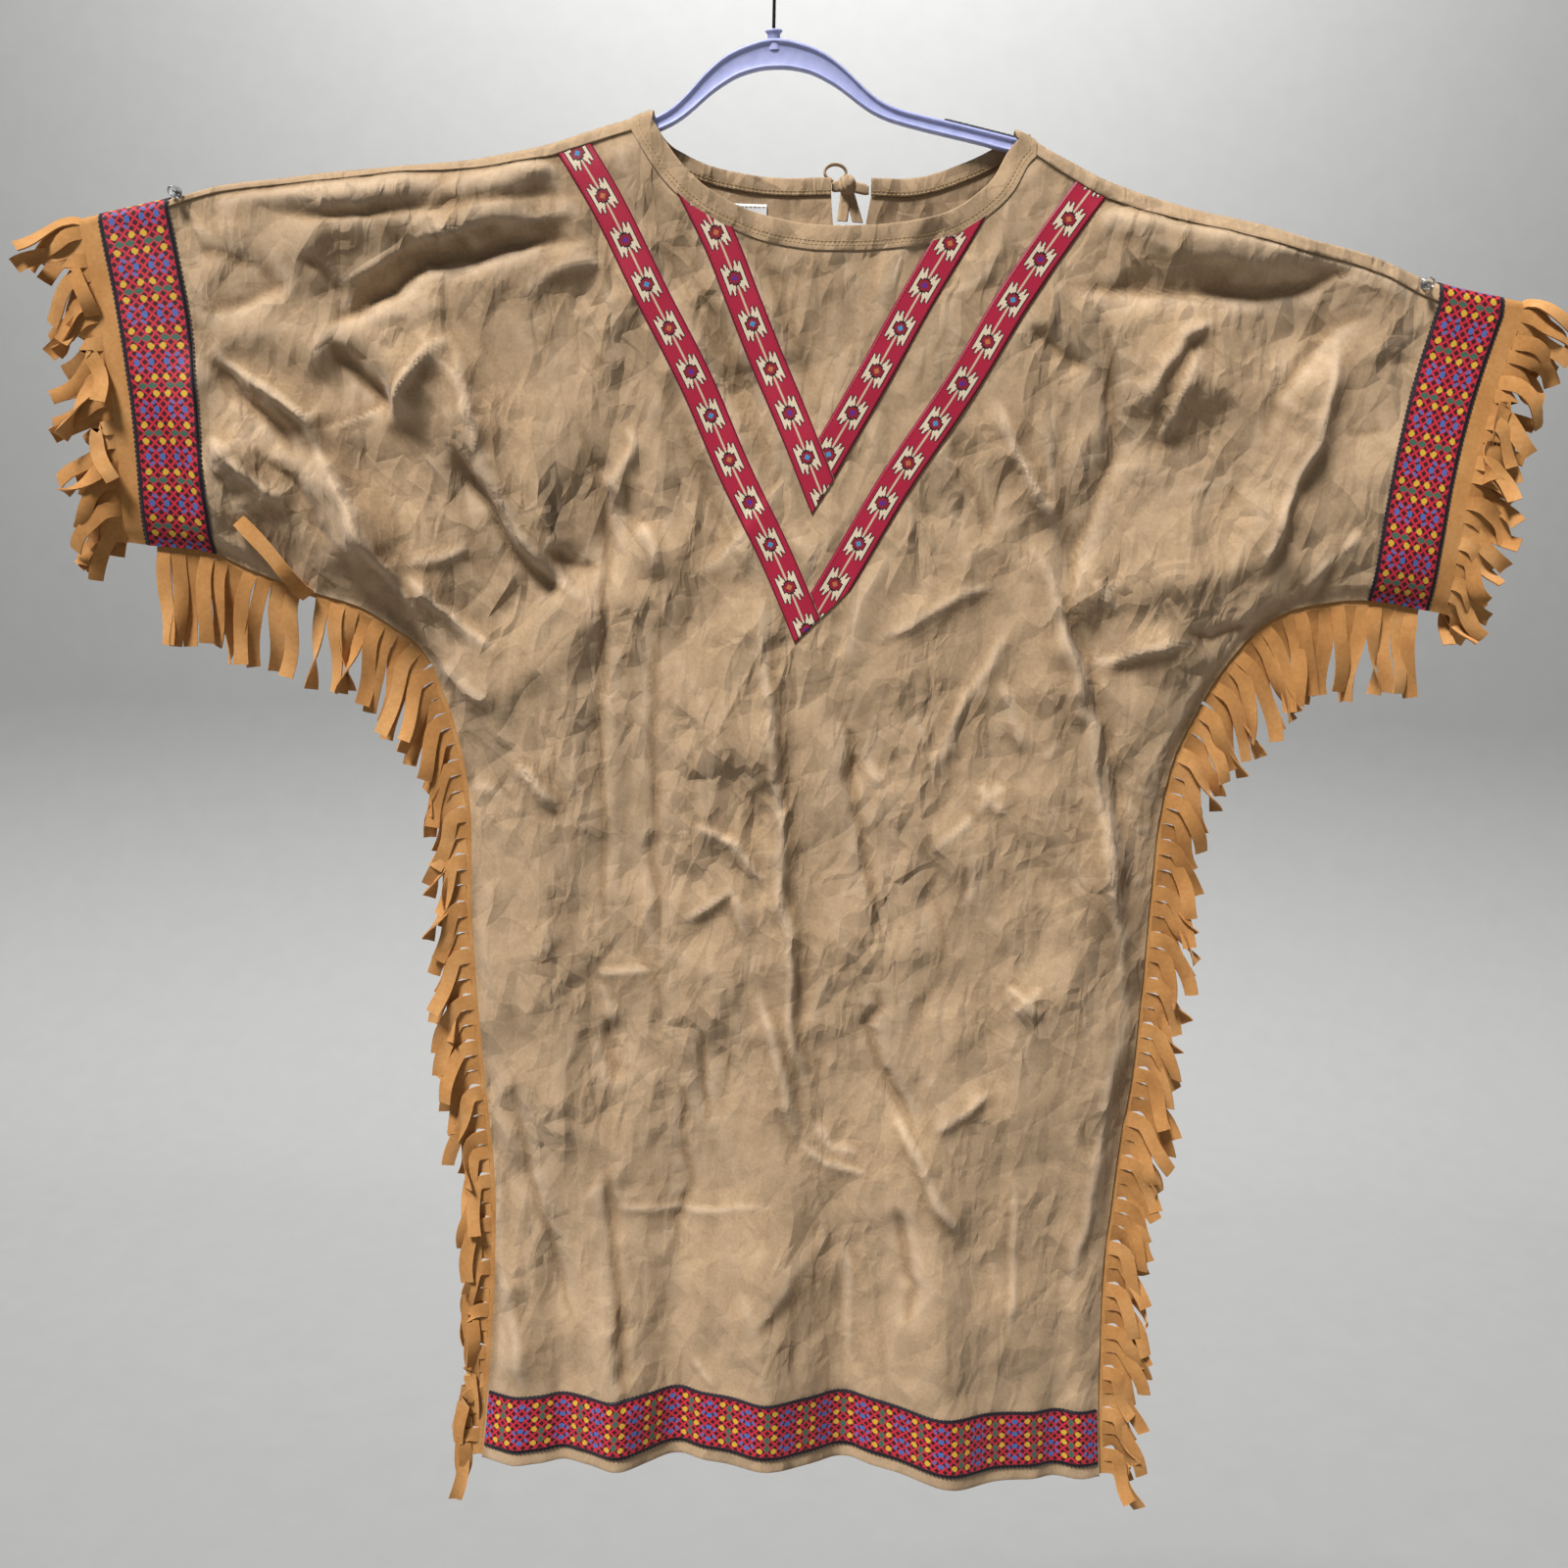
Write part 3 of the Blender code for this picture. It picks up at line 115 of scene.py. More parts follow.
def reached_along(points: Grid) -> Grid:
    """Distance along a line of points, up to each of them."""
    return np.concatenate([[0], np.cumsum(np.linalg.norm(np.diff(points, axis=0), axis=1))])


def lattice_normals(grid: Grid, towards: tuple[float, float, float]) -> Grid:
    """Normals of a lattice of points.

    Args:
        grid: rows and columns of points.
        towards: the direction that the lattice's middle faces.

    Returns:
        A normal for each point.
    """
    normals = unit(np.cross(np.gradient(grid, axis=0), np.gradient(grid, axis=1)))
    middle = normals[len(normals) // 2, normals.shape[1] // 2]
    return normals if np.dot(middle, towards) > 0 else -normals


def even_steps(points: Grid, count: int) -> Grid:
    """Points at equal distances along a line of points.

    Args:
        points: the line.
        count: number of steps.

    Returns:
        One point more than the steps.
    """
    reached = reached_along(points)
    return along_line(points, reached, np.linspace(0, reached[-1], count + 1))


def along_line(values: Grid, reached: Grid, places: Grid) -> Grid:
    """Points or directions at distances along a line."""
    return np.stack([np.interp(places, reached, values[:, k]) for k in range(3)], 1)


def whole_hash(column: Grid, row: Grid, seed: int) -> Grid:
    """Even chances from 0 to 1 that belong to whole numbers."""
    mixed = (column * 374761393 + row * 668265263 + seed * 974634777) & 0xFFFFFFFF
    mixed = ((mixed ^ (mixed >> 13)) * 1274126177) & 0xFFFFFFFF
    return ((mixed ^ (mixed >> 16)) & 0xFFFFFF) / 0xFFFFFF


def soft_noise(x: Grid, z: Grid, cell: float, seed: int) -> Grid:
    """Smooth chance over the garment's plane.

    Args:
        x: places across.
        z: places in height.
        cell: distance between the chances.
        seed: which chances.

    Returns:
        Values from -1 to 1.
    """
    across, high = x / cell, z / cell
    column, row = np.floor(across).astype(np.int64), np.floor(high).astype(np.int64)
    s, t = across - column, high - row
    s, t = ease(s), ease(t)
    low = whole_hash(column, row, seed) * (1 - s) + whole_hash(column + 1, row, seed) * s
    top = whole_hash(column, row + 1, seed) * (1 - s) + whole_hash(column + 1, row + 1, seed) * s
    return 2 * (low * (1 - t) + top * t) - 1


@dataclass
class Field:
    """Values on an even grid over the garment's plane."""

    low: tuple[float, float]
    step: float
    values: Grid

    def read(self, x: Grid, z: Grid) -> Grid:
        """Reads the field between its points.

        Args:
            x: places across.
            z: places in height.

        Returns:
            The values there.
        """
        rows, columns = self.values.shape
        across = np.clip((np.asarray(x) - self.low[0]) / self.step, 0, columns - 1.001)
        high = np.clip((np.asarray(z) - self.low[1]) / self.step, 0, rows - 1.001)
        c, r = across.astype(int), high.astype(int)
        s, t = across - c, high - r
        v = self.values
        low = v[r, c] * (1 - s) + v[r, c + 1] * s
        top = v[r + 1, c] * (1 - s) + v[r + 1, c + 1] * s
        return low * (1 - t) + top * t


def new_object(name: str, points: Grid, faces: list, smooth_angle: float | None = None) -> bpy.types.Object:
    """Makes a mesh object with smooth shading.

    Args:
        name: the piece's name.
        points: its points.
        faces: corners of each face.
        smooth_angle: edges sharper than this many degrees stay sharp.

    Returns:
        The object, linked to the scene.
    """
    mesh = bpy.data.meshes.new(name)
    mesh.from_pydata(np.asarray(points, float).tolist(), [], [list(map(int, f)) for f in faces])
    mesh.shade_smooth()
    if smooth_angle:
        mesh.set_sharp_from_angle(angle=math.radians(smooth_angle))
    obj = bpy.data.objects.new(name, mesh)
    bpy.context.scene.collection.objects.link(obj)
    return obj


def quads(rows: int, columns: int, first: int = 0, closed: bool = False) -> Grid:
    """Corners of the faces of a lattice of points that are numbered row by row."""
    r, c = np.meshgrid(np.arange(rows - 1), np.arange(columns if closed else columns - 1), indexing="ij")
    after = (c + 1) % columns
    corners = (r * columns + c, (r + 1) * columns + c, (r + 1) * columns + after, r * columns + after)
    return np.stack([k.ravel() for k in corners], 1) + first


def set_values(mesh: bpy.types.Mesh, name: str, values: Grid) -> None:
    """Stores one number for each point of a mesh."""
    layer = mesh.attributes.new(name, "FLOAT", "POINT")
    layer.data.foreach_set("value", np.asarray(values, np.float32).ravel())


def set_uv(mesh: bpy.types.Mesh, across: Grid, along: Grid) -> None:
    """Lays out a mesh by two numbers for each point, in metres."""
    corners = np.zeros(len(mesh.loops), int)
    mesh.loops.foreach_get("vertex_index", corners)
    layer = mesh.uv_layers.new(name="cloth")
    flat = np.stack([np.ravel(across)[corners], np.ravel(along)[corners]], 1)
    layer.data.foreach_set("uv", flat.astype(np.float32).ravel())


def welded(name: str, patches: list[Grid], values: list[Grid] | None = None) -> bpy.types.Object:
    """Joins lattices of points that share edges into one sheet.

    Args:
        name: the piece's name.
        patches: the lattices.
        values: a number for each point of each lattice, stored as "hollow", from which the cotton paints
            shade into the hollows of its creases.

    Returns:
        The sheet.
    """
    points = np.concatenate([p.reshape(-1, 3) for p in patches])
    keys = np.round(points / (0.02 * MM)).astype(np.int64)
    _, first, which = np.unique(keys, axis=0, return_index=True, return_inverse=True)
    which = which.ravel()
    faces, start = [], 0
    for patch in patches:
        faces.append(which[quads(patch.shape[0], patch.shape[1], start)])
        start += patch.shape[0] * patch.shape[1]
    faces = np.concatenate(faces)
    whole = np.array([len(set(f)) == 4 for f in faces])
    obj = new_object(name, points[first], faces[whole])
    if values is not None:
        set_values(obj.data, "hollow", np.concatenate([v.ravel() for v in values])[first])
    return obj


def tube(path: Grid, radii: Grid | float, sides: int) -> tuple[Grid, Grid]:
    """Points and faces of a round bar along a path, closed at both ends.

    Args:
        path: the bar's middle line.
        radii: its radius, or one for each point.
        sides: points round it.

    Returns:
        Its points and its faces.
    """
    along = unit(np.gradient(path, axis=0))
    side = unit(np.cross(along, (0.13, 0.87, 0.21)))
    other = np.cross(along, side)
    radii = np.broadcast_to(np.asarray(radii, float), (len(path),))
    angles = np.linspace(0, 2 * math.pi, sides, endpoint=False)
    ring = side[:, None] * np.cos(angles)[None, :, None] + other[:, None] * np.sin(angles)[None, :, None]
    points = (path[:, None] + ring * radii[:, None, None]).reshape(-1, 3)
    return points, quads(len(path), sides, closed=True)


@dataclass
class Heap:
    """Gathers many small meshes into one."""

    points: list = field(default_factory=list)
    faces: list = field(default_factory=list)
    extras: dict = field(default_factory=dict)
    count: int = 0

    def add(self, points: Grid, faces: Grid, **extras: Grid) -> None:
        """Adds a mesh, with numbers for its points by name."""
        points = np.asarray(points, float).reshape(-1, 3)
        self.faces.extend((np.asarray(faces) + self.count).tolist())
        self.points.append(points)
        for key, values in extras.items():
            self.extras.setdefault(key, []).append(np.broadcast_to(values, (len(points),)))
        self.count += len(points)

    def make(self, name: str, smooth_angle: float | None = None) -> bpy.types.Object:
        """Makes the object, with each extra stored under its name."""
        obj = new_object(name, np.concatenate(self.points), self.faces, smooth_angle)
        for key, values in self.extras.items():
            set_values(obj.data, key, np.concatenate(values))
        return obj


def linear(colour: str) -> tuple[float, float, float, float]:
    """Turns an sRGB hex colour into Blender's linear values."""
    parts = [int(colour[i:i + 2], 16) / 255 for i in (1, 3, 5)]
    return (*[p / 12.92 if p <= 0.04045 else ((p + 0.055) / 1.055) ** 2.4 for p in parts], 1.0)


def add_node(
    tree: Tree, kind: str, *values: Socket | float | dict, out: int | str = 0, stops: tuple = (),
    **settings: str,
) -> Socket:
    """Adds a node with its settings and links.

    Args:
        tree: the material's node tree.
        kind: the node's type, without "ShaderNode".
        values: a value or the socket that feeds it, for each socket in order or by name in a dict.
        out: the output that is wanted.
        stops: a place and a hex colour for each stop, where it is a colour ramp.
        settings: the node's own attributes, or the ramp's.

    Returns:
        The output.
    """
    node = tree.nodes.new("ShaderNode" + kind)
    for index, (place, colour) in enumerate(sorted(stops)):
        elements = node.color_ramp.elements
        element = elements[index] if index < len(elements) else elements.new(place)
        element.position, element.color = place, linear(colour)
    for key, value in settings.items():
        setattr(node.color_ramp if stops else node, key, value)
    by_socket = values[0] if values and isinstance(values[0], dict) else dict(enumerate(values))
    for key, value in by_socket.items():
        if isinstance(value, Socket):
            tree.links.new(value, node.inputs[key])
        else:
            node.inputs[key].default_value = value
    return node.outputs[out]


def new_material(name: str, **values: float | tuple) -> tuple[Tree, bpy.types.Node]:
    """Starts a material.

    Args:
        name: what it is made of and how.
        values: the shader's own values, by socket name with _ for spaces.

    Returns:
        The node tree and its shader.
    """
    material = bpy.data.materials.new(name)
    material.use_nodes = True
    tree = material.node_tree
    shader = tree.nodes["Principled BSDF"]
    for key, value in values.items():
        shader.inputs[key.replace("_", " ")].default_value = value
    return tree, shader


@dataclass(frozen=True)
class BrushedCotton:
    """Khaki cotton drill, woven and brushed: a matt cloth with a soft nap."""

    name: str = "brushed_cotton_drill"
    ground: str = "#b09474"
    # Painted shade in the hollows of the creases, also the dark end of the mottle; the ridge colour is paler
    # wear on their ridges and the mottle's light end.
    hollow: str = "#8a6f50"
    ridge: str = "#c6ad91"
    # Threads 0.45 mm apart are too fine to show, so a mottle five times as coarse stands for them.
    nap: float = 2.4 * MM
    nap_tone: float = 0.5
    # The twill is a little uneven, in soft slanting bars this far apart.
    bars: float = 18 * MM
    # Faded patches to the metre.
    patches: float = 9.0
    patch_tone: float = 0.1
    # How strongly the creases are tinted: painted shade in the hollows, paler wear on the ridges.
    crease_shade_tone: float = 0.3
    # Short fold lines: distance, how much longer upright, how sharp, how high.
    line_gap: float = 30.0 * MM
    line_longer: float = 0.5
    line_crisp: float = 15.0
    line_rise: float = 1.3 * MM
    # Flat scraps between the finest creases: distance, turn in degrees and slope.
    scraps: tuple = ((50 * MM, 24.0, 0.14), (27 * MM, -30.0, -0.14), (14 * MM, 8.0, 0.11))
    scrap_longer: float = 0.46
    scrap_bend: float = 1.1
    # How much the scraps show at the hem, and how much more each metre higher.
    calm_hem: tuple = (1.62, 0.95)

    def build(self) -> Material:
        """Makes the material: the nap hides all gloss; painted shade darkens the hollows of the creases, and
        their ridges are paler as worn.
        """
        tree, shader = new_material(
            self.name, Roughness=0.94, Sheen_Weight=0.1, Sheen_Roughness=0.5, Specular_IOR_Level=0.18
        )
        place = add_node(tree, "TexCoord", out="Object")
        # The crease relief, which paints shade into the hollows and paler wear onto the ridges.
        hollow = add_node(tree, "Attribute", out="Fac", attribute_name="hollow")
        nap = add_node(tree, "TexNoise", {"Vector": place, "Scale": 1 / self.nap, "Detail": 3.0})
        patch = add_node(tree, "TexNoise", {"Vector": place, "Scale": self.patches, "Detail": 3.0})
        tone = add_node(tree, "Math", nap, self.nap_tone, -self.nap_tone / 2, operation="MULTIPLY_ADD")
        patch = add_node(tree, "Math", patch, self.patch_tone, -self.patch_tone / 2, operation="MULTIPLY_ADD")
        hollow = add_node(tree, "Math", hollow, self.crease_shade_tone, 0.5, operation="MULTIPLY_ADD")
        for part in (patch, hollow):
            tone = add_node(tree, "Math", tone, part, operation="ADD")
        stops = ((0.0, self.hollow), (0.5, self.ground), (1.0, self.ridge))
        tree.links.new(add_node(tree, "ValToRGB", tone, stops=stops), shader.inputs["Base Color"])
        relief = self.fold_lines(tree, place)
        for size, turn, slope in self.scraps:
            relief = self.flat_scraps(tree, place, size, turn, slope, relief)
        bars = add_node(
            tree, "TexWave", {"Vector": place, "Scale": 0.2 * math.pi / self.bars, "Distortion": 1.5,
                              "Detail": 2.0, "Detail Scale": 6.0},
            out="Fac", wave_type="BANDS", bands_direction="DIAGONAL",
        )
        for height, rise in ((nap, 0.25 * MM), (bars, 0.15 * MM)):
            relief = add_node(
                tree, "Bump", {"Strength": 0.25, "Distance": rise, "Height": height, "Normal": relief}
            )
        tree.links.new(relief, shader.inputs["Normal"])
        return bpy.data.materials[self.name]

    def fold_lines(self, tree: Tree, place: Socket) -> Socket:
        """Adds short sharp fold lines, too fine for the mesh.

        Args:
            tree: the material's node tree.
            place: the place on the cloth.

        Returns:
            The changed normal.
        """
        longer = add_node(tree, "Mapping", {"Vector": place, "Scale": (1, 1, self.line_longer)})
        bend = add_node(
            tree, "TexNoise", {"Vector": longer, "Scale": 0.5 / self.line_gap, "Detail": 1.0,
                               "Roughness": 0.4, "Distortion": 0.25},
        )
        gap = add_node(tree, "Math", bend, 0.5, operation="SUBTRACT")
        gap = add_node(tree, "Math", gap, operation="ABSOLUTE")
        line = add_node(tree, "Math", gap, -self.line_crisp, operation="MULTIPLY")
        line = add_node(tree, "Math", line, operation="EXPONENT")
        # A second noise breaks the lines off.
        shown = add_node(tree, "TexNoise", {"Vector": place, "Scale": 0.6 / self.line_gap, "Detail": 1.0})
        shown = add_node(tree, "Math", shown, 5.0, -2.3, operation="MULTIPLY_ADD")
        shown = add_node(tree, "Clamp", shown)
        height = add_node(tree, "Math", line, shown, operation="MULTIPLY")
        return add_node(tree, "Bump", {"Strength": 0.6, "Distance": self.line_rise, "Height": height})

    def flat_scraps(
        self, tree: Tree, place: Socket, size: float, turn: float, slope: float, under: Socket
    ) -> Socket:
        """Adds small flat scraps that meet in straight creases, as crushed cotton has.

        Args:
            tree: the material's node tree.
            place: the place on the cloth.
            size: distance between the scraps' middles.
            turn: how far the pattern leans, in degrees.
            slope: how steep they are, below zero for hollows.
            under: the normal that they change.

        Returns:
            The changed normal.
        """
        bend = add_node(tree, "TexNoise", {"Vector": place, "Scale": 0.5 / size, "Detail": 1.0}, out="Color")
        reach = (self.scrap_bend * size,) * 3
        aside = add_node(tree, "VectorMath", bend, reach, place, operation="MULTIPLY_ADD")
        stretch = (1, 1, self.scrap_longer)
        longer = add_node(
            tree, "Mapping", {"Vector": aside, "Rotation": (0, math.radians(turn), 0), "Scale": stretch}
        )
        height = add_node(
            tree, "TexVoronoi", {"Vector": longer, "Scale": 1 / size, "Randomness": 1.0},
            distance="MANHATTAN", feature="F1",
        )
        # Some places are calmer than others, and the lower part is calmer than the chest.
        lively = add_node(tree, "TexNoise", {"Vector": place, "Scale": 0.35 / size, "Detail": 0.0})
        lively = add_node(tree, "Math", lively, 3.0, -0.7, operation="MULTIPLY_ADD")
        low, more = self.calm_hem
        higher = add_node(tree, "SeparateXYZ", place, out="Z")
        higher = add_node(tree, "Math", higher, more, low, operation="MULTIPLY_ADD")
        for amount in (add_node(tree, "Clamp", lively, 0.3, 1.3), add_node(tree, "Clamp", higher, 0.5, 1.1)):
            height = add_node(tree, "Math", height, amount, operation="MULTIPLY")
        return add_node(
            tree, "Bump", {"Strength": 1.0, "Distance": slope * size, "Height": height, "Normal": under}
        )


@dataclass(frozen=True)
class ImitationSuede:
    """Imitation suede, a knitted cloth with a ground nap: golden tan and quite matt."""

    name: str = "imitation_suede_ground_nap"
    dark: str = "#966432"
    ground: str = "#ba844c"
    light: str = "#d2a16a"
    glance: str = "#f0c890"
    nap: float = 3.0 * MM
    nap_tone: float = 0.5
    patch: float = 25 * MM
    patch_tone: float = 0.8

    def build(self) -> Material:
        """Makes the material: a mottled nap that brightens at glancing angles."""
        tree, shader = new_material(
            self.name, Roughness=0.9, Sheen_Weight=0.4, Sheen_Roughness=0.45, Sheen_Tint=linear(self.glance),
            Specular_IOR_Level=0.2,
        )
        place = add_node(tree, "TexCoord", out="Object")
        tone = add_node(tree, "Attribute", out="Fac", attribute_name="tone")
        nap = add_node(tree, "TexNoise", {"Vector": place, "Scale": 1 / self.nap, "Detail": 6.0})
        patch = add_node(tree, "TexNoise", {"Vector": place, "Scale": 1 / self.patch, "Detail": 3.0})
        for noise, share in ((nap, self.nap_tone), (patch, self.patch_tone)):
            noise = add_node(tree, "Math", noise, share, -share / 2, operation="MULTIPLY_ADD")
            tone = add_node(tree, "Math", tone, noise, operation="ADD")
        stops = ((0.0, self.dark), (0.5, self.ground), (1.0, self.light))
        tree.links.new(add_node(tree, "ValToRGB", tone, stops=stops), shader.inputs["Base Color"])
        relief = add_node(tree, "Bump", {"Strength": 0.3, "Distance": 0.4 * MM, "Height": nap})
        tree.links.new(relief, shader.inputs["Normal"])
        return bpy.data.materials[self.name]


class Weave(Enum):
    """The two woven patterns, each a quarter of its repeat, rows from the motif's middle."""

    WIDE = (
        "rrrrbbbbbrrrrrrrrbbbbbrzzzzkkk", "rrrrbbbbbrrrrrrrrbbbbbrzzzzkkk",
        "rrrrrbbbrrrrrrrrrrbbbrrzzzzkkk", "rrrrrrrrrrrrrrrrrrrrrrrzzzkkkk",
        "rrrrrrrriiirrriiirrrrrrzzzkkkk", "rrrrrrriiiirrriiiirrrrrzzzzkkk",
        "rrrrrriiiirrrrriiiirrrrzzzzkkk", "rrrrrriiirrrrrrriiirrrrzzzzkkk",
        "rrrrrrrrrrrrrrrrrrrrrrrzzzzkkk", "rrrrrrrrrrrrrrrrrrrrrrrzzzkkkk",
        "rrrryyrrrrrrrrrrrrryyrrzzzkkkk", "rrryyyyrrrrrrrrrrryyyyrzzzkkkk",
        "rryyyyyyrrrrrrrrryyyyyyzzzzkkk", "rryyyyyyrrrrrrrrryyyyyyzzzzkkk",
        "rrryyyyyrrrrrrrrrryyyyyzzzzkkk", "rrrryyyrrrrrrrrrrrryyyrzzzzkkk",
        "rrrrrrrrrrrrrrrrrrrrrrrzzzkkkk", "rrrrrrrggrrrrrrrggrrrrrzzzkkkk",
        "rrrrrggggggrrrggggggrrrzzzkkkk", "rrrrggggggggrggggggggrrzzzzkkk",
    )
    NARROW = (
        "rrrrrrkccckggggs", "rrrrrrkccckggggs", "rrrrrrkccckggggs", "rrrkkkkccckggggs",
        "rrrkcccccckggggs", "kkkkcccccckggggs", "kkcccccccckggggs", "lkcccccccckggggs",
        "lkcccccccckggggs", "lgkccckccckggggs", "lgkccckgcckggggs", "lggkcckgcckggggs",
        "lggkcckgkckggggs", "lggkcckggkgggggs", "lgggkckggggggggs", "lggggkgggggggggs",
        "lggggggggggggggs", "lggggggggggggggs", "lggggggggggggggs", "lggggggggggggggs",
        "lggggggggggggggs", "lggggggggggggggs",
    )


@dataclass(frozen=True)
class JacquardRibbon:
    """Viscose ribbon woven on a jacquard loom: satin floats that raise and gloss the motif."""

    name: str
    weave: Weave
    cell: float
    row: float
    colours: tuple[tuple[str, str], ...]
    middles: tuple[str, ...] = ()
    roughness: float = 0.5
    # Real ribs are 0.45 mm apart, too fine to show, so they are drawn twice as coarse.
    rib: float = 0.9 * MM
    rib_shade: str = "#8a8a8a"
    middle_cells: float = 3.2
    # The diagonals cross every 7 mm, and are this share of that wide on each side.
    diagonals: float = 2.5
    diagonal_half: float = 0.17

    def build(self) -> Material:
        """Makes the material: the chart is mirrored both ways and repeated along the ribbon."""
        tree, shader = new_material(
            self.name, Roughness=self.roughness, Sheen_Weight=0.15, Sheen_Roughness=0.4,
            Specular_IOR_Level=0.35,
        )
        uv = add_node(tree, "UVMap", uv_map="cloth")
        aside = add_node(tree, "SeparateXYZ", uv)
        forward = aside.node.outputs[1]
        chart, palette = self.weave.value, dict(self.colours)
        columns, half = len(chart[0]), len(chart) * self.row
        across = add_node(tree, "Math", aside, operation="ABSOLUTE")
        share = add_node(tree, "Math", across, self.cell * columns, operation="DIVIDE")
        along = add_node(tree, "Math", forward, half, operation="PINGPONG")
        colour = None
        for index, cells in enumerate(chart):
            starts = [i for i in range(columns) if i == 0 or cells[i] != cells[i - 1]]
            stops = [(i / columns, palette[cells[i]]) for i in starts]
            row = add_node(tree, "ValToRGB", share, stops=stops, interpolation="CONSTANT")
            if colour:
                reached = add_node(tree, "Math", along, index * self.row, operation="GREATER_THAN")
                row = add_node(tree, "Mix", {0: reached, 6: colour, 7: row}, out=2, data_type="RGBA")
            colour = row
        if self.weave is Weave.WIDE:
            colour = self.lattice_over(tree, aside, forward, colour)
        if self.middles:
            repeats = add_node(tree, "Math", forward, 2 * half, operation="DIVIDE")
            colour = self.middle_over(tree, across, along, repeats, colour)
        fibre = self.fibre(tree, aside, forward)
        shade = add_node(tree, "ValToRGB", fibre, stops=((0.0, self.rib_shade), (1.0, "#ffffff")))
        shaded = add_node(
            tree, "Mix", {0: 0.55, 6: colour, 7: shade}, out=2, data_type="RGBA", blend_type="MULTIPLY"
        )
        tree.links.new(shaded, shader.inputs["Base Color"])
        # Light threads float on top of the ground, and the ribs run through all.
        bright = add_node(tree, "Math", add_node(tree, "RGBToBW", colour), 0.6, operation="MULTIPLY")
        height = add_node(tree, "Math", fibre, 0.4, bright, operation="MULTIPLY_ADD")
        relief = add_node(tree, "Bump", {"Strength": 0.5, "Distance": 0.35 * MM, "Height": height})
        tree.links.new(relief, shader.inputs["Normal"])
        return bpy.data.materials[self.name]

    def fibre(self, tree: Tree, aside: Socket, forward: Socket) -> Socket:
        """Makes the ribs across the ribbon.

        Args:
            tree: the material's node tree.
            aside: distance from the ribbon's middle line.
            forward: distance along it.

        Returns:
            Their height, 0 to 1.
        """
        turns = 2 * math.pi / self.rib
        waves = []
        for distance, rate in ((forward, turns), (aside, turns * 0.8)):
            wave = add_node(tree, "Math", distance, rate, operation="MULTIPLY")
            waves.append(add_node(tree, "Math", wave, operation="SINE"))
        both = add_node(tree, "Math", *waves, operation="MULTIPLY")
        return add_node(tree, "Math", both, 0.5, 0.5, operation="MULTIPLY_ADD")

    def lattice_over(self, tree: Tree, aside: Socket, forward: Socket, colour: Socket) -> Socket:
        """Puts the dark ground between the red diagonals of the wide ribbon.

        Args:
            tree: the material's node tree.
            aside: distance from the ribbon's middle line.
            forward: distance along it.
            colour: the charted colour so far.

        Returns:
            The colour with the ground.
        """
        pitch = len(self.weave.value) * self.row / self.diagonals
        gaps = []
        for operation in ("ADD", "SUBTRACT"):
            slant = add_node(tree, "Math", aside, forward, operation=operation)
            gaps.append(add_node(tree, "Math", slant, pitch / 2, operation="PINGPONG"))
        gap = add_node(tree, "Math", *gaps, operation="MINIMUM")
        line = add_node(tree, "Math", gap, pitch * self.diagonal_half, operation="LESS_THAN")
        dark, red = (linear(dict(self.colours)[key]) for key in "mr")
        ground = add_node(tree, "Mix", {0: line, 6: dark, 7: red}, out=2, data_type="RGBA")
        # Only the red cells of the chart take the ground.
        parts = add_node(tree, "SeparateColor", colour).node.outputs
        alike = [add_node(tree, "Math", parts[k], red[k], 0.004, operation="COMPARE") for k in (0, 1)]
        is_ground = add_node(tree, "Math", *alike, operation="MULTIPLY")
        return add_node(tree, "Mix", {0: is_ground, 6: colour, 7: ground}, out=2, data_type="RGBA")

    def middle_over(
        self, tree: Tree, across: Socket, along: Socket, repeats: Socket, colour: Socket
    ) -> Socket:
        """Puts the small diamond in each motif's middle, its colour changing from one to the next.

        Args:
            tree: the material's node tree.
            across: distance from the ribbon's middle line, on either side.
            along: distance from the motif's middle along the ribbon.
            repeats: which motif it is.
            colour: the colour so far.

        Returns:
            The colour with the diamonds.
        """
        count = len(self.middles)
        reach = add_node(tree, "Math", across, along, operation="ADD")
        inside = add_node(tree, "Math", reach, self.middle_cells * self.cell, operation="LESS_THAN")
        turn = add_node(tree, "Math", repeats, 0.5, operation="ADD")
        turn = add_node(tree, "Math", turn, operation="FLOOR")
        turn = add_node(tree, "Math", turn, float(count), operation="FLOORED_MODULO")
        pick = add_node(tree, "Math", turn, 1 / count, 0.02, operation="MULTIPLY_ADD")
        stops = [(i / count, colour_of) for i, colour_of in enumerate(self.middles)]
        middle = add_node(tree, "ValToRGB", pick, stops=stops, interpolation="CONSTANT")
        return add_node(tree, "Mix", {0: inside, 6: colour, 7: middle}, out=2, data_type="RGBA")


@dataclass(frozen=True)
class PlainFinish:
    """A finish of one colour with a fine mottle: moulded, drawn, spun or woven."""

    name: str
    light: str
    dark: str
    roughness: float
    metallic: float = 0.0
    grain: float = 2.0 * MM
    bump: float = 0.1 * MM
    ior: float = 1.5
    clear: float = 0.0
    soft: float = 0.0
    glow: float = 0.0
    glow_depth: tuple = (0.004, 0.004, 0.005)

    def build(self) -> Material:
        """Makes the material from its colours, gloss and grain."""
        tree, shader = new_material(
            self.name, Roughness=self.roughness, Metallic=self.metallic, IOR=self.ior,
            Transmission_Weight=self.clear, Sheen_Weight=self.soft, Subsurface_Weight=self.glow,
            Subsurface_Radius=self.glow_depth,
        )
        place = add_node(tree, "TexCoord", out="Object")
        noise = add_node(tree, "TexNoise", {"Vector": place, "Scale": 1 / self.grain, "Detail": 4.0})
        colour = add_node(tree, "ValToRGB", noise, stops=((0.3, self.dark), (0.7, self.light)))
        tree.links.new(colour, shader.inputs["Base Color"])
        relief = add_node(tree, "Bump", {"Strength": 0.3, "Distance": self.bump, "Height": noise})
        tree.links.new(relief, shader.inputs["Normal"])
        return bpy.data.materials[self.name]


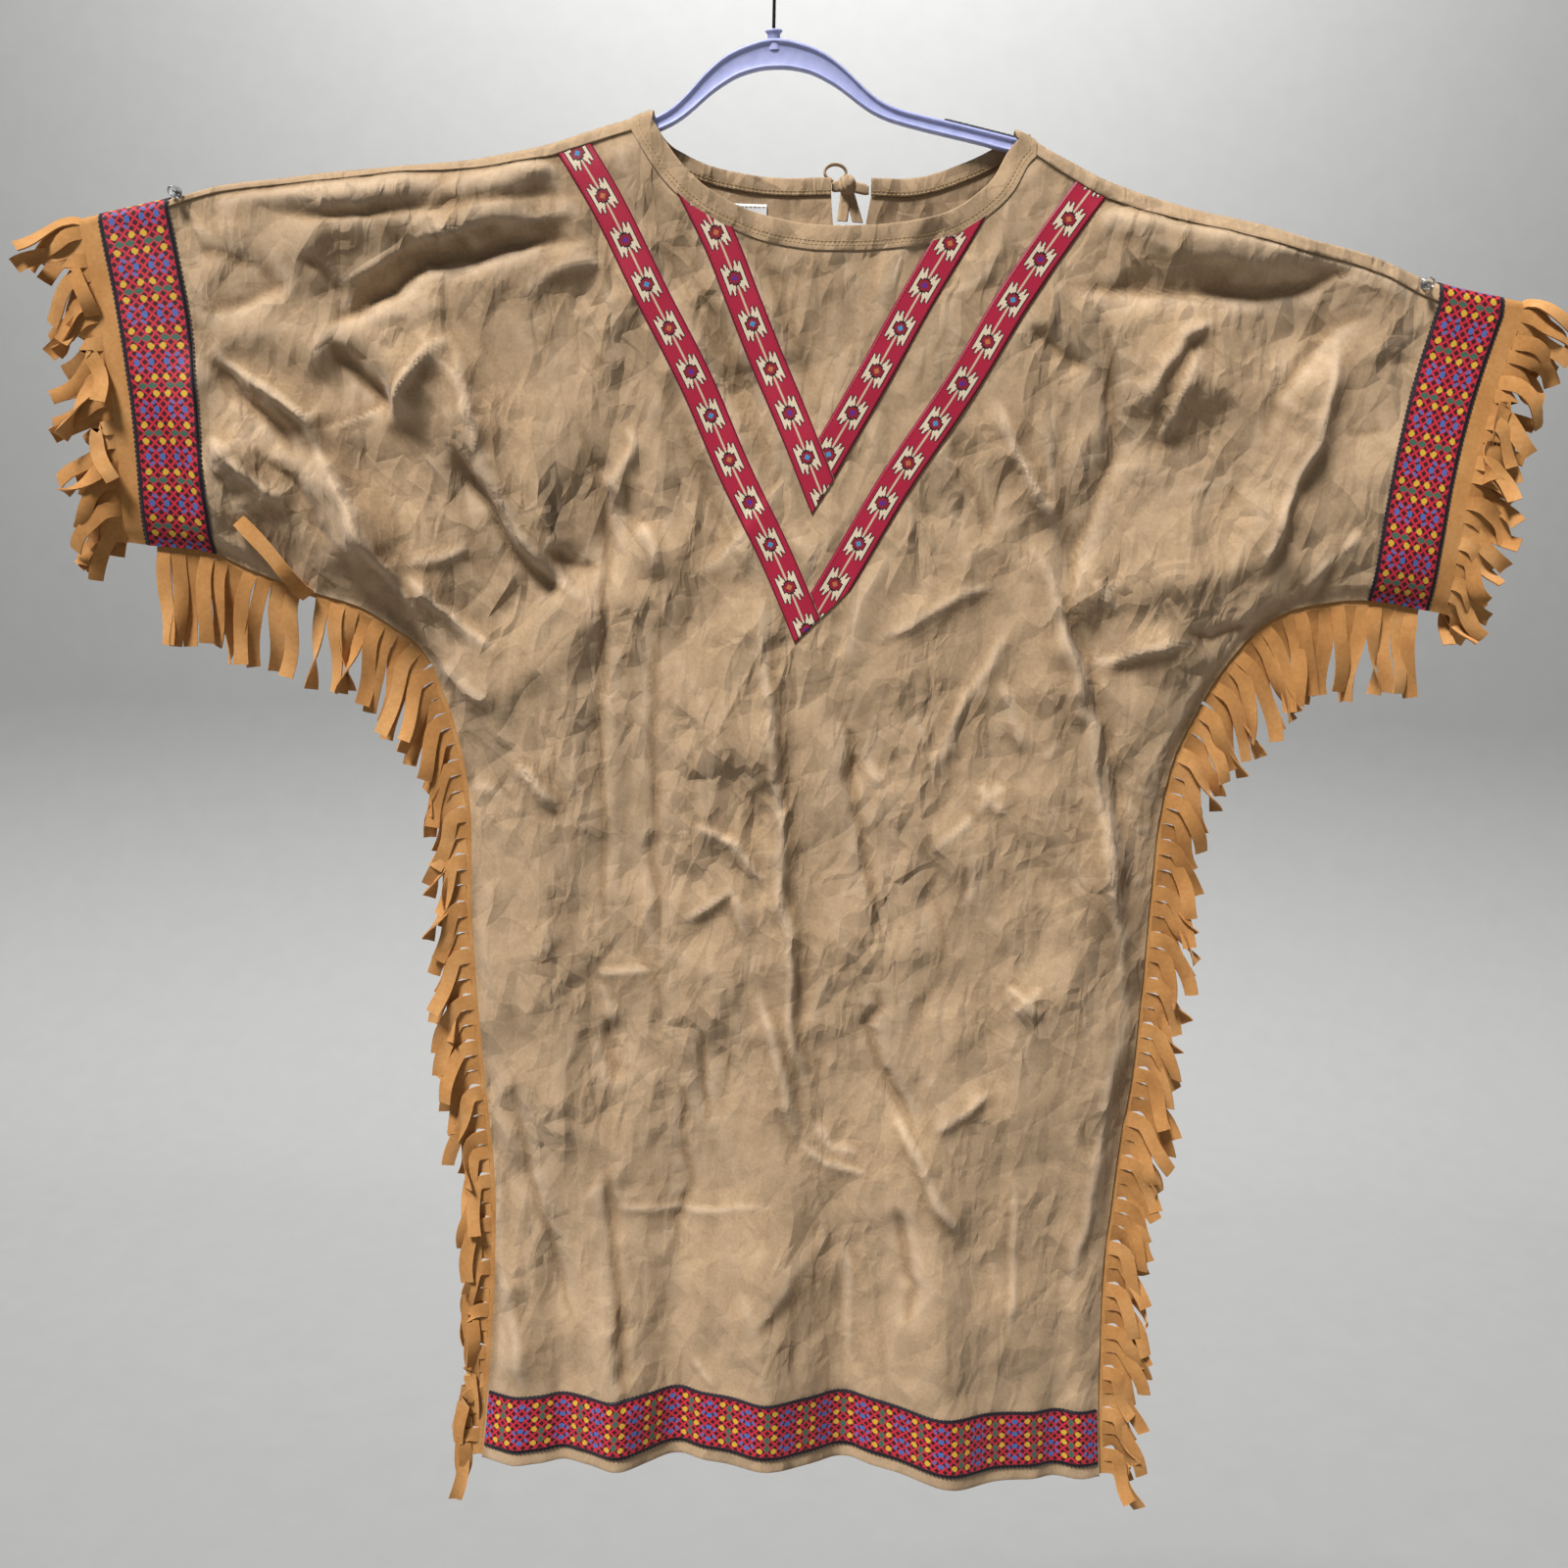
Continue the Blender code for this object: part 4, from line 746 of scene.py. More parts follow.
@dataclass(frozen=True)
class Finishes:
    """All finishes of the garment and of what it hangs on, each built once."""

    cotton: Material = field(default_factory=BrushedCotton().build)
    suede: Material = field(default_factory=ImitationSuede().build)
    border: Material = field(default_factory=JacquardRibbon(
        "viscose_jacquard_border", Weave.WIDE, 0.85 * MM, 0.875 * MM,
        (("r", "#d92b3e"), ("m", "#430b18"), ("z", "#d92b3e"), ("k", "#1a121e"), ("b", "#5570b8"),
         ("i", "#6c6db2"), ("y", "#eabc3a"), ("g", "#44705a")),
        roughness=0.6,
    ).build)
    narrow: Material = field(default_factory=JacquardRibbon(
        "viscose_jacquard_narrow", Weave.NARROW, 0.77 * MM, 0.8 * MM,
        (("r", "#9c2434"), ("c", "#f3e1c2"), ("k", "#3a1020"), ("g", "#bd2342"), ("s", "#7a1030"),
         ("l", "#e0c8a8")),
        middles=("#6a2f9a", "#4f9bd0", "#d07a4a"), roughness=0.42,
    ).build)
    # Satin-woven polyester tape shows a soft gloss on near white.
    label: Material = field(default_factory=PlainFinish(
        "polyester_satin_tape", "#f0efee", "#dddcdc", 0.5, grain=1.2 * MM).build)
    # Injection-moulded polypropylene is smooth and lets a little light in.
    plastic: Material = field(default_factory=PlainFinish(
        "polypropylene_moulded_lilac", "#b9bde6", "#aab0dc", 0.42, grain=6 * MM, bump=0.05 * MM,
        glow=0.4).build)
    # Moulded thermoplastic rubber is dull and dark.
    rubber: Material = field(default_factory=PlainFinish(
        "rubber_moulded_grip", "#4a4b50", "#3a3b40", 0.75, grain=1.5 * MM).build)
    # Drawn steel wire with a black oxide keeps a narrow bright line.
    wire: Material = field(default_factory=PlainFinish(
        "steel_wire_blackened", "#4a4a4e", "#2c2c30", 0.35, 1.0, grain=1.5 * MM).build)
    # Moulded polystyrene is clear and glossy.
    clear: Material = field(default_factory=PlainFinish(
        "polystyrene_moulded_clear", "#f4f7f8", "#eef2f4", 0.06, grain=3 * MM, bump=0.02 * MM, ior=1.59,
        clear=0.9).build)
    # Spun polyester thread is a little glossy and more yellow than the cloth.
    thread: Material = field(default_factory=PlainFinish(
        "polyester_thread_spun", "#c8a76c", "#a98850", 0.6, grain=0.8 * MM, soft=0.3).build)
    # The ribbons are sewn on with the same thread in dull red, which hardly shows.
    red_thread: Material = field(default_factory=PlainFinish(
        "polyester_thread_red", "#8c2434", "#6c1626", 0.6, grain=0.8 * MM).build)
    # Looped viscose edging is nearly black and a little fluffy.
    picot: Material = field(default_factory=PlainFinish(
        "viscose_picot_dark", "#2a1f2c", "#17101a", 0.6, grain=0.8 * MM, soft=0.2).build)
    # Matt wall paint spreads the light evenly.
    floor: Material = field(default_factory=PlainFinish(
        "studio_floor_painted", "#7c7c7b", "#7a7a79", 0.85, grain=60 * MM).build)


@dataclass
class Creases:
    """The creases that show, placed one by one, and the crush between them."""

    # Each is the half width, the rise (below zero a trough), how far it leans to its left
    # or right, and the points of its line as across and height.
    front: tuple = (
        # left shoulder and sleeve
        (24, 3.8, 0.0, ((-440, -206), (-330, -194), (-230, -182), (-120, -168))),
        (34, 2.6, 0.0, ((-425, -300), (-350, -290), (-280, -280), (-190, -260))),
        (15, 6.6, 0.0, ((-430, -203), (-325, -189), (-280, -181), (-214, -175), (-162, -171), (-110, -160))),
        (7, -3.1, 0.0, ((-388, -203), (-346, -209), (-296, -206), (-241, -200), (-182, -194), (-112, -184))),
        (15, 3.6, -0.4, ((-340, -264), (-308, -256), (-275, -238), (-248, -222), (-200, -211), (-112, -202))),
        (6, -5.6, 0.0, ((-340, -292), (-304, -279), (-276, -259), (-254, -242), (-205, -230), (-160, -224),
                         (-122, -220))),
        (7, -3.6, 0.0, ((-429, -234), (-406, -236), (-380, -245))),
        (8, -4.2, 0.0, ((-347, -238), (-312, -272))),
        (8, -5.4, 0.0, ((-428, -282), (-398, -271), (-354, -254))),
        (12, 10.8, 0.2, ((-424, -294), (-406, -316), (-373, -335), (-345, -357), (-335, -383), (-319, -409),
                        (-300, -442), (-280, -479), (-260, -509))),
        (8, -5.4, 0.0, ((-424, -310), (-401, -339), (-371, -361), (-352, -388))),
        (8, 5.4, 0.0, ((-419, -365), (-396, -390), (-373, -413), (-364, -430))),
        (7, -4.2, 0.0, ((-413, -394), (-397, -420))),
        (12, -6.7, 0.0, ((-389, -377), (-356, -406), (-344, -436), (-320, -455))),
        (9, -6.7, 0.0, ((-330, -298), (-303, -324), (-284, -344), (-284, -362))),
        (9, 6.7, 0.0, ((-289, -362), (-270, -336), (-249, -303), (-232, -290))),
        (12, -4.2, 0.0, ((-324, -367), (-290, -358))),
        (10, 8.7, -0.2, ((-233, -290), (-226, -320), (-220, -348), (-211, -380), (-204, -414), (-190, -433),
                         (-174, -453), (-150, -476), (-120, -492))),
        (8, -7.4, 0.0, ((-237, -368), (-218, -401), (-204, -427), (-191, -450), (-167, -470), (-140, -488))),
        (9, -5.4, 0.0, ((-166, -446), (-140, -462), (-122, -462))),
        (8, 4.2, 0.0, ((-280, -465), (-252, -458), (-218, -447))),
        (8, 5.4, 0.0, ((-276, -469), (-253, -489), (-226, -512), (-199, -528))),
        (8, 5.4, 0.0, ((-254, -537), (-206, -572))),
        (10, 3.6, 0.0, ((-189, -270), (-156, -243), (-116, -234))),
        # left chest
        (9, -4.0, 0.0, ((-150, -334), (-136, -366), (-123, -399), (-119, -442), (-121, -500), (-123, -565),
                        (-125, -599), (-123, -690), (-121, -767))),
        (7, -3.0, 0.0, ((-78, -474), (-84, -531), (-83, -610), (-81, -679), (-79, -779))),
        (8, 4.0, 0.0, ((-93, -424), (-78, -471))),
        (6, 3.0, 0.0, ((-102, -352), (-96, -371), (-116, -399), (-106, -418))),
        (9, 5.0, 0.2, ((-4, -480), (1, -516), (15, -629), (21, -722), (25, -738), (31, -828), (49, -899))),
        (7, 3.0, 0.0, ((-54, -656), (-22, -674), (-12, -684), (11, -708))),
        (7, 3.5, 0.0, ((-62, -744), (-21, -714), (-7, -755))),
        (5, 2.5, 0.0, ((-130, -781), (-80, -779))),
        (7, 3.0, 0.0, ((-232, -633), (-199, -641))),
        (7, 3.5, 0.0, ((-192, -612), (-156, -653))),
        # right shoulder, chest and sleeve
        (24, 3.0, 0.0, ((205, -190), (300, -222), (400, -236), (500, -252))),
        (34, 2.0, 0.0, ((240, -300), (330, -300), (440, -310))),
        (15, 5.0, 0.0, ((200, -176), (243, -196), (335, -212), (395, -222), (442, -234), (505, -250))),
        (8, -5.5, 0.0, ((205, -242), (259, -251), (312, -251), (364, -249), (403, -242), (456, -226))),
        (7, 4.5, 0.0, ((336, -267), (308, -283), (289, -313), (281, -346))),
        (6, 3.5, 0.0, ((327, -286), (303, -332), (299, -365))),
        (9, 5.5, 0.0, ((432, -272), (420, -323), (413, -356), (398, -389), (391, -419), (381, -466))),
        (9, -5.0, 0.0, ((455, -261), (423, -272), (398, -298), (380, -324), (372, -360))),
        (9, -4.0, 0.0, ((434, -352), (468, -346))),
        (8, 4.0, 0.0, ((458, -421), (434, -445), (412, -472))),
        (9, -4.5, 0.0, ((325, -501), (346, -508), (380, -493))),
        (5, 3.0, 0.0, ((248, -532), (336, -509))),
        (8, 4.5, 0.0, ((170, -325), (177, -341), (192, -373), (203, -393), (218, -409), (229, -439))),
        (10, -4.0, 0.0, ((190, -276), (225, -301), (245, -307))),
        (8, -4.5, 0.0, ((250, -262), (260, -327), (261, -372), (251, -406), (239, -439),
                        (237, -473), (226, -507))),
        (10, 6.5, -0.2, ((198, -425), (202, -440), (217, -459), (232, -500), (245, -550),
                         (257, -577), (263, -624),
                         (271, -650), (281, -700), (300, -821))),
        (8, -5.0, 0.0, ((224, -462), (252, -530), (275, -610), (291, -690))),
        (8, 2.8, 0.0, ((82, -516), (123, -496), (156, -475), (185, -464))),
        (6, 1.9, 0.0, ((251, -462), (276, -487))),
        (6, 1.9, 0.0, ((274, -460), (254, -487))),
        (6, 1.9, 0.0, ((218, -601), (234, -586))),
        (7, 2.2, 0.0, ((130, -682), (171, -647))),
        (7, 2.2, 0.0, ((81, -626), (108, -606))),
        (8, -4.0, 0.0, ((64, -560), (68, -581), (76, -649), (90, -719), (101, -760))),
        (8, 4.0, 0.0, ((190, -492), (182, -509), (157, -563), (127, -627))),
        (6, 1.9, 0.0, ((115, -568), (131, -595))),
        (7, 2.2, 0.0, ((183, -541), (194, -571), (211, -601))),
        (6, 1.9, 0.0, ((169, -623), (193, -650))),
        (6, 1.9, 0.0, ((192, -621), (168, -648))),
        (5, 2.5, 0.0, ((292, -625), (319, -630))),
        (5, 2.5, 0.0, ((294, -660), (321, -656))),
        (5, 2.5, 0.0, ((294, -699), (322, -702))),
        # lower part
        (8, -3.5, 0.0, ((-118, -812), (-117, -880))),
        (6, 1.9, 0.0, ((-126, -786), (-113, -834))),
        (9, -5.0, 0.0, ((-126, -936), (-118, -985), (-113, -1032), (-109, -1084), (-104, -1140),
                        (-102, -1190))),
        (10, -3.5, 0.0, ((-64, -858), (-57, -887), (-52, -968), (-62, -1003), (-63, -1045))),
        (7, -3.0, 0.0, ((-43, -822), (-39, -883), (-40, -915))),
        (9, 4.5, 0.0, ((2, -790), (7, -810), (22, -858), (38, -925))),
        (4, 1.2, 0.0, ((-128, -987), (-56, -984), (30, -973))),
        (6, 1.9, 0.0, ((36, -918), (61, -938), (98, -951))),
        (6, 1.9, 0.0, ((45, -902), (64, -923), (90, -927))),
        (8, -4.0, 0.0, ((92, -781), (100, -807), (90, -823), (102, -860), (124, -898), (136, -926))),
        (8, 4.5, 0.0, ((112, -890), (117, -902), (137, -940), (153, -971), (176, -1004))),
        (9, -4.5, 0.0, ((114, -970), (129, -1019), (133, -1039), (127, -1080))),
        (7, 2.2, 0.0, ((140, -908), (175, -893), (192, -870))),
        (6, 1.9, 0.0, ((196, -787), (233, -812))),
        (6, 1.9, 0.0, ((230, -785), (200, -812))),
        (9, 4.5, 0.0, ((300, -800), (298, -822), (291, -867), (284, -918), (281, -961),
                       (273, -1008), (262, -1070))),
        (9, 4.0, 0.0, ((-216, -1030), (-211, -1050), (-197, -1094), (-188, -1160))),
        (11, -3.5, 0.0, ((-198, -860), (-195, -909), (-177, -986), (-163, -1033), (-143, -1100))),
        (6, 1.6, 0.0, ((-48, -1116), (-28, -1144))),
        (3, 1.2, 0.0, ((80, -990), (84, -1130))),
        (3, 1.2, 0.0, ((212, -935), (219, -1100))),
    )
    back: tuple = (
        (13, 5.0, 0.0, ((-430, -220), (-330, -212), (-230, -206), (-140, -196))),
        (8, -5.0, 0.0, ((-400, -246), (-320, -240), (-240, -236), (-160, -232), (-110, -238))),
        (10, 6.0, 0.2, ((-410, -300), (-360, -345), (-330, -400), (-290, -455), (-262, -500))),
        (8, -4.0, 0.0, ((-405, -350), (-372, -392), (-352, -440))),
        (9, -4.5, 0.0, ((-310, -290), (-272, -340), (-240, -410), (-214, -470))),
        (9, 5.0, 0.0, ((-236, -280), (-222, -350), (-190, -430), (-140, -490), (-96, -520))),
        (8, 4.0, 0.0, ((-250, -540), (-205, -575), (-150, -590))),
        (8, -4.0, 0.0, ((-150, -320), (-128, -400), (-118, -520), (-124, -640), (-118, -760))),
        (7, 3.5, 0.0, ((-60, -420), (-48, -500), (-52, -600), (-40, -690))),
        (9, 4.5, 0.0, ((0, -560), (12, -660), (8, -760), (24, -860), (30, -960))),
        (6, 3.0, 0.0, ((-96, -700), (-52, -720), (-20, -700))),
        (6, 3.0, 0.0, ((-180, -700), (-140, -735))),
        (13, 5.0, 0.0, ((205, -206), (300, -226), (400, -246), (490, -268))),
        (8, -5.0, 0.0, ((215, -244), (300, -262), (380, -270), (450, -268))),
        (9, 5.0, 0.0, ((430, -300), (415, -350), (400, -400), (384, -460))),
        (8, -4.5, 0.0, ((380, -300), (350, -350), (335, -410))),
        (9, 5.0, 0.0, ((260, -290), (252, -360), (236, -430), (246, -520), (268, -620), (286, -720))),
        (8, -4.0, 0.0, ((200, -380), (206, -460), (222, -540), (240, -640))),
        (7, 3.5, 0.0, ((330, -530), (280, -510), (230, -500))),
        (8, 4.0, 0.0, ((120, -470), (148, -560), (150, -650), (170, -740))),
        (6, 3.0, 0.0, ((95, -700), (130, -680), (160, -690))),
        (7, -3.5, 0.0, ((80, -600), (92, -700), (88, -800))),
        (9, -4.5, 0.0, ((-140, -900), (-132, -1000), (-118, -1090), (-112, -1180))),
        (8, 4.0, 0.0, ((-60, -880), (-66, -980), (-52, -1070), (-50, -1140))),
        (8, 4.0, 0.0, ((110, -860), (128, -950), (120, -1040), (132, -1120))),
        (9, -4.5, 0.0, ((180, -900), (190, -1000), (176, -1090))),
        (9, 4.5, 0.0, ((270, -820), (262, -930), (250, -1040), (244, -1110))),
        (6, 3.0, 0.0, ((40, -1000), (90, -990), (130, -1004))),
        (6, 3.0, 0.0, ((-190, -960), (-150, -940))),
    )
    # The crush: distance between its corners across, how much longer upright, rise, chances.
    crush: tuple = ((74, 2.3, 5.0, 1), (36, 2.1, 2.4, 2), (18, 1.8, 0.9, 3))
    # How lively the crush is at each height, and on the sleeves.
    liveliness: Table = ((-1300, 0.62), (-900, 0.7), (-600, 0.95), (-400, 1.2), (-150, 0.8))
    sleeve_liveliness: float = 0.9
    sleeve_turn: float = 38.0
    middle: float = 45 * MM
    # Where the sleeves start, out from the middle, and over what distance they take over.
    sleeve_start: float = 190 * MM
    sleeve_blend: float = 100 * MM
    # How the placed lines waver and swell: how much, distance between changes, chances.
    waver: tuple = ((2.8, 30, 71), (1.0, 12, 72))
    swell: tuple = (0.35, 34, 73)
    # Their width on the sleeves and on the body, against the charted one.
    spread: tuple = (1.75, 1.15)
    # A line shorter than its width over this share is made finer.
    slender: float = 0.16
    lopsided: float = 0.35
    end_taper: float = 3.6
    reach: float = 9.0
    # How far the crush's corners stray, in shares of their distance.
    stray: float = 0.47
    warp: float = 0.16
    crest_round: float = 0.9 * MM
    body_half: float = 225 * MM
    # How much of the placed creases shows on the body and on the sleeves.
    strength: tuple = (1.7, 2.5)

    def on_sleeve(self, x: Grid) -> Grid:
        """How far a sleeve has taken over, 0 on the body to 1 outside."""
        return np.clip((np.abs(x - self.middle) - self.sleeve_start) / self.sleeve_blend, 0, 1)

    def lines(self, x: Grid, z: Grid, back: bool) -> Grid:
        """Adds up all the placed creases.

        Args:
            x: places across, an even grid.
            z: places in height.
            back: whether it is the back of the garment.

        Returns:
            Their relief in metres.
        """
        relief = np.zeros(x.shape)
        step = abs(x[0, 1] - x[0, 0])
        low = np.array([x[0, 0], z[0, 0]])
        waver = sum(rise * MM * soft_noise(x, z, gap * MM, seed) for rise, gap, seed in self.waver)
        swell = 1 + self.swell[0] * soft_noise(x, z, self.swell[1] * MM, self.swell[2])
        for half, rise, lean, line in (self.back if back else self.front):
            points = np.array(line, float) * MM
            reach = self.reach * half * MM
            first = ((points.min(0) - reach - low) / step).astype(int)
            last = ((points.max(0) + reach - low) / step).astype(int)
            part = (slice(max(first[1], 0), last[1] + 1), slice(max(first[0], 0), last[0] + 1))
            px, pz = x[part], z[part]
            if not px.size:
                continue
            reached = reached_along(points)
            length = reached[-1]
            reached = reached / length
            best, aside, share = np.full(px.shape, 1e9), np.zeros(px.shape), np.zeros(px.shape)
            for i in range(len(points) - 1):
                run = points[i + 1] - points[i]
                t = np.clip(((px - points[i, 0]) * run[0] + (pz - points[i, 1]) * run[1]) / (run @ run), 0, 1)
                gap_x, gap_z = px - points[i, 0] - t * run[0], pz - points[i, 1] - t * run[1]
                gap = np.hypot(gap_x, gap_z)
                closer = gap < best
                best = np.where(closer, gap, best)
                aside = np.where(closer, np.sign(gap_x * run[1] - gap_z * run[0]) * gap, aside)
                share = np.where(closer, reached[i] + t * (reached[i + 1] - reached[i]), share)
            offset = aside + waver[part]
            # Which side is the steeper one looks like chance, but stays with the line's place.
            steeper = self.lopsided * math.copysign(1, math.sin(line[0][0] * 0.37 + line[0][1])) + lean
            is_body = abs(points[:, 0].mean() - self.middle) <= self.body_half
            spread = self.spread[is_body] * half * MM
            shorter = min(1.0, self.slender * length / spread)
            taper = 0.5 + 0.5 * np.sin(math.pi * share)
            width = spread * shorter * (1 + steeper * np.sign(offset)) * taper
            ends = np.clip(np.minimum(share, 1 - share) * self.end_taper, 0, 1)
            sharp = np.sqrt(offset ** 2 + self.crest_round ** 2) - self.crest_round
            crest = np.exp(-sharp / width) * ease(ends)
            relief[part] += rise * shorter ** 1.5 * MM * crest * swell[part]
        body, sleeve = self.strength
        return relief * (body + (sleeve - body) * self.on_sleeve(x))

    def facets(self, x: Grid, z: Grid, layer: tuple, back: bool) -> Field:
        """Flat scraps of cloth that meet in short straight creases.

        Args:
            x: places across, an even grid.
            z: places in height.
            layer: a row of the crush table.
            back: whether it is the back of the garment.

        Returns:
            Their relief in metres.
        """
        cell, longer, rise, seed = layer
        chance = np.random.default_rng(seed + (50 if back else 0))
        size = np.array([cell, cell * longer]) * MM
        step, low = x[0, 1] - x[0, 0], np.array([x[0, 0], z[0, 0]])
        high = (x[0, -1], z[-1, 0])
        ranges = [np.arange(low[k] - 2 * size[k], high[k] + 2 * size[k], size[k]) for k in (0, 1)]
        corners = np.stack(np.meshgrid(*ranges), -1).reshape(-1, 2)
        corners += chance.uniform(-self.stray, self.stray, corners.shape) * size
        heights = chance.normal(0, rise * MM, len(corners))
        flat = [Vector(c / size) for c in corners]
        found = delaunay_2d_cdt(flat, [], [], 0, 1e-6)
        first = [origin[0] for origin in found[3]]
        relief = np.zeros(x.shape)
        for face in found[2]:
            index = [first[i] for i in face]
            a, b, c = corners[index]
            start = np.floor((np.minimum(np.minimum(a, b), c) - low) / step).astype(int)
            stop = np.ceil((np.maximum(np.maximum(a, b), c) - low) / step).astype(int) + 1
            part = (slice(max(start[1], 0), max(stop[1], 0)), slice(max(start[0], 0), max(stop[0], 0)))
            px, pz = x[part] - a[0], z[part] - a[1]
            if not px.size:
                continue
            b, c = b - a, c - a
            area = b[0] * c[1] - b[1] * c[0]
            s, t = (px * c[1] - pz * c[0]) / area, (pz * b[0] - px * b[1]) / area
            inside = (s >= -1e-9) & (t >= -1e-9) & (s + t <= 1 + 1e-9)
            value = heights[index[0]] * (1 - s - t) + heights[index[1]] * s + heights[index[2]] * t
            relief[part] = np.where(inside, value, relief[part])
        relief[1:-1] = (relief[:-2] + 2 * relief[1:-1] + relief[2:]) / 4
        relief[:, 1:-1] = (relief[:, :-2] + 2 * relief[:, 1:-1] + relief[:, 2:]) / 4
        return Field((x[0, 0], z[0, 0]), step, relief)

    def crushed(self, x: Grid, z: Grid, back: bool) -> Grid:
        """The finer crush of worn and packed cotton, slanting on the sleeves.

        Args:
            x: places across.
            z: places in height.
            back: whether it is the back of the garment.

        Returns:
            Its relief in metres.
        """
        relief = np.zeros(x.shape)
        side = ease(self.on_sleeve(x))
        turn = math.radians(self.sleeve_turn)
        way = np.sign(x - self.middle)
        pivot_x, pivot_z = x - self.middle - way * 0.33, z + 0.36
        turned_x = pivot_x * math.cos(turn) - way * pivot_z * math.sin(turn)
        turned_z = way * pivot_x * math.sin(turn) + pivot_z * math.cos(turn)
        for layer in self.crush:
            cell, seed = layer[0] * MM, layer[3]
            field_of = self.facets(x, z, layer, back)
            warp_x = self.warp * cell * soft_noise(x, z, 1.3 * cell, 10 * seed)
            warp_z = self.warp * cell * soft_noise(x, z, 1.3 * cell, 10 * seed + 5)
            upright = field_of.read(x + warp_x, z + warp_z)
            slanting = field_of.read(turned_x + way * 0.2 + warp_x, turned_z - 0.6 + warp_z)
            amount = 0.8 + 0.55 * soft_noise(x, z, 2.6 * cell, 30 * seed + (7 if back else 0))
            relief += (upright * (1 - side) + slanting * side) * amount
        heights, shares = zip(*self.liveliness)
        lively = np.interp(z, np.array(heights) * MM, shares)
        return relief * (lively * (1 - side) + self.sleeve_liveliness * side)


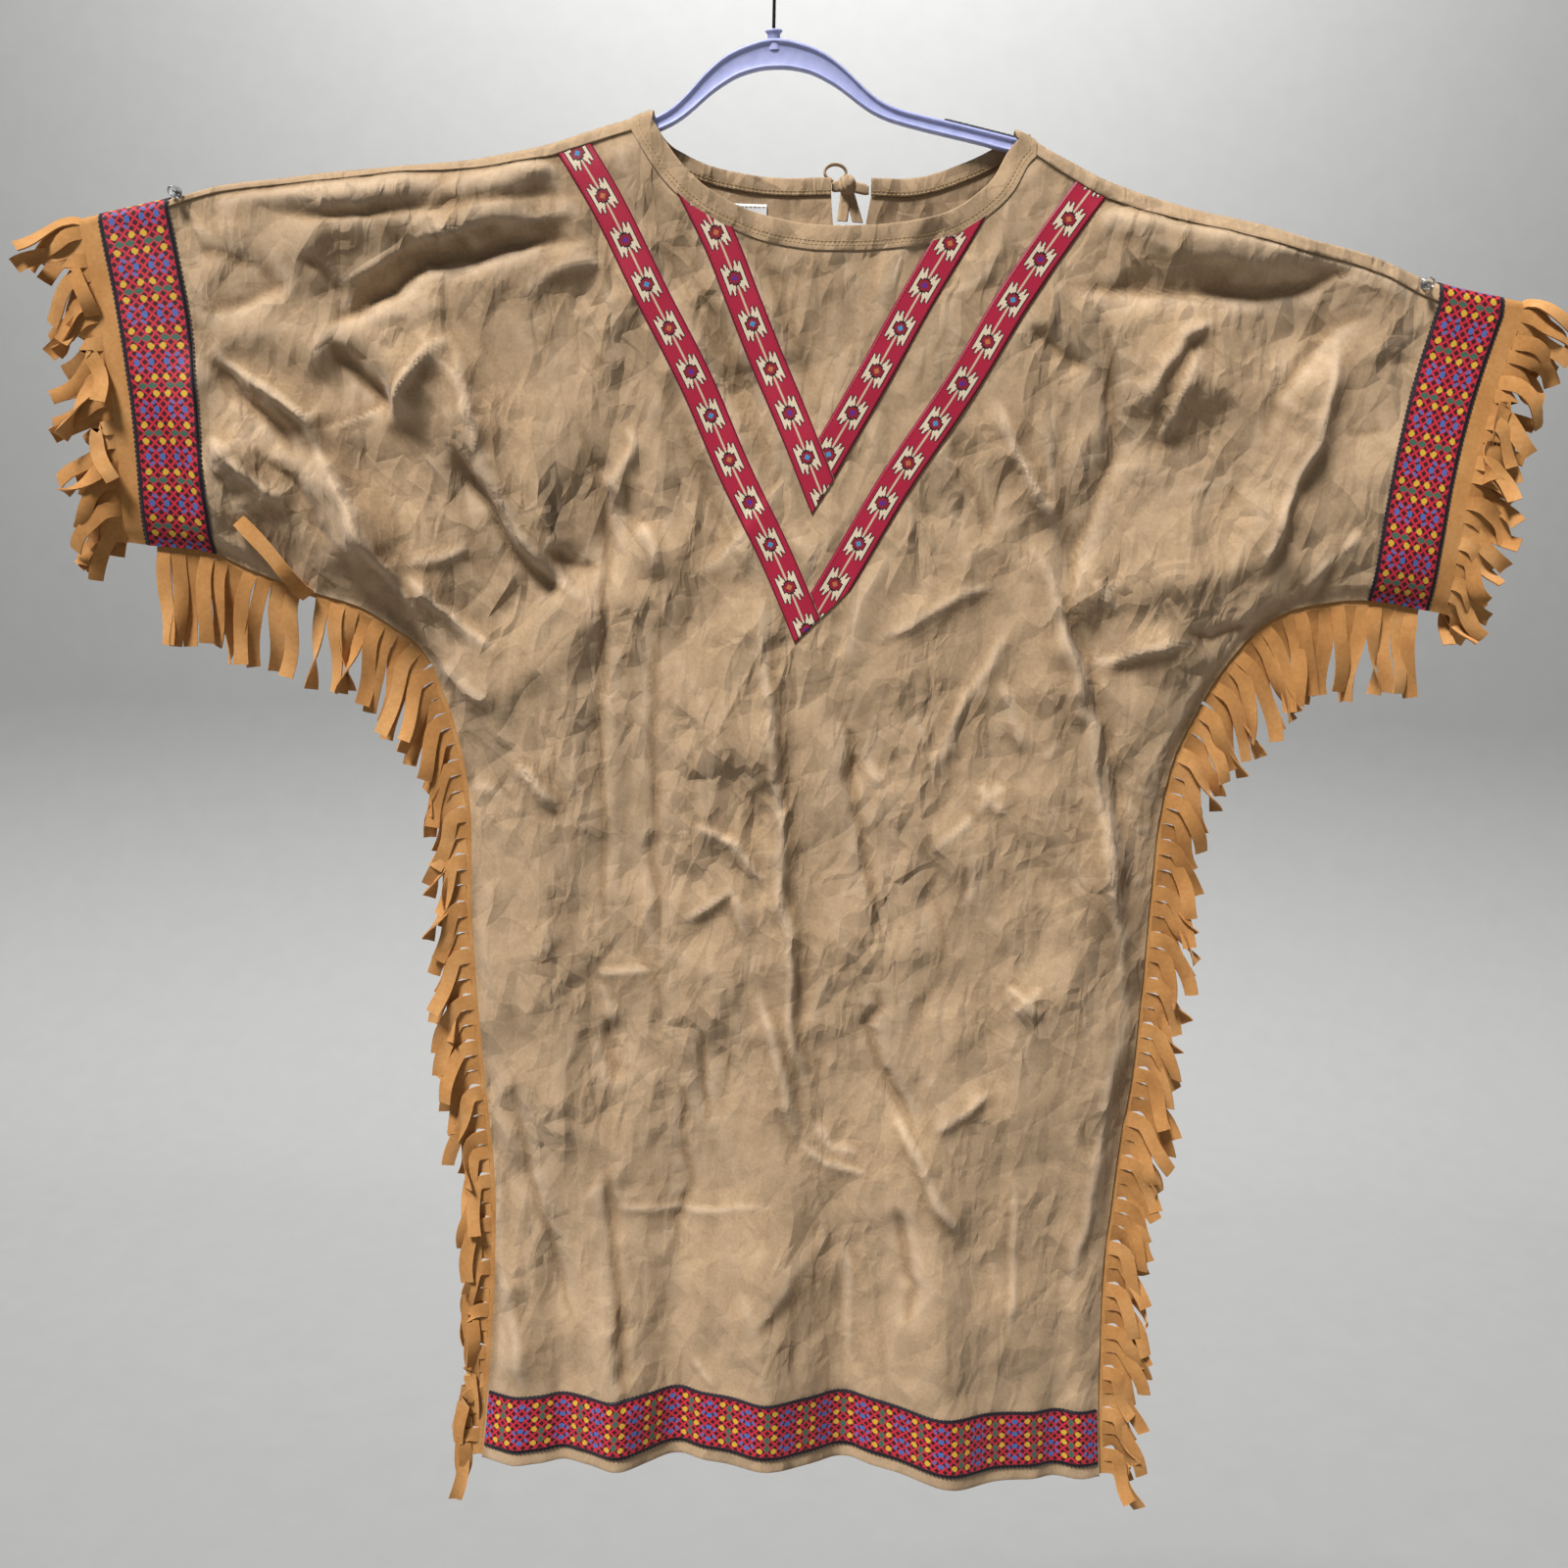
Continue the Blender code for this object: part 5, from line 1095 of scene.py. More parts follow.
@dataclass
class HangingForm:
    """Outline and depth of the hanging cloth, by the same sizes as the solids."""

    cloth: float = 1.2 * MM
    suede: float = 1.2 * MM
    seam_gap: float = 0.3 * MM
    shoulder_left: Table = (
        (-548, -221), (-497, -209), (-446, -197), (-417, -188), (-357, -180),
        (-275, -171), (-219, -165), (-168, -155), (-141, -146), (-101, -133), (-86, -128),
    )
    shoulder_right: Table = (
        (178, -136), (193, -143), (216, -155), (240, -167), (269, -178), (330, -192),
        (383, -204), (455, -221), (500, -239), (548, -247), (599, -255),
    )
    shoulder_roll: Table = ((-548, 4.0), (-300, 5.0), (-101, 7.0), (193, 7.0), (300, 5.0), (599, 4.0))
    seam_forward: Table = ((-548, 3.0), (-300, 2.5), (-101, 4.0), (193, 5.0), (240, 8.0), (599, 10.0))
    underside_left: Table = (
        (-529, -446), (-476, -452), (-423, -458), (-398, -469), (-371, -479),
        (-345, -487), (-310, -498), (-287, -512), (-268, -526), (-258, -540),
    )
    underside_right: Table = (
        (345, -557), (353, -542), (368, -519), (386, -498), (405, -486),
        (435, -478), (468, -475), (515, -482), (562, -489),
    )
    side_left: Table = (
        (-1235, -230), (-1162, -223), (-1040, -215), (-972, -214), (-893, -220),
        (-833, -225), (-741, -230), (-640, -231), (-607, -236), (-580, -243), (-540, -258),
    )
    side_right: Table = (
        (-1240, 304), (-1162, 298), (-1096, 296), (-1028, 295), (-983, 298), (-925, 302),
        (-873, 308), (-800, 312), (-696, 315), (-647, 318), (-599, 327), (-557, 345),
    )
    underarm_height: tuple = (-540, -557)
    hem_line: tuple = ((0.0, -1222), (0.15, -1216), (0.32, -1210), (0.6, -1209), (0.85, -1221), (1.0, -1228))
    front_neck: Table = (
        (-94, -156), (-80, -175), (-61, -193), (-39, -206), (-8, -217), (21, -223), (47, -225),
        (78, -224), (107, -221), (135, -213), (160, -198), (179, -178), (188, -161),
    )
    back_neck: Table = (
        (-86, -158), (-66, -170), (-46, -177), (-15, -182), (15, -184), (60, -183),
        (97, -183), (117, -180), (148, -171), (169, -161), (183, -152),
    )
    neck_left: float = -101 * MM
    neck_right: float = 193 * MM
    back_centre: float = 60 * MM
    body_top: tuple = (-215 * MM, 300 * MM)
    neck_share: float = 0.2
    sleeve_left: Table = ((0.0, -215, -258), (0.8, -446, -423), (1.0, -497, -476), (1.2, -548, -529))
    sleeve_right: Table = ((0.0, 300, 345), (0.8, 500, 468), (1.0, 548, 515), (1.2, 599, 562))
    cuff_end: float = 0.98
    cuff_bow: tuple = (8 * MM, -9 * MM)
    slit_bottom: float = -330 * MM
    slit_top: float = -181 * MM
    slit_width: float = 15 * MM
    slit_curve: float = 1.3
    slit_fade: float = 0.15
    ribbon_top: float = 63 * MM
    ribbon_low: float = 12 * MM
    front_fullness: float = 13 * MM
    back_fullness: float = 8 * MM
    shoulder_ease: float = 110 * MM
    seam_ease: float = 30 * MM
    fold_fade_seam: float = 22 * MM
    fold_fade_shoulder: float = 30 * MM
    least_depth: float = 4.2 * MM
    depth_blend: float = 2.5 * MM
    hanger_clear: float = 5.0 * MM
    hanger_zone: tuple = (-230, -170)
    # Largest folds: across and height of both ends, half width, rise.
    front_folds: Table = (
        (-205, -900, -200, -1560, 15, 9), (-165, -900, -150, -1540, 13, -8),
        (-122, -860, -97, -1580, 20, 15), (-66, -840, -55, -1590, 17, -13),
        (10, -760, 22, -1680, 26, 15), (70, -880, 92, -1560, 19, -13),
        (125, -800, 214, -1640, 34, 24), (255, -840, 276, -1600, 15, -12),
        (-425, -285, -225, -330, 20, 7), (-420, -345, -240, -425, 20, -7),
        (-400, -400, -235, -500, 18, 8), (-262, -545, -95, -420, 15, -7),
        (-240, -590, -70, -460, 16, 6), (460, -310, 250, -330, 20, 6),
        (450, -380, 250, -410, 20, -6), (430, -440, 230, -480, 18, 7),
        (335, -570, 190, -470, 15, -6), (205, -450, 240, -700, 14, 6),
        (-175, -620, -165, -900, 24, 5), (-100, -520, -102, -800, 12, -5),
    )
    back_folds: Table = (
        (-190, -900, -180, -1560, 20, 6), (-110, -860, -120, -1580, 22, -5),
        (-40, -800, -48, -1640, 24, 8), (95, -860, 110, -1580, 24, -5),
        (190, -820, 200, -1640, 26, 9), (-420, -330, -230, -400, 22, 5),
        (-380, -400, -200, -500, 20, -4), (460, -340, 260, -400, 22, 5),
        (420, -420, 240, -500, 20, -4), (-255, -560, -90, -470, 18, 5),
        (330, -575, 170, -480, 18, 5),
    )
    pins: tuple = ((-439, -194), (489, -240))
    narrow: float = 25 * MM
    field_step: float = 1.6 * MM
    # Distances within which creases fade out: at a seam, under the shoulder and round a pin.
    crease_seam: float = 8 * MM
    crease_shoulder: float = 12 * MM
    crease_pin: float = 13 * MM
    room_seam: float = 7 * MM
    # How much the creases show towards the hem and inside the lines of the cuffs.
    hem_calm: tuple = ((-1.215, -1.165, -1.13), (0.35, 0.35, 1.0))
    cuff_lines: tuple = (-0.45, 0.505)
    cuff_calm: tuple = ((0.0, 0.02), (0.4, 1.0))
    span_x: tuple = (-0.60, 0.66)
    span_z: tuple = (-1.30, -0.11)
    roll_steps: int = 10
    creases: Creases = field(default_factory=Creases)
    ribbon_lines: tuple = ()

    def __post_init__(self) -> None:
        """Works out the depth of front and back on an even grid."""
        self.seam_half = self.suede / 2 + self.seam_gap + self.cloth / 2
        self.shoulder_gaps, self.seam_gaps = self.distance_fields(4 * MM)
        self.depths, self.hollows = {}, {}
        x, z = self.even_grid(self.field_step)
        for back in (False, True):
            depth, relief = self.full_depth(x, z, back)
            low = (self.span_x[0], self.span_z[0])
            self.depths[back] = Field(low, self.field_step, depth)
            # The crease relief less its blur decides where the cotton is painted with shade in the hollows
            # and made paler on the worn ridges.
            soft = relief.copy()
            for _ in range(3):
                soft = sum(np.roll(soft, shift, axis) for axis in (0, 1) for shift in (2, -2)) / 4
            self.hollows[back] = Field(low, self.field_step, np.clip((relief - soft) / (0.55 * MM), -1, 1))

    def even_grid(self, step: float) -> tuple[Grid, Grid]:
        """Places across and heights of an even grid."""
        across = np.arange(self.span_x[0], self.span_x[1], step)
        height = np.arange(self.span_z[0], self.span_z[1], step)
        return np.meshgrid(across, height)

    def distance_fields(self, step: float) -> tuple[Field, Field]:
        """Distances to the shoulder folds, and to the underarm and side seams."""
        shoulders, seams = [], []
        for table in (self.shoulder_left, self.shoulder_right):
            across = np.linspace(table[0][0], table[-1][0], 120) * MM
            shoulders.append(np.stack([across, self.shoulder_height(across)], 1))
        for table in (self.underside_left, self.underside_right):
            across = np.linspace(table[0][0], table[-1][0], 90) * MM
            seams.append(np.stack([across, smooth(across, table)], 1))
        for table in (self.side_left, self.side_right):
            height = np.linspace(table[0][0], table[-1][0], 180) * MM
            seams.append(np.stack([smooth(height, table), height], 1))
        x, z = self.even_grid(step)
        flat = np.stack([x.ravel(), z.ravel()], 1)
        found = []
        for points in (np.concatenate(shoulders), np.concatenate(seams)):
            gaps = [
                np.sqrt(((part[:, None] - points[None]) ** 2).sum(2).min(1))
                for part in np.array_split(flat, 40)
            ]
            found.append(Field((self.span_x[0], self.span_z[0]), step, np.concatenate(gaps).reshape(x.shape)))
        return found[0], found[1]

    def shoulder_height(self, across: Grid) -> Grid:
        """Height of the cloth's top edge, past the neck on either side."""
        across = np.asarray(across, float)
        middle = (self.neck_left + self.neck_right) / 2
        left = smooth(np.minimum(across, -80 * MM), self.shoulder_left)
        right = smooth(np.maximum(across, 170 * MM), self.shoulder_right)
        return np.where(across < middle, left, right)

    def seam_drop(self, across: Grid) -> Grid:
        """How far the shoulder seam lies below the top edge, on the front."""
        return self.cloth / 2 + by_place(across, self.shoulder_roll) + by_place(across, self.seam_forward)

    def roll_drop(self, across: Grid) -> Grid:
        """How far the middle of the shoulder fold lies below the top edge."""
        return self.cloth / 2 + by_place(across, self.shoulder_roll)

    def neck_table(self, back: bool) -> Table:
        """Neck edge from one shoulder to the other, with its corners on the shoulders."""
        drop = self.roll_drop if back else self.seam_drop
        ends = [
            (across / MM, float(self.shoulder_height(across) - drop(across)) / MM)
            for across in (self.neck_left, self.neck_right)
        ]
        return (ends[0],) + tuple(self.back_neck if back else self.front_neck) + (ends[1],)

    def body_top_across(self, share: Grid, back: bool) -> Grid:
        """Where a column of the body starts on the shoulders or the neck edge."""
        low, high = self.neck_share, 1 - self.neck_share
        left = self.body_top[0] + (self.neck_left - self.body_top[0]) * share / low
        right = self.neck_right + (self.body_top[1] - self.neck_right) * (share - high) / low
        inner = np.clip((share - low) / (high - low), 0, 1)
        inner = 0.5 * inner + 0.25 * (1 - np.cos(math.pi * inner))
        if back:
            inner = np.interp(inner, (0, 0.5, 1), (self.neck_left, self.back_centre, self.neck_right))
        else:
            inner = self.neck_left + (self.neck_right - self.neck_left) * inner
        return np.where(share < low, left, np.where(share > high, right, inner))

    def top_height(self, across: Grid, share: Grid, back: bool) -> Grid:
        """Height at which a panel ends, on the shoulder seam or the neck edge."""
        drop = self.roll_drop if back else self.seam_drop
        neck = smooth(across, self.neck_table(back))
        shoulder = self.shoulder_height(across) - drop(across)
        in_neck = (share > self.neck_share) & (share < 1 - self.neck_share)
        return np.where(in_neck, neck, shoulder)

    def body_across(self, share: Grid, height: Grid) -> Grid:
        """Place across the body between the two side seams, at a height."""
        left, right = smooth(height, self.side_left), smooth(height, self.side_right)
        return left + (right - left) * share

    def slit_half(self, height: Grid) -> Grid:
        """Half the opening between the two back panels."""
        opened = np.clip((height - self.slit_bottom) / (self.slit_top - self.slit_bottom), 0, 1.1)
        return self.seam_gap / 2 + self.slit_width * opened ** self.slit_curve

    def lay_out(self, share: Grid, row: Grid, back: bool = False, side: int = 0) -> tuple[Grid, Grid]:
        """Across and height of a point of a panel.

        Args:
            share: 0 to 1 across the body, below 0 along the left sleeve, above 1 along the right one.
            row: 0 to 1 down to the underarm, to 2 at the hem ribbon's top and to 3 at the hem.
            back: whether it is a back panel.
            side: -1 or 1 for the two back panels.

        Returns:
            Places across and heights.
        """
        share, row = np.broadcast_arrays(np.asarray(share, float), np.asarray(row, float))
        inside = np.clip(share, 0, 1)
        left, right = np.clip(-share, 0, 1.2), np.clip(share - 1, 0, 1.2)
        top_x = self.body_top_across(inside, back)
        top_x = np.where(share < 0, by_share(left, self.sleeve_left), top_x)
        top_x = np.where(share > 1, by_share(right, self.sleeve_right), top_x)
        top_z = self.top_height(top_x, share, back)
        low_z = (self.underarm_height[0] + (self.underarm_height[1] - self.underarm_height[0]) * inside) * MM
        low_x = self.body_across(inside, low_z)
        left_x, right_x = by_share(left, self.sleeve_left, 2), by_share(right, self.sleeve_right, 2)
        low_x = np.where(share < 0, left_x, np.where(share > 1, right_x, low_x))
        low_z = np.where(share < 0, smooth(left_x, self.underside_left), low_z)
        low_z = np.where(share > 1, smooth(right_x, self.underside_right), low_z)
        upper = np.minimum(row, 1)
        x = top_x + (low_x - top_x) * upper
        x = x + (left * self.cuff_bow[0] + right * self.cuff_bow[1]) * np.sin(math.pi * upper)
        z = top_z + (low_z - top_z) * upper
        hem = np.interp(inside, [h[0] for h in self.hem_line], [h[1] * MM for h in self.hem_line])
        ribbon = hem + self.ribbon_top
        middle_z = low_z + (ribbon - low_z) * np.clip(row - 1, 0, 1)
        lower_z = np.where(row > 2, ribbon - self.ribbon_top * (row - 2), middle_z)
        z = np.where(row > 1, lower_z, z)
        x = np.where(row > 1, self.body_across(inside, z), x)
        if side:
            nearness = np.clip(1 - np.abs(inside - 0.5) / self.slit_fade, 0, 1)
            x = x + side * self.slit_half(z) * nearness
        return x, z

    def ribbon_warp(self, x: Grid, z: Grid, line: Table) -> Grid:
        """Distance from a narrow ribbon's middle line, in half widths."""
        middle = smooth(z, line)
        slope = (smooth(z + MM, line) - smooth(z - MM, line)) / (2 * MM)
        return (x - middle) / (self.narrow / 2 * np.sqrt(1 + slope ** 2))

    def calm(self, x: Grid, z: Grid) -> Grid:
        """How much of the crush is left where a ribbon stiffens the cloth."""
        left = np.ones(x.shape)
        for line in self.ribbon_lines:
            heights = np.array([line[0][0], line[-1][0]]) * MM
            away = np.abs(self.ribbon_warp(x, np.clip(z, heights[0], heights[1]), line))
            held = 0.7 * (1 - np.clip(away - 1.0, 0, 1)) * np.clip((z - heights[0] - 0.02) / 0.04, 0, 1)
            left = np.minimum(left, 1 - held)
        return left

    def full_depth(self, x: Grid, z: Grid, back: bool) -> tuple[Grid, Grid]:
        """How far a panel stands from the middle plane, and its crease relief.

        Args:
            x: places across.
            z: places in height.
            back: whether it is a back panel.

        Returns:
            Depth and crease relief, in metres.
        """
        fullness, folds = (
            (self.back_fullness, self.back_folds) if back else (self.front_fullness, self.front_folds)
        )
        roll = by_place(x, self.shoulder_roll)
        below = np.maximum(self.shoulder_gaps.read(x, z) - self.cloth / 2 - roll, 0)
        from_seam = self.seam_gaps.read(x, z)
        opened = 1 - np.exp(-from_seam / self.seam_ease)
        full = roll + fullness * (1 - np.exp(-below / self.shoulder_ease))
        fade = rising(from_seam, self.fold_fade_seam) * rising(below, self.fold_fade_shoulder)
        main = np.zeros(x.shape)
        for x0, z0, x1, z1, half_width, rise in folds:
            run = np.array([x1 - x0, z1 - z0]) * MM
            length = np.linalg.norm(run)
            along = ((x - x0 * MM) * run[0] + (z - z0 * MM) * run[1]) / length ** 2
            aside = ((x - x0 * MM) * run[1] - (z - z0 * MM) * run[0]) / length
            crest = np.sin(math.pi * np.clip(along, 0, 1)) ** 1.2
            main += rise * MM * crest * np.exp(-((aside / (half_width * MM)) ** 2))
        crease_fade = rising(from_seam, self.crease_seam)
        crease_fade *= 0.5 + 0.5 * rising(below, self.crease_shoulder)
        for across, height in self.pins:
            crease_fade *= rising(np.hypot(x - across * MM, z - height * MM), self.crease_pin)
        ribbons = np.ones(x.shape) if back else self.calm(x, z)
        hem = np.interp(z, *self.hem_calm)
        cuffs = np.interp(np.minimum(x - self.cuff_lines[0], self.cuff_lines[1] - x), *self.cuff_calm)
        relief = self.creases.lines(x, z, back) + self.creases.crushed(x, z, back)
        relief = relief * crease_fade * ribbons * hem * cuffs
        depth = full + main * fade + 0.5 * relief
        near_hanger = np.interp(z, np.array(self.hanger_zone) * MM, (0, 1))
        least = self.least_depth + (self.hanger_clear - self.least_depth) * near_hanger
        depth = least + self.depth_blend * np.logaddexp(0, (depth - least) / self.depth_blend)
        # Wrinkles run up to the seams, where only the ridges have room.
        depth = self.seam_half + (depth - self.seam_half) * opened + 0.5 * relief
        room = self.depth_blend * rising(from_seam, self.room_seam) + 0.05 * MM
        least = self.seam_half + (least - self.seam_half) * opened * 0.9
        above = np.logaddexp(0, (depth - least) / room) - math.log(2) * np.exp(-from_seam / (3 * MM))
        return least + room * above, relief

    def wall_depth(self, x: Grid, z: Grid, back: bool) -> Grid:
        """How far a panel stands from the middle plane of the garment."""
        return self.depths[back].read(x, z)

    def panel_points(self, share: Grid, row: Grid, back: bool = False, side: int = 0) -> Grid:
        """Points of a panel's middle surface."""
        return self.at(*self.lay_out(share, row, back, side), back)

    def at(self, x: Grid, z: Grid, back: bool = False) -> Grid:
        """Points of a panel's middle surface at places in its plane."""
        depth = self.wall_depth(x, z, back)
        return np.stack([x, depth if back else -depth, z], -1)

    def facing(self, x: Grid, z: Grid, back: bool) -> Grid:
        """Outward normals of a panel at places in its plane."""
        step = self.field_step
        slope_x = (self.wall_depth(x + step, z, back) - self.wall_depth(x - step, z, back)) / (2 * step)
        slope_z = (self.wall_depth(x, z + step, back) - self.wall_depth(x, z - step, back)) / (2 * step)
        way = np.full(np.shape(x), 1.0 if back else -1.0)
        return unit(np.stack([-slope_x, way, -slope_z], -1))

    def lattice(self, shares: Grid, rows: Grid, back: bool = False, side: int = 0) -> Grid:
        """Rows of panel points, top to bottom, each from left to right."""
        grid_share, grid_row = np.meshgrid(np.asarray(shares), np.asarray(rows))
        return self.panel_points(grid_share, grid_row, back, side)

    def over_shoulder(self, x: Grid, angle: float) -> Grid:
        """Points of the fold over the shoulder, from in front (0) round to behind."""
        x = np.asarray(x, float)
        radius = by_place(x, self.shoulder_roll)
        uneven = 1 + 0.22 * soft_noise(x, x * 0, 46 * MM, 91)
        away = np.clip(np.minimum(self.neck_left - x, 1) / (25 * MM), 0, 1)
        away = np.maximum(away, np.clip((x - self.neck_right) / (25 * MM), 0, 1))
        centre = self.shoulder_height(x) - self.cloth / 2 - radius
        radius = radius * (1 + (uneven - 1) * away)
        share = 0.5 - 0.5 * math.cos(angle)
        depth = self.wall_depth(x, centre, False) * (1 - share) + self.wall_depth(x, centre, True) * share
        return np.stack([x, -depth * math.cos(angle), centre + radius * math.sin(angle)], -1)

    def roll_path(self, shares: Grid) -> Grid:
        """Points of the fold over the shoulder, from the front seam to the back panel."""
        front = self.panel_points(shares, np.zeros(len(shares)))
        below = self.panel_points(shares, np.full(len(shares), 0.02))
        upward = unit(front - below)
        tucked = front + upward * self.seam_gap + np.array([0, 1.4 * MM, 0])
        lip = front + upward * 1.3 * MM + np.array([0, -0.5 * MM, 0])
        rows = [tucked, front + upward * 0.5 * MM, lip]
        start = self.over_shoulder(front[:, 0], 0.0)
        rows += [lip * (1 - t) + start * t for t in (0.35, 0.7)]
        for step in range(self.roll_steps + 1):
            rows.append(self.over_shoulder(front[:, 0], math.pi * step / self.roll_steps))
        return np.array(rows)

    def round_sleeve(self, place: float, rows: Grid) -> Grid:
        """Points round a sleeve at one share: up the front, over the fold, down the back."""
        shares = np.full(len(rows), place)
        front = self.panel_points(shares, rows[::-1])
        over = self.roll_path(np.array([place]))[5:-1, 0]
        back = self.panel_points(shares, rows, True)
        return np.concatenate([front, over, back])


@dataclass
class Dressing:
    """Puts finished pieces on the frame and keeps count of them."""

    finishes: Finishes

    def settle(
        self, obj: bpy.types.Object, node: str, finish: Material, sheet: tuple | None = None,
        rests_on: tuple = (), area: float | None = None, stands_for: bool = True,
    ) -> bpy.types.Object:
        """Gives a piece its material and its place in the frame.

        Args:
            obj: the piece.
            node: the solid that it stands for or goes with.
            finish: its material.
            sheet: width and length of the flat cloth, if it is cloth; not used.
            rests_on: what the cloth hangs from; not used.
            area: flat area of a cut that isn't a rectangle; not used.
            stands_for: whether it takes the solid's place.

        Returns:
            The piece.
        """
        obj.data.materials.append(finish)
        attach(obj, "root")
        if stands_for:
            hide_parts(node)
        faces = sum(len(p.vertices) - 2 for p in obj.data.polygons)
        log.info("%s: %d triangles", obj.name, faces)
        return obj


@dataclass
class Panels:
    """Front and two backs, each cut in one with its sleeves, with turned hems."""

    form: HangingForm
    dressing: Dressing
    front_step: float = 2.85 * MM
    back_step: float = 3.3 * MM
    hem_radius: float = 0.8 * MM
    hem_depth: float = 24 * MM
    edge_tuck: float = 1.2 * MM

    def shares(self, low: float, high: float, step: float) -> Grid:
        """Columns between two shares at about a distance apart."""
        width = 0.53 if low >= 0 and high <= 1 else 0.26
        count = max(2, round((high - low) * width / step))
        return np.linspace(low, high, count + 1)

    def rows(self, step: float) -> tuple[Grid, Grid]:
        """Rows above and below the underarm."""
        upper = np.linspace(0, 1, round(0.36 / step) + 1)
        lower = np.linspace(1, 2, round(0.61 / step) + 1)
        hem = np.linspace(2, 3, round(self.form.ribbon_top / step) + 1)[1:]
        return upper, np.concatenate([lower, hem])

    def hem(self, shares: Grid, back: bool, side: int) -> Grid:
        """The turned hem: round the edge, then up the inside."""
        way = 1 if back else -1
        edge = self.form.lattice(shares, [3.0], back, side)[0]
        rows = [edge]
        for turn in np.linspace(0, math.pi, 5)[1:]:
            inward, down = self.hem_radius * (1 - math.cos(turn)), self.hem_radius * math.sin(turn)
            step = np.array([0, -way * inward, -down])
            rows.append(edge + step)
        for height in np.linspace(0, self.hem_depth, 7)[1:]:
            inner = self.form.lattice(shares, [3 - height / self.form.ribbon_top], back, side)[0]
            depth = np.abs(inner[:, 1])
            depth = np.maximum(depth - 2 * self.hem_radius, 0.3 * depth)
            rows.append(np.stack([inner[:, 0], way * depth, inner[:, 2]], 1))
        return np.array(rows)

    def build_front(self) -> bpy.types.Object:
        """Makes the front panel."""
        form, step = self.form, self.front_step
        upper, lower = self.rows(step)
        left, body, right = (
            self.shares(-form.cuff_end, 0, step), self.shares(0, 1, step),
            self.shares(1, 1 + form.cuff_end, step),
        )
        patches = [form.lattice(left, upper), form.lattice(body, upper), form.lattice(right, upper)]
        patches += [form.lattice(body, lower), self.hem(body, False, 0)]
        for shares in (left, body, right):
            top = form.lattice(shares, [0.0])[0]
            patches.append(np.array([top, top + np.array([0, self.edge_tuck, 0.3 * MM])]))
        values = [form.hollows[False].read(p[..., 0], p[..., 2]) for p in patches]
        obj = welded("tunic_front", patches, values)
        return self.dressing.settle(
            obj, "front_panel", self.dressing.finishes.cotton, (0.99, 1.09), ("hanger",), 0.74
        )

    def build_back(self, name: str, side: int) -> bpy.types.Object:
        """Makes one back panel with the part that rolls over the shoulder."""
        form, step = self.form, self.back_step
        upper, lower = self.rows(step)
        shoulder_end = form.neck_share if side < 0 else 1 - form.neck_share
        if side < 0:
            outer, inner = self.shares(0, shoulder_end, step), self.shares(shoulder_end, 0.5, step)
            sleeve = self.shares(-form.cuff_end, 0, step)
        else:
            outer, inner = self.shares(shoulder_end, 1, step), self.shares(0.5, shoulder_end, step)
            sleeve = self.shares(1, 1 + form.cuff_end, step)
        patches = [form.lattice(s, upper, True, side) for s in (sleeve, outer, inner)]
        patches += [form.lattice(s, lower, True, side) for s in (outer, inner)]
        patches += [self.hem(s, True, side) for s in (outer, inner)]
        patches += [form.roll_path(s) for s in (sleeve, outer)]
        values = [form.hollows[True].read(p[..., 0], p[..., 2]) for p in patches]
        obj = welded(name.replace("back_panel", "tunic_back"), patches, values)
        size = (0.52, 1.08) if side < 0 else (0.47, 1.08)
        return self.dressing.settle(obj, name, self.dressing.finishes.cotton, size, ("hanger",), 0.41)

    def build(self) -> None:
        """Makes all three panels."""
        self.build_front()
        self.build_back("back_panel_left", -1)
        self.build_back("back_panel_right", 1)


@dataclass
class Sewing:
    """Topstitching, as short raised threads laid along lines on the cloth."""

    pitch: float = 3.2 * MM
    length: float = 2.5 * MM
    width: float = 0.55 * MM
    rise: float = 0.35 * MM
    heap: Heap = field(default_factory=Heap)

    def run(self, line: Grid, normals: Grid, lift: float) -> None:
        """Lays stitches along a line.

        Args:
            line: points of the line on the cloth.
            normals: the cloth's normals there.
            lift: how far the thread's middle stands off the line.
        """
        runs = np.linalg.norm(np.diff(line, axis=0), axis=1)
        reached = np.concatenate([[0], np.cumsum(runs)])
        middles = np.arange(self.pitch / 2, reached[-1], self.pitch)
        if not len(middles):
            return
        start = along_line(line, reached, middles - self.length / 2)
        stop = along_line(line, reached, middles + self.length / 2)
        up = unit(along_line(normals, reached, middles))
        along = unit(stop - start)
        side = np.cross(along, up) * self.width / 2
        middle = (start + stop) / 2
        corners = []
        for place, size, high in ((start, 0.45, -0.3), (middle, 1.0, 0.5), (stop, 0.45, -0.3)):
            centre = place + up * (lift + high * self.rise)
            corners += [centre - side * size, centre + up * self.rise * 0.6 * size, centre + side * size]
        points = np.stack(corners, 1).reshape(-1, 3)
        one = np.array([(0, 3, 4, 1), (1, 4, 5, 2), (3, 6, 7, 4), (4, 7, 8, 5)])
        faces = (one[None] + 9 * np.arange(len(middles))[:, None, None]).reshape(-1, 4)
        self.heap.add(points, faces)


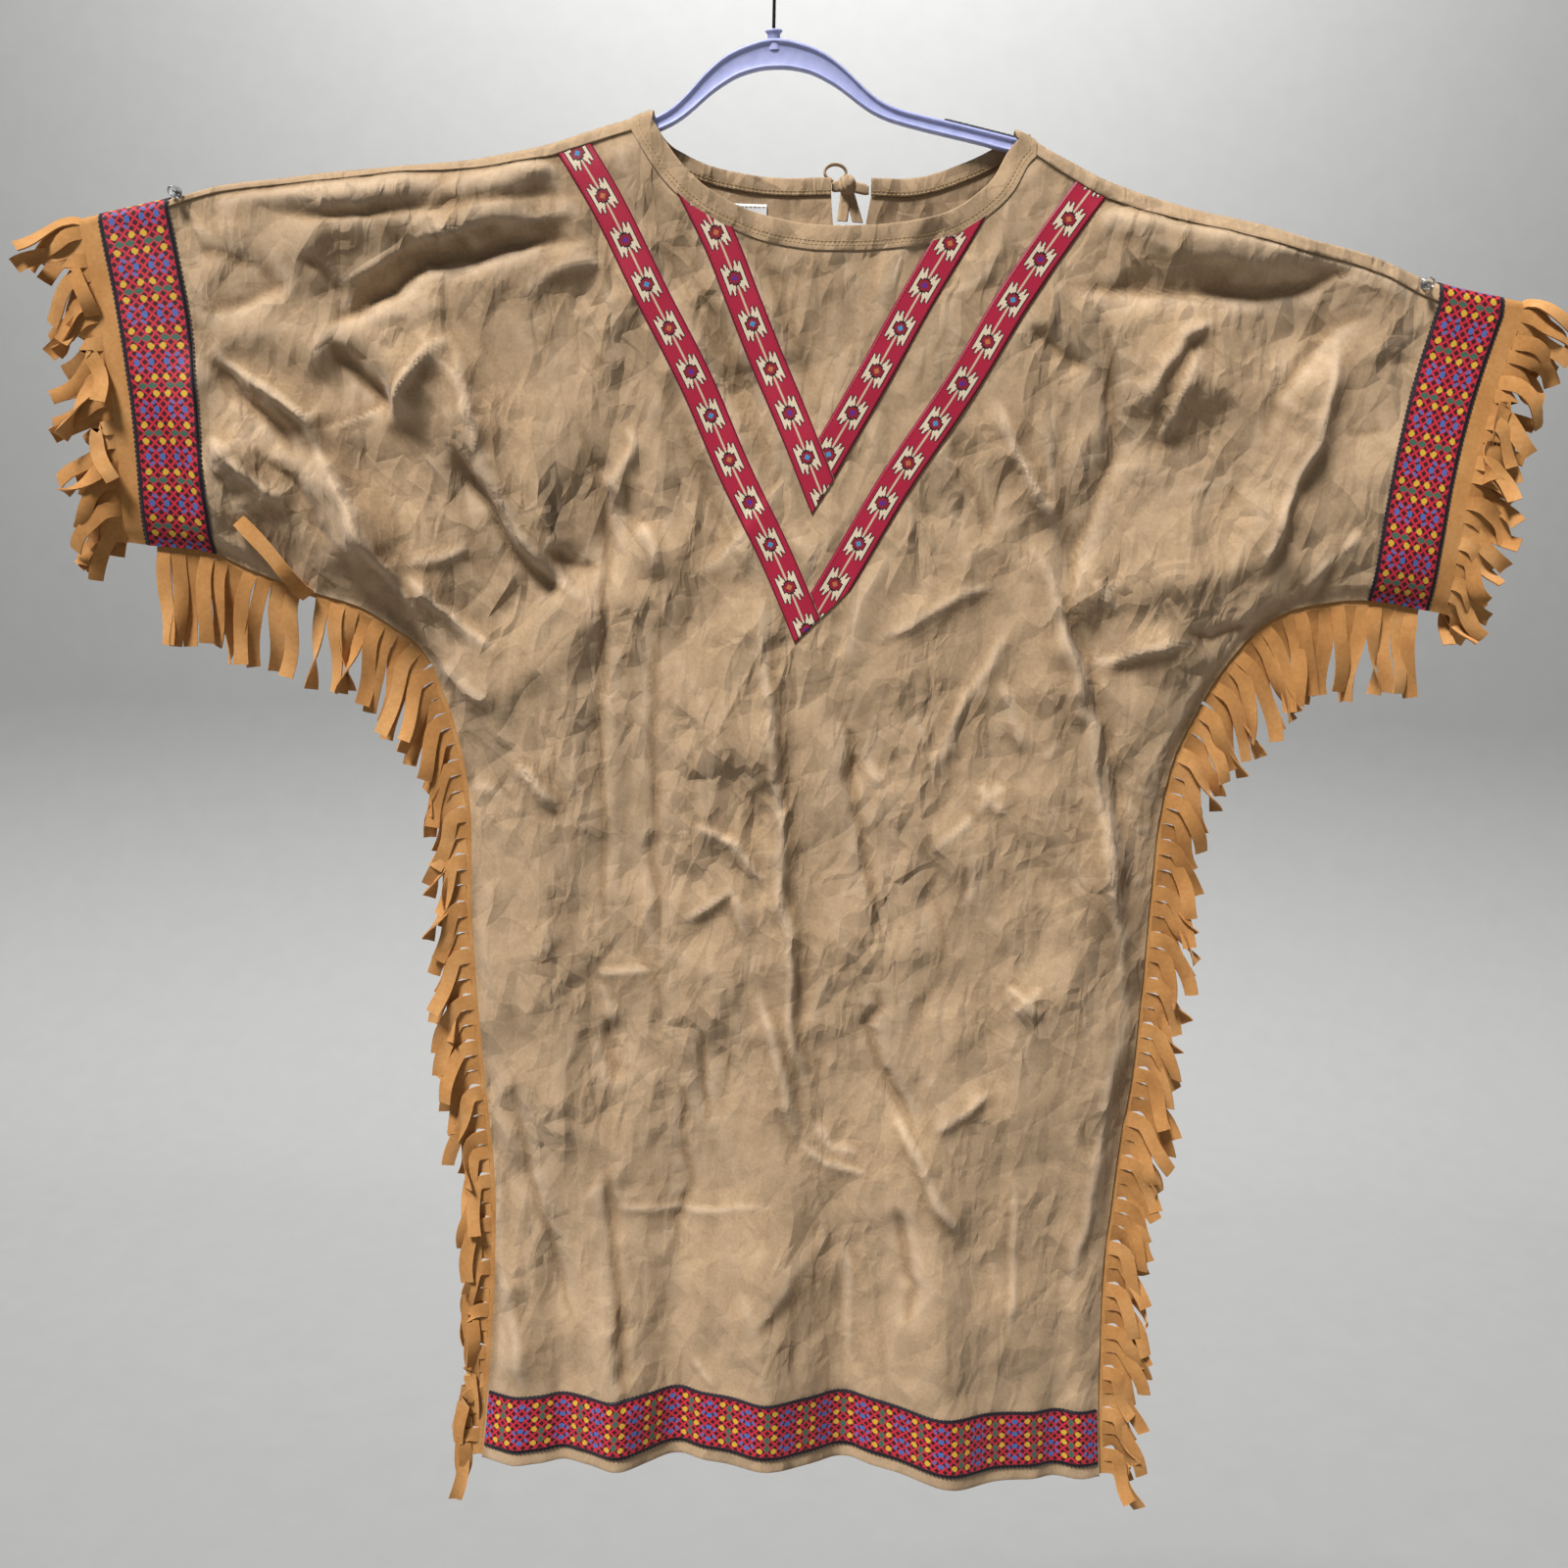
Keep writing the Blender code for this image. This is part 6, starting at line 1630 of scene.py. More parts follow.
@dataclass
class NeckBinding:
    """Folded cotton tape round the neck, open at the slit behind, and its knotted ends."""

    form: HangingForm
    dressing: Dressing
    sewing: Sewing
    gap: float = 0.35 * MM
    widths: tuple = (("back", 12 * MM), ("over", 13 * MM), ("front", 15 * MM))
    half_thick: float = 1.25 * MM
    overlap: float = -0.12
    columns: int = 100
    distances: tuple = (0.0, 0.12, 0.3, 0.5, 0.7, 0.88, 1.0)
    knot: tuple = (57, 17, -174)
    knot_radii: tuple = (6.5, 6, 7.5)
    tie_width: float = 8.2 * MM
    tie_thick: float = 1.8 * MM

    def stretch(self, kind: str, shares: Grid, side: int) -> Grid:
        """One stretch of the tape beside the front's or a back's neck edge."""
        back = kind == "back"
        x, z = self.form.lay_out(shares, np.zeros(len(shares)), back, side)
        along = unit(np.stack([np.gradient(x), np.gradient(z)], 1))
        inward = np.stack([-along[:, 1], along[:, 0]], 1)
        inward[inward[:, 1] < 0] *= -1
        share = np.array((self.overlap,) + self.distances)
        reach = self.gap + share[:, None, None] * dict(self.widths)[kind]
        plan = np.stack([x, z], 1)[None] + inward[None] * reach
        return self.form.at(plan[..., 0], plan[..., 1], back)

    def over(self, edge: float, inward: float, count: int = 12) -> Grid:
        """The stretch over a shoulder, from the back to the front or on from there."""
        share = np.array((self.overlap,) + self.distances)
        x = edge + inward * (self.gap + share * dict(self.widths)["over"])
        angles = [math.pi * s / count for s in range(1, count)]
        if inward > 0:
            angles = angles[::-1]
        return np.stack([self.form.over_shoulder(x, angle) for angle in angles], 1)

    def build_binding(self) -> bpy.types.Object:
        """Makes the tape with a rounded edge, and its stitching."""
        form, low = self.form, self.form.neck_share
        half = self.columns // 2
        rows = np.concatenate([
            self.stretch("back", np.linspace(0.5, low, half + 1), -1), self.over(form.neck_left, 1),
            self.stretch("front", np.linspace(low, 1 - low, 2 * half + 1), 0), self.over(form.neck_right, -1),
            self.stretch("back", np.linspace(1 - low, 0.5, half + 1), 1),
        ], axis=1)
        middle = rows.shape[1] // 2
        normals = unit(np.cross(np.gradient(rows, axis=0), np.gradient(rows, axis=1)))
        if normals[3, middle, 1] > 0:
            normals = -normals
        width_way = unit(rows[-1] - rows[-2])
        places = np.linspace(0, 60, rows.shape[1])
        pucker = 0.16 * MM * soft_noise(places, places * 0.3, 1.0, 5)[None, :, None]
        swell = np.array([0.75, 1.0, 0.8, 1.05, 1.15, 1.1, 1.0, 0.85])[:, None, None] * self.half_thick
        outer = rows + normals * (swell + pucker)
        inner = rows - normals * swell
        inner[0] = rows[1] - normals[1] * self.half_thick * 0.6
        cap = [
            rows[-1] + normals[-1] * self.half_thick * 0.85 * math.cos(a) + width_way * 0.9 * MM * math.sin(a)
            for a in np.linspace(0, math.pi, 6)[1:-1]
        ]
        loop = np.concatenate([outer, np.array(cap), inner[::-1]])
        obj = new_object("neck_binding_tape", loop.reshape(-1, 3), quads(*loop.shape[:2]))
        set_values(obj.data, "hollow", np.zeros(len(obj.data.vertices)))
        for row in (2, 3):
            self.sewing.run(outer[row], normals[row], 0.15 * MM)
            self.sewing.run(inner[row], -normals[row], 0.15 * MM)
        return self.dressing.settle(
            obj, "neck_binding", self.dressing.finishes.cotton, (0.034, 0.66), ("hanger",)
        )

    def band(self, path: list, across: list, width: float) -> tuple[Grid, Grid]:
        """Points and faces of a folded strip of tape along a path.

        Args:
            path: points in millimetres.
            across: the direction of its width at each.
            width: its width.

        Returns:
            Its points and its faces.
        """
        points, sides = np.array(path, float) * MM, np.array(across, float)
        places, fine = np.linspace(0, 1, len(points)), np.linspace(0, 1, 25)
        points = along_line(points, places, fine)
        for _ in range(6):
            points[1:-1] = (points[:-2] + 2 * points[1:-1] + points[2:]) / 4
        side = unit(along_line(sides, places, fine))
        up = unit(np.cross(unit(np.gradient(points, axis=0)), side))
        thick = self.tie_thick / 2
        ring = (
            (-1, -0.5), (-0.6, -1), (0, -0.75), (0.6, -1), (1, -0.5), (1, 0.5), (0.6, 1), (0, 0.8), (-0.6, 1),
            (-1, 0.5),
        )
        waist = 1 - 0.25 * np.exp(-(fine / 0.12) ** 2)[:, None]
        loop = [points + side * a * width / 2 * waist + up * b * thick for a, b in ring]
        grid = np.stack(loop, 1)
        faces = quads(grid.shape[0], grid.shape[1], closed=True).tolist()
        return grid.reshape(-1, 3), np.array(faces)

    def build_tie(self) -> bpy.types.Object:
        """Makes the knot with its loop and two ends."""
        heap = Heap()
        knot = np.array(self.knot, float)
        up, back, aslant = (0, 0, 1), (0, 1, 0), (0.96, 0.28, 0)
        for end in ((45.6, 14.5, -176), (73.4, 14.5, -178)):
            path = [np.array(end) + (knot - end) * t for t in (0, 0.5, 1)]
            heap.add(*self.band(path, [up] * 3, self.tie_width))
        path = []
        for step in range(9):
            angle = math.radians(-60 + 40 * step)
            path.append(knot + (-9 + 9 * math.cos(angle), 1, 9 + 6.5 * math.sin(angle)))
        heap.add(*self.band(path, [back] * 9, 7 * MM))
        for ends in (((0, 0, 0), (3.2, 2.4, -9), (6.3, 3.4, -18), (9, 3.2, -26)),
                     ((0, 0, 0), (-1, 1, -9), (-2, 0.6, -18), (-3, -0.8, -26))):
            heap.add(*self.band([knot + np.array(e) for e in ends], [aslant] * 4, self.tie_width))
        ball = bmesh.new()
        bmesh.ops.create_icosphere(ball, subdivisions=4, radius=1)
        points = np.array([v.co for v in ball.verts])
        corners = [[v.index for v in f.verts] for f in ball.faces]
        ball.free()
        wrap = np.sin(9 * points[:, 0] + 5 * points[:, 2] + 2 * np.sin(4 * points[:, 1]))
        points = points * (1 + 0.07 * wrap)[:, None] * np.array(self.knot_radii) + knot
        obj = heap.make("neck_tie_bow")
        other = new_object("neck_tie_knot", points * MM, corners)
        for piece in (obj, other):
            set_values(piece.data, "hollow", np.zeros(len(piece.data.vertices)))
            self.dressing.settle(piece, "neck_tie", self.dressing.finishes.cotton)
        return obj

    def build(self) -> None:
        """Makes the tape and the tie."""
        self.build_binding()
        self.build_tie()


@dataclass
class NeckLabel:
    """Blank satin label inside the back of the neck."""

    form: HangingForm
    dressing: Dressing
    sewing: Sewing
    box: tuple = (-39, -3, -238, -190)
    lift: float = 1.3 * MM

    def build(self) -> None:
        """Makes the label, folded at its top."""
        low_x, high_x, low_z, high_z = (v * MM for v in self.box)
        x, z = np.meshgrid(np.linspace(low_x, high_x, 19), np.linspace(high_z, low_z, 25))
        normals = self.form.facing(x, z, True)
        hang = (z - high_z) / (low_z - high_z)
        lift = self.lift + 1.2 * MM * hang ** 2 * (1 + 0.5 * np.sin(x * 260))
        top = self.form.at(x, z, True) - normals * lift[..., None]
        under = self.form.at(x, z, True) - normals * (0.5 * lift[..., None])
        grid = np.concatenate([top[::-1], under])
        obj = new_object("neck_label_tape", grid.reshape(-1, 3), quads(*grid.shape[:2]))
        self.dressing.settle(
            obj, "neck_label", self.dressing.finishes.label, (0.036, 0.096), ("neck_binding_tape",)
        )
        self.sewing.run(top[1], -normals[1], 0.1 * MM)


@dataclass
class Ribbons:
    """Two nested V shapes of narrow ribbon, and wide ribbon round the cuffs and the hem."""

    form: HangingForm
    dressing: Dressing
    sewing: Sewing
    lift: float = 1.05 * MM
    edge_lift: float = 0.25 * MM
    wide: float = 51 * MM
    outer_left: Table = ((-560, 57), (-448, 8), (-386, -24), (-321, -54), (-258, -88),
                         (-195, -121), (-130, -163))
    outer_right: Table = ((-560, 3), (-459, 61), (-402, 93), (-313, 150), (-259, 181),
                          (-202, 219), (-150, 257))
    inner_left: Table = ((-470, 71), (-392, 38), (-359, 24), (-295, -5), (-260, -20),
                         (-227, -34), (-170, -64))
    inner_right: Table = ((-470, -5), (-376, 46), (-317, 79), (-254, 113), (-211, 138), (-160, 167))
    outer_end: tuple = ((24, -517), (51, -490))
    inner_end: tuple = ((35, -420), (49, -397))
    picots: Heap = field(default_factory=Heap)
    picot_pitch: float = 3.5 * MM
    picot_reach: float = 1.2 * MM
    # One repeat of the narrow ribbon's pattern.
    repeat: float = 35.2 * MM

    def with_edges(self, top: Grid, normals: Grid, down: float) -> Grid:
        """Adds a turned-down edge to both sides of a strip of points."""
        first, last = (top[:, [i]] - normals[:, [i]] * down for i in (0, -1))
        return np.concatenate([first, top, last], axis=1)

    def scallops(self, edge: Grid, outward: Grid, normals: Grid) -> None:
        """Lays small flat loops along an edge.

        Args:
            edge: points of the edge.
            outward: the way out of the ribbon at each.
            normals: its normals there.
        """
        reached = reached_along(edge)
        starts = np.arange(self.picot_pitch / 2, reached[-1], self.picot_pitch)
        angles = np.linspace(0, math.pi, 5)
        points = []
        for angle in angles:
            places = starts - 0.42 * self.picot_pitch * math.cos(angle)
            out = unit(along_line(outward, reached, places))
            base = along_line(edge, reached, places) + along_line(normals, reached, places) * 0.1 * MM
            points.append(base + out * (self.picot_reach * math.sin(angle) - 0.1 * MM))
        grid = np.stack(points, 1).reshape(-1, 3)
        fans = np.array([(0, 1, 2), (0, 2, 3), (0, 3, 4)])
        faces = (fans[None] + 5 * np.arange(len(starts))[:, None, None]).reshape(-1, 3)
        self.picots.add(grid, faces)

    def narrow_ribbon(
        self, name: str, line: Table, end: tuple, phase: float, beside: Table | None = None
    ) -> None:
        """Makes one length of narrow ribbon.

        Args:
            name: the solid's name.
            line: height and across of its middle line.
            end: across and height of two points of its straight cut.
            phase: where the pattern starts, in repeats.
            beside: the middle line of the ribbon that it ends beside.
        """
        form = self.form
        columns = np.linspace(-1, 1, 13)
        heights = np.arange(line[-1][0] - 5, line[0][0], -0.5) * MM
        tip, corner = np.array(end, float) * MM
        cut = np.array([corner[1] - tip[1], -(corner[0] - tip[0])])
        neck = form.neck_table(False)
        grid_x, grid_z, grid_v = [], [], []
        slope = (smooth(heights + MM, line) - smooth(heights - MM, line)) / (2 * MM)
        middle = smooth(heights, line)
        reach = reached_along(np.stack([heights, middle], 1))
        inside = np.array([middle[len(middle) // 2], heights[len(heights) // 2]])
        keep = math.copysign(1, (inside - tip) @ cut)
        for distance in columns:
            x = middle + distance * form.narrow / 2 * np.sqrt(1 + slope ** 2)
            in_neck = (x > form.neck_left) & (x < form.neck_right)
            top = np.where(in_neck, smooth(x, neck), form.shoulder_height(x) - form.seam_drop(x))
            good = heights <= top
            good &= keep * ((x - tip[0]) * cut[0] + (heights - tip[1]) * cut[1]) >= 0
            if beside:
                good &= form.ribbon_warp(x, heights, beside) >= 1 + 2 * form.seam_gap / form.narrow
            first = int(np.argmax(good))
            bad = np.nonzero(~good[first:])[0]
            last = first + (int(bad[0]) if len(bad) else len(heights) - first) - 1
            places = np.linspace(first, last, 190)
            index = np.arange(len(heights))
            grid_x.append(np.interp(places, index, x))
            grid_z.append(np.interp(places, index, heights))
            along = reach - distance * form.narrow / 2 * slope
            grid_v.append(np.interp(places, index, along))
        x, z, v = (np.stack(g, 1) for g in (grid_x, grid_z, grid_v))
        normals = form.facing(x, z, False)
        top = form.at(x, z) + normals * self.lift
        grid = self.with_edges(top, normals, self.lift - self.edge_lift)
        grid = np.concatenate([grid, (grid[-1] - np.array([0, -0.8 * MM, 0]))[None]])
        across = np.broadcast_to(columns * form.narrow / 2, x.shape)
        across = np.pad(across, ((0, 1), (1, 1)), mode="edge")
        along = np.pad(v + phase * self.repeat, ((0, 1), (1, 1)), mode="edge")
        obj = new_object(name + "_weave", grid.reshape(-1, 3), quads(*grid.shape[:2]))
        set_uv(obj.data, across, along)
        length = float(np.median(v[-1] - v[0]))
        self.dressing.settle(
            obj, name, self.dressing.finishes.narrow, (0.025, round(length, 2)), ("tunic_front",)
        )
        for column in (1, -2):
            self.sewing.run(top[:, column], normals[:, column], 0.05 * MM)

    def wide_ribbon(self, name: str, path: Grid, normals: Grid, size: tuple, rests: str) -> None:
        """Makes one length of wide ribbon from its points.

        Args:
            name: the solid's name.
            path: points on the cloth, rows along the ribbon and columns across.
            normals: the cloth's normals there.
            size: width and length of the flat ribbon.
            rests: the piece that it is sewn on.
        """
        top = path + normals * self.lift
        columns = top.shape[1]
        reach = reached_along(top[:, columns // 2])
        across = np.broadcast_to(np.linspace(-self.wide / 2, self.wide / 2, columns), top.shape[:2])
        along = np.broadcast_to(reach[:, None], top.shape[:2])
        grid = self.with_edges(top, normals, self.lift - self.edge_lift)
        obj = new_object(name + "_weave", grid.reshape(-1, 3), quads(*grid.shape[:2]))
        set_uv(obj.data, *(np.pad(part, ((0, 0), (1, 1)), mode="edge") for part in (across, along)))
        self.dressing.settle(obj, name, self.dressing.finishes.border, size, (rests,))
        for first, second in ((0, 1), (-1, -2)):
            outward = unit(top[:, first] - top[:, second])
            self.scallops(top[:, first], outward, normals[:, first])
            self.sewing.run(top[:, second], normals[:, second], 0.05 * MM)

    def build_cuff(self, name: str, sign: int) -> None:
        """Makes the ribbon round one cuff."""
        rows = np.linspace(0, 1, 90)
        shares = np.linspace(0.8, 1.0, 21)
        places = -shares if sign < 0 else 1 + shares
        lines = [even_steps(self.form.round_sleeve(p, rows), 210) for p in places]
        path = np.stack(lines, 1)
        normals = lattice_normals(path, (0, 0, 1))
        if normals[20, 10, 1] > 0:
            normals = -normals
        rests = "tunic_back_left" if sign < 0 else "tunic_back_right"
        self.wide_ribbon(name, path, normals, (0.051, 0.5), rests)

    def build_hem(self, name: str, back: bool) -> None:
        """Makes the ribbon along the front's or the back's hem."""
        form = self.form
        low = 3 - form.ribbon_low / form.ribbon_top
        shares, rows = np.linspace(0.003, 0.997, 230), np.linspace(2, low, 21)
        x, z = form.lay_out(*np.meshgrid(shares, rows, indexing="ij"), back)
        rests = "tunic_back_left" if back else "tunic_front"
        self.wide_ribbon(name, form.at(x, z, back), form.facing(x, z, back), (0.051, 0.56), rests)

    def build(self) -> None:
        """Makes all the ribbons."""
        self.narrow_ribbon("v_ribbon_outer_left", self.outer_left, self.outer_end, 0.1)
        self.narrow_ribbon("v_ribbon_outer_right", self.outer_right, self.outer_end, 0.4, self.outer_left)
        self.narrow_ribbon("v_ribbon_inner_left", self.inner_left, self.inner_end, 0.7)
        self.narrow_ribbon("v_ribbon_inner_right", self.inner_right, self.inner_end, 0.2, self.inner_left)
        for side, sign in (("left", -1), ("right", 1)):
            self.build_cuff(f"cuff_ribbon_{side}", sign)
        self.build_hem("hem_ribbon_front", False)
        self.build_hem("hem_ribbon_back", True)
        edging = self.picots.make("border_picots")
        self.dressing.settle(edging, "hem_ribbon_front", self.dressing.finishes.picot, stands_for=False)


@dataclass
class Fringes:
    """Imitation suede cut into strands: round the cuffs, and let into the underarm and side seams."""

    form: HangingForm
    dressing: Dressing
    thick: float = 1.1 * MM
    strand_width: float = 11.2 * MM
    steps: int = 13
    cuff_heading: float = 15 * MM
    cuff_strands: int = 48
    underarm_strands: int = 20
    side_strands: int = 53
    tape_inside: float = 6 * MM
    tape_outside: float = 4 * MM
    tape_end_gap: float = 1.3 * MM
    underarm_steps: tuple = (9 * MM, 60 * MM)
    side_steps: tuple = (9 * MM, 48 * MM)
    cuff_steps: tuple = (13 * MM, 26 * MM)
    # The slits reach deeper than the solid's, as the loose strands in the photograph do.
    cuff_deeper: float = 10 * MM
    cuff_stretch: tuple = (1.0, 0.8)
    cuff_droop: tuple = (0.45, 1.1, 0.9)
    cuff_layers: tuple = (0.4 * MM, 2.4 * MM, 4.4 * MM)
    seam_layers: tuple = (-2.2 * MM, 0.0, 2.2 * MM)
    flipped: float = 0.16
    twist: float = 0.45
    side_lean: Table = ((-1230, 0.08, 0.42), (-1040, 0.06, 0.45), (-860, 0.3, 0.42), (-540, 0.34, 0.4))
    # One strand of the left sleeve has been thrown up over the front: which, which way, how far off.
    thrown: int = 10
    thrown_way: tuple = (-0.58, 0.0, 0.81)
    thrown_layer: float = -17.0 * MM

    def strand(
        self, heap: Heap, left: Grid, right: Grid, outward: Grid, end: Grid, normal: Grid,
        layer: float, length: float, turned: float, chance: np.random.Generator, curl: float,
    ) -> None:
        """Adds one strand: a narrow strip that turns down, twists and curls.

        Args:
            heap: where it goes.
            left: one corner of its root.
            right: the other corner.
            outward: the way it leaves the heading.
            end: the way it hangs in the end.
            normal: the side that its layer lies on.
            layer: how far it stands off there.
            length: its length.
            turned: share of its turn down that it has made at its root.
            chance: where its curl comes from.
            curl: how lively it is.
        """
        share = np.linspace(0, 1, self.steps)
        turn = np.clip(share / 0.32, 0, 1)
        turn = np.maximum(turned, turn * turn * (3 - 2 * turn))[:, None]
        way = outward * (1 - turn) + end * turn
        way = unit(way - normal * (way @ normal)[:, None])
        root = (left + right) / 2
        step = length / (self.steps - 1)
        path = root + np.concatenate([[np.zeros(3)], np.cumsum(way[:-1] * step, axis=0)])
        across = np.cross(normal, way)
        across *= np.sign(across @ (right - left))[:, None]
        phase, waves = chance.uniform(0, 6.28, 2), chance.uniform(0.6, 1.3, 2)
        sway = curl * 3.2 * MM * (np.sin(waves[0] * 4 * share + phase[0]) - math.sin(phase[0])) * share
        lift = layer * np.minimum(1, 0.4 + 0.6 * share / 0.3) * np.minimum(1, share / 0.08)
        lift = lift + curl * 4.5 * MM * np.sin(waves[1] * 3.2 * share + phase[1]) * share ** 1.5
        path = path + across * sway[:, None] + normal * lift[:, None]
        twist = chance.normal(0, self.twist) * share ** 1.3
        if chance.random() < 0.1:
            twist = twist + math.copysign(2.4, chance.normal()) * share ** 2
        along = unit(np.gradient(path, axis=0))
        flat = unit(across - along * (across * along).sum(1)[:, None])
        up = np.cross(along, flat)
        up *= np.sign(up @ normal)[:, None]
        side = flat * np.cos(twist)[:, None] + up * np.sin(twist)[:, None]
        up = unit(np.cross(along, side))
        root_width = np.linalg.norm(right - left)
        width = (root_width + (self.strand_width - root_width) * np.minimum(1, share * 6))[:, None]
        width = width * (1 + 0.04 * np.sin(9 * share + phase[0]))[:, None]
        cup = curl * chance.uniform(-1.3, 1.3) * MM
        cup = (cup * np.sin(math.pi * np.minimum(1, share * 1.3) / 2))[:, None]
        half, thick = width / 2, self.thick / 2
        ring = [
            path - side * half + up * thick, path + up * (cup + thick), path + side * half + up * thick,
            path + side * half - up * thick, path + up * (cup - thick), path - side * half - up * thick,
        ]
        grid = np.stack(ring, 1)
        faces = quads(self.steps, 6, closed=True).tolist()
        last = 6 * (self.steps - 1)
        faces += [[last, last + 1, last + 4, last + 5], [last + 1, last + 2, last + 3, last + 4]]
        faces += [[5, 4, 1, 0], [4, 3, 2, 1]]
        tone = 0.5 + 0.16 * chance.uniform(-1, 1) + 0.1 * (np.repeat(share, 6) - 0.5)
        heap.add(grid, np.array(faces), tone=tone)

    def heading(self, heap: Heap, lines: Grid, normals: Grid) -> None:
        """Adds the uncut strip, as a wall with a cut edge."""
        outer, inner = lines + normals * self.thick / 2, lines - normals * self.thick / 2
        loop = np.concatenate([outer, inner[::-1]]).transpose(1, 0, 2)
        count = loop.shape[1]
        heap.add(loop, quads(len(loop), count, closed=True), tone=0.52)
        rows = count // 2
        for first in (0, (len(loop) - 1) * count):
            ends = [[i, i + 1, count - 2 - i, count - 1 - i] for i in range(rows - 1)]
            heap.faces += (np.array(ends) + first + heap.count - loop.shape[0] * count).tolist()

    def build_cuff(self, name: str, sign: int) -> None:
        """Makes the fringe round one cuff."""
        form, count = self.form, self.cuff_strands
        root_share = 1.0 + 0.2 * self.cuff_heading / (51 * MM)
        rows, fine = np.linspace(0, 1, 80), 4
        lines = []
        for share in (form.cuff_end + 0.0028, 1.0, 1.02, 1.04, root_share):
            place = -share if sign < 0 else 1 + share
            lines.append(even_steps(form.round_sleeve(place, rows), count * fine))
        lines = np.array(lines)
        normals = unit(np.cross(np.gradient(lines, axis=0), np.gradient(lines, axis=1)))
        if normals[2, 20, 1] > 0:
            normals = -normals
        heap = Heap()
        self.heading(heap, lines, normals)
        inner, roots = lines[1, ::fine], lines[-1, ::fine]
        outward = unit((roots[1:] + roots[:-1]) / 2 - (inner[1:] + inner[:-1]) / 2)
        along = np.diff(roots, axis=0)
        side = unit(np.cross(along, outward) * -sign)
        chance = np.random.default_rng(11 if sign < 0 else 12)
        least, random, outer = self.cuff_droop
        stretch = self.cuff_stretch[0 if sign < 0 else 1]
        for i in range(count):
            height = abs(i - count / 2) / (count / 2)
            droop = least + random * chance.random() + outer * height ** 3
            end = unit(np.array([sign * 1.0, 0.0, -droop]))
            if chance.random() < self.flipped:
                end = unit(np.array([-0.25 * sign, -0.5 * (1 if side[i][1] > 0 else -1), -1.0]))
            steps = [step * stretch * (0.85 + 0.3 * chance.random()) for step in self.cuff_steps]
            length = sum(steps) * 1.06 + self.cuff_deeper
            layer = self.cuff_layers[i % 3]
            self.strand(
                heap, roots[i], roots[i + 1], outward[i], end, side[i], layer, length, 0.0, chance, 1.7
            )
        obj = heap.make(name + "_suede", 50)
        rests = "tunic_back_left" if sign < 0 else "tunic_back_right"
        self.dressing.settle(obj, name, self.dressing.finishes.suede, (0.5, 0.067), (rests,))

    def build_seam(self, name: str, sign: int, part: str) -> None:
        """Makes the fringe in one underarm or side seam."""
        form = self.form
        count = self.underarm_strands if part == "underarm" else self.side_strands
        if part == "underarm":
            shares = np.linspace(form.cuff_end, 0, 200)
            x, z = form.lay_out(-shares if sign < 0 else 1 + shares, np.ones(200))
        else:
            x, z = form.lay_out(np.full(300, 0.0 if sign < 0 else 1.0), np.linspace(1, 3, 300))
        edge = even_steps(np.stack([x, np.zeros(len(x)), z], 1), count)
        along = unit(np.gradient(edge, axis=0))
        across = np.cross(along, (0, 1, 0)) * sign
        edge[0] += along[0] * self.tape_end_gap
        edge[-1] -= along[-1] * self.tape_end_gap
        roots = edge + across * self.tape_outside
        lines = np.array([edge - across * self.tape_inside, edge, roots])
        heap = Heap()
        self.heading(heap, lines, np.broadcast_to(np.array([0.0, 1.0, 0.0]), lines.shape))
        outward = unit((across[1:] + across[:-1]) / 2)
        chance = np.random.default_rng(21 if sign < 0 else 22)
        lengths = self.underarm_steps if part == "underarm" else self.side_steps
        column = 1 if sign < 0 else 2
        heights = [row[0] * MM for row in self.side_lean]
        normal = np.array([0.0, 1.0, 0.0])
        for i in range(count):
            lean = np.interp(roots[i][2], heights, [row[column] for row in self.side_lean])
            swing = lean * abs(outward[i][0]) + 0.09 * (chance.random() - 0.5)
            end = unit(np.array([sign * swing, 0.0, -1.0]))
            length = (lengths[0] + lengths[1] * (0.9 + 0.2 * chance.random())) * 1.02
            layer, turned = self.seam_layers[i % 3], 0.05
            if name == "underarm_fringe_left" and i == self.thrown:
                end, layer, turned = unit(np.array(self.thrown_way)), self.thrown_layer, 1.0
            self.strand(
                heap, roots[i], roots[i + 1], outward[i], end, normal, layer, length, turned, chance, 1.1
            )
        obj = heap.make(name + "_suede", 50)
        size = (0.27, 0.079) if part == "underarm" else (0.69, 0.067)
        self.dressing.settle(obj, name, self.dressing.finishes.suede, size, ("tunic_front",))

    def build(self) -> None:
        """Makes all the fringes."""
        for side, sign in (("left", -1), ("right", 1)):
            self.build_cuff(f"cuff_fringe_{side}", sign)
            self.build_seam(f"underarm_fringe_{side}", sign, "underarm")
            self.build_seam(f"side_fringe_{side}", sign, "side")


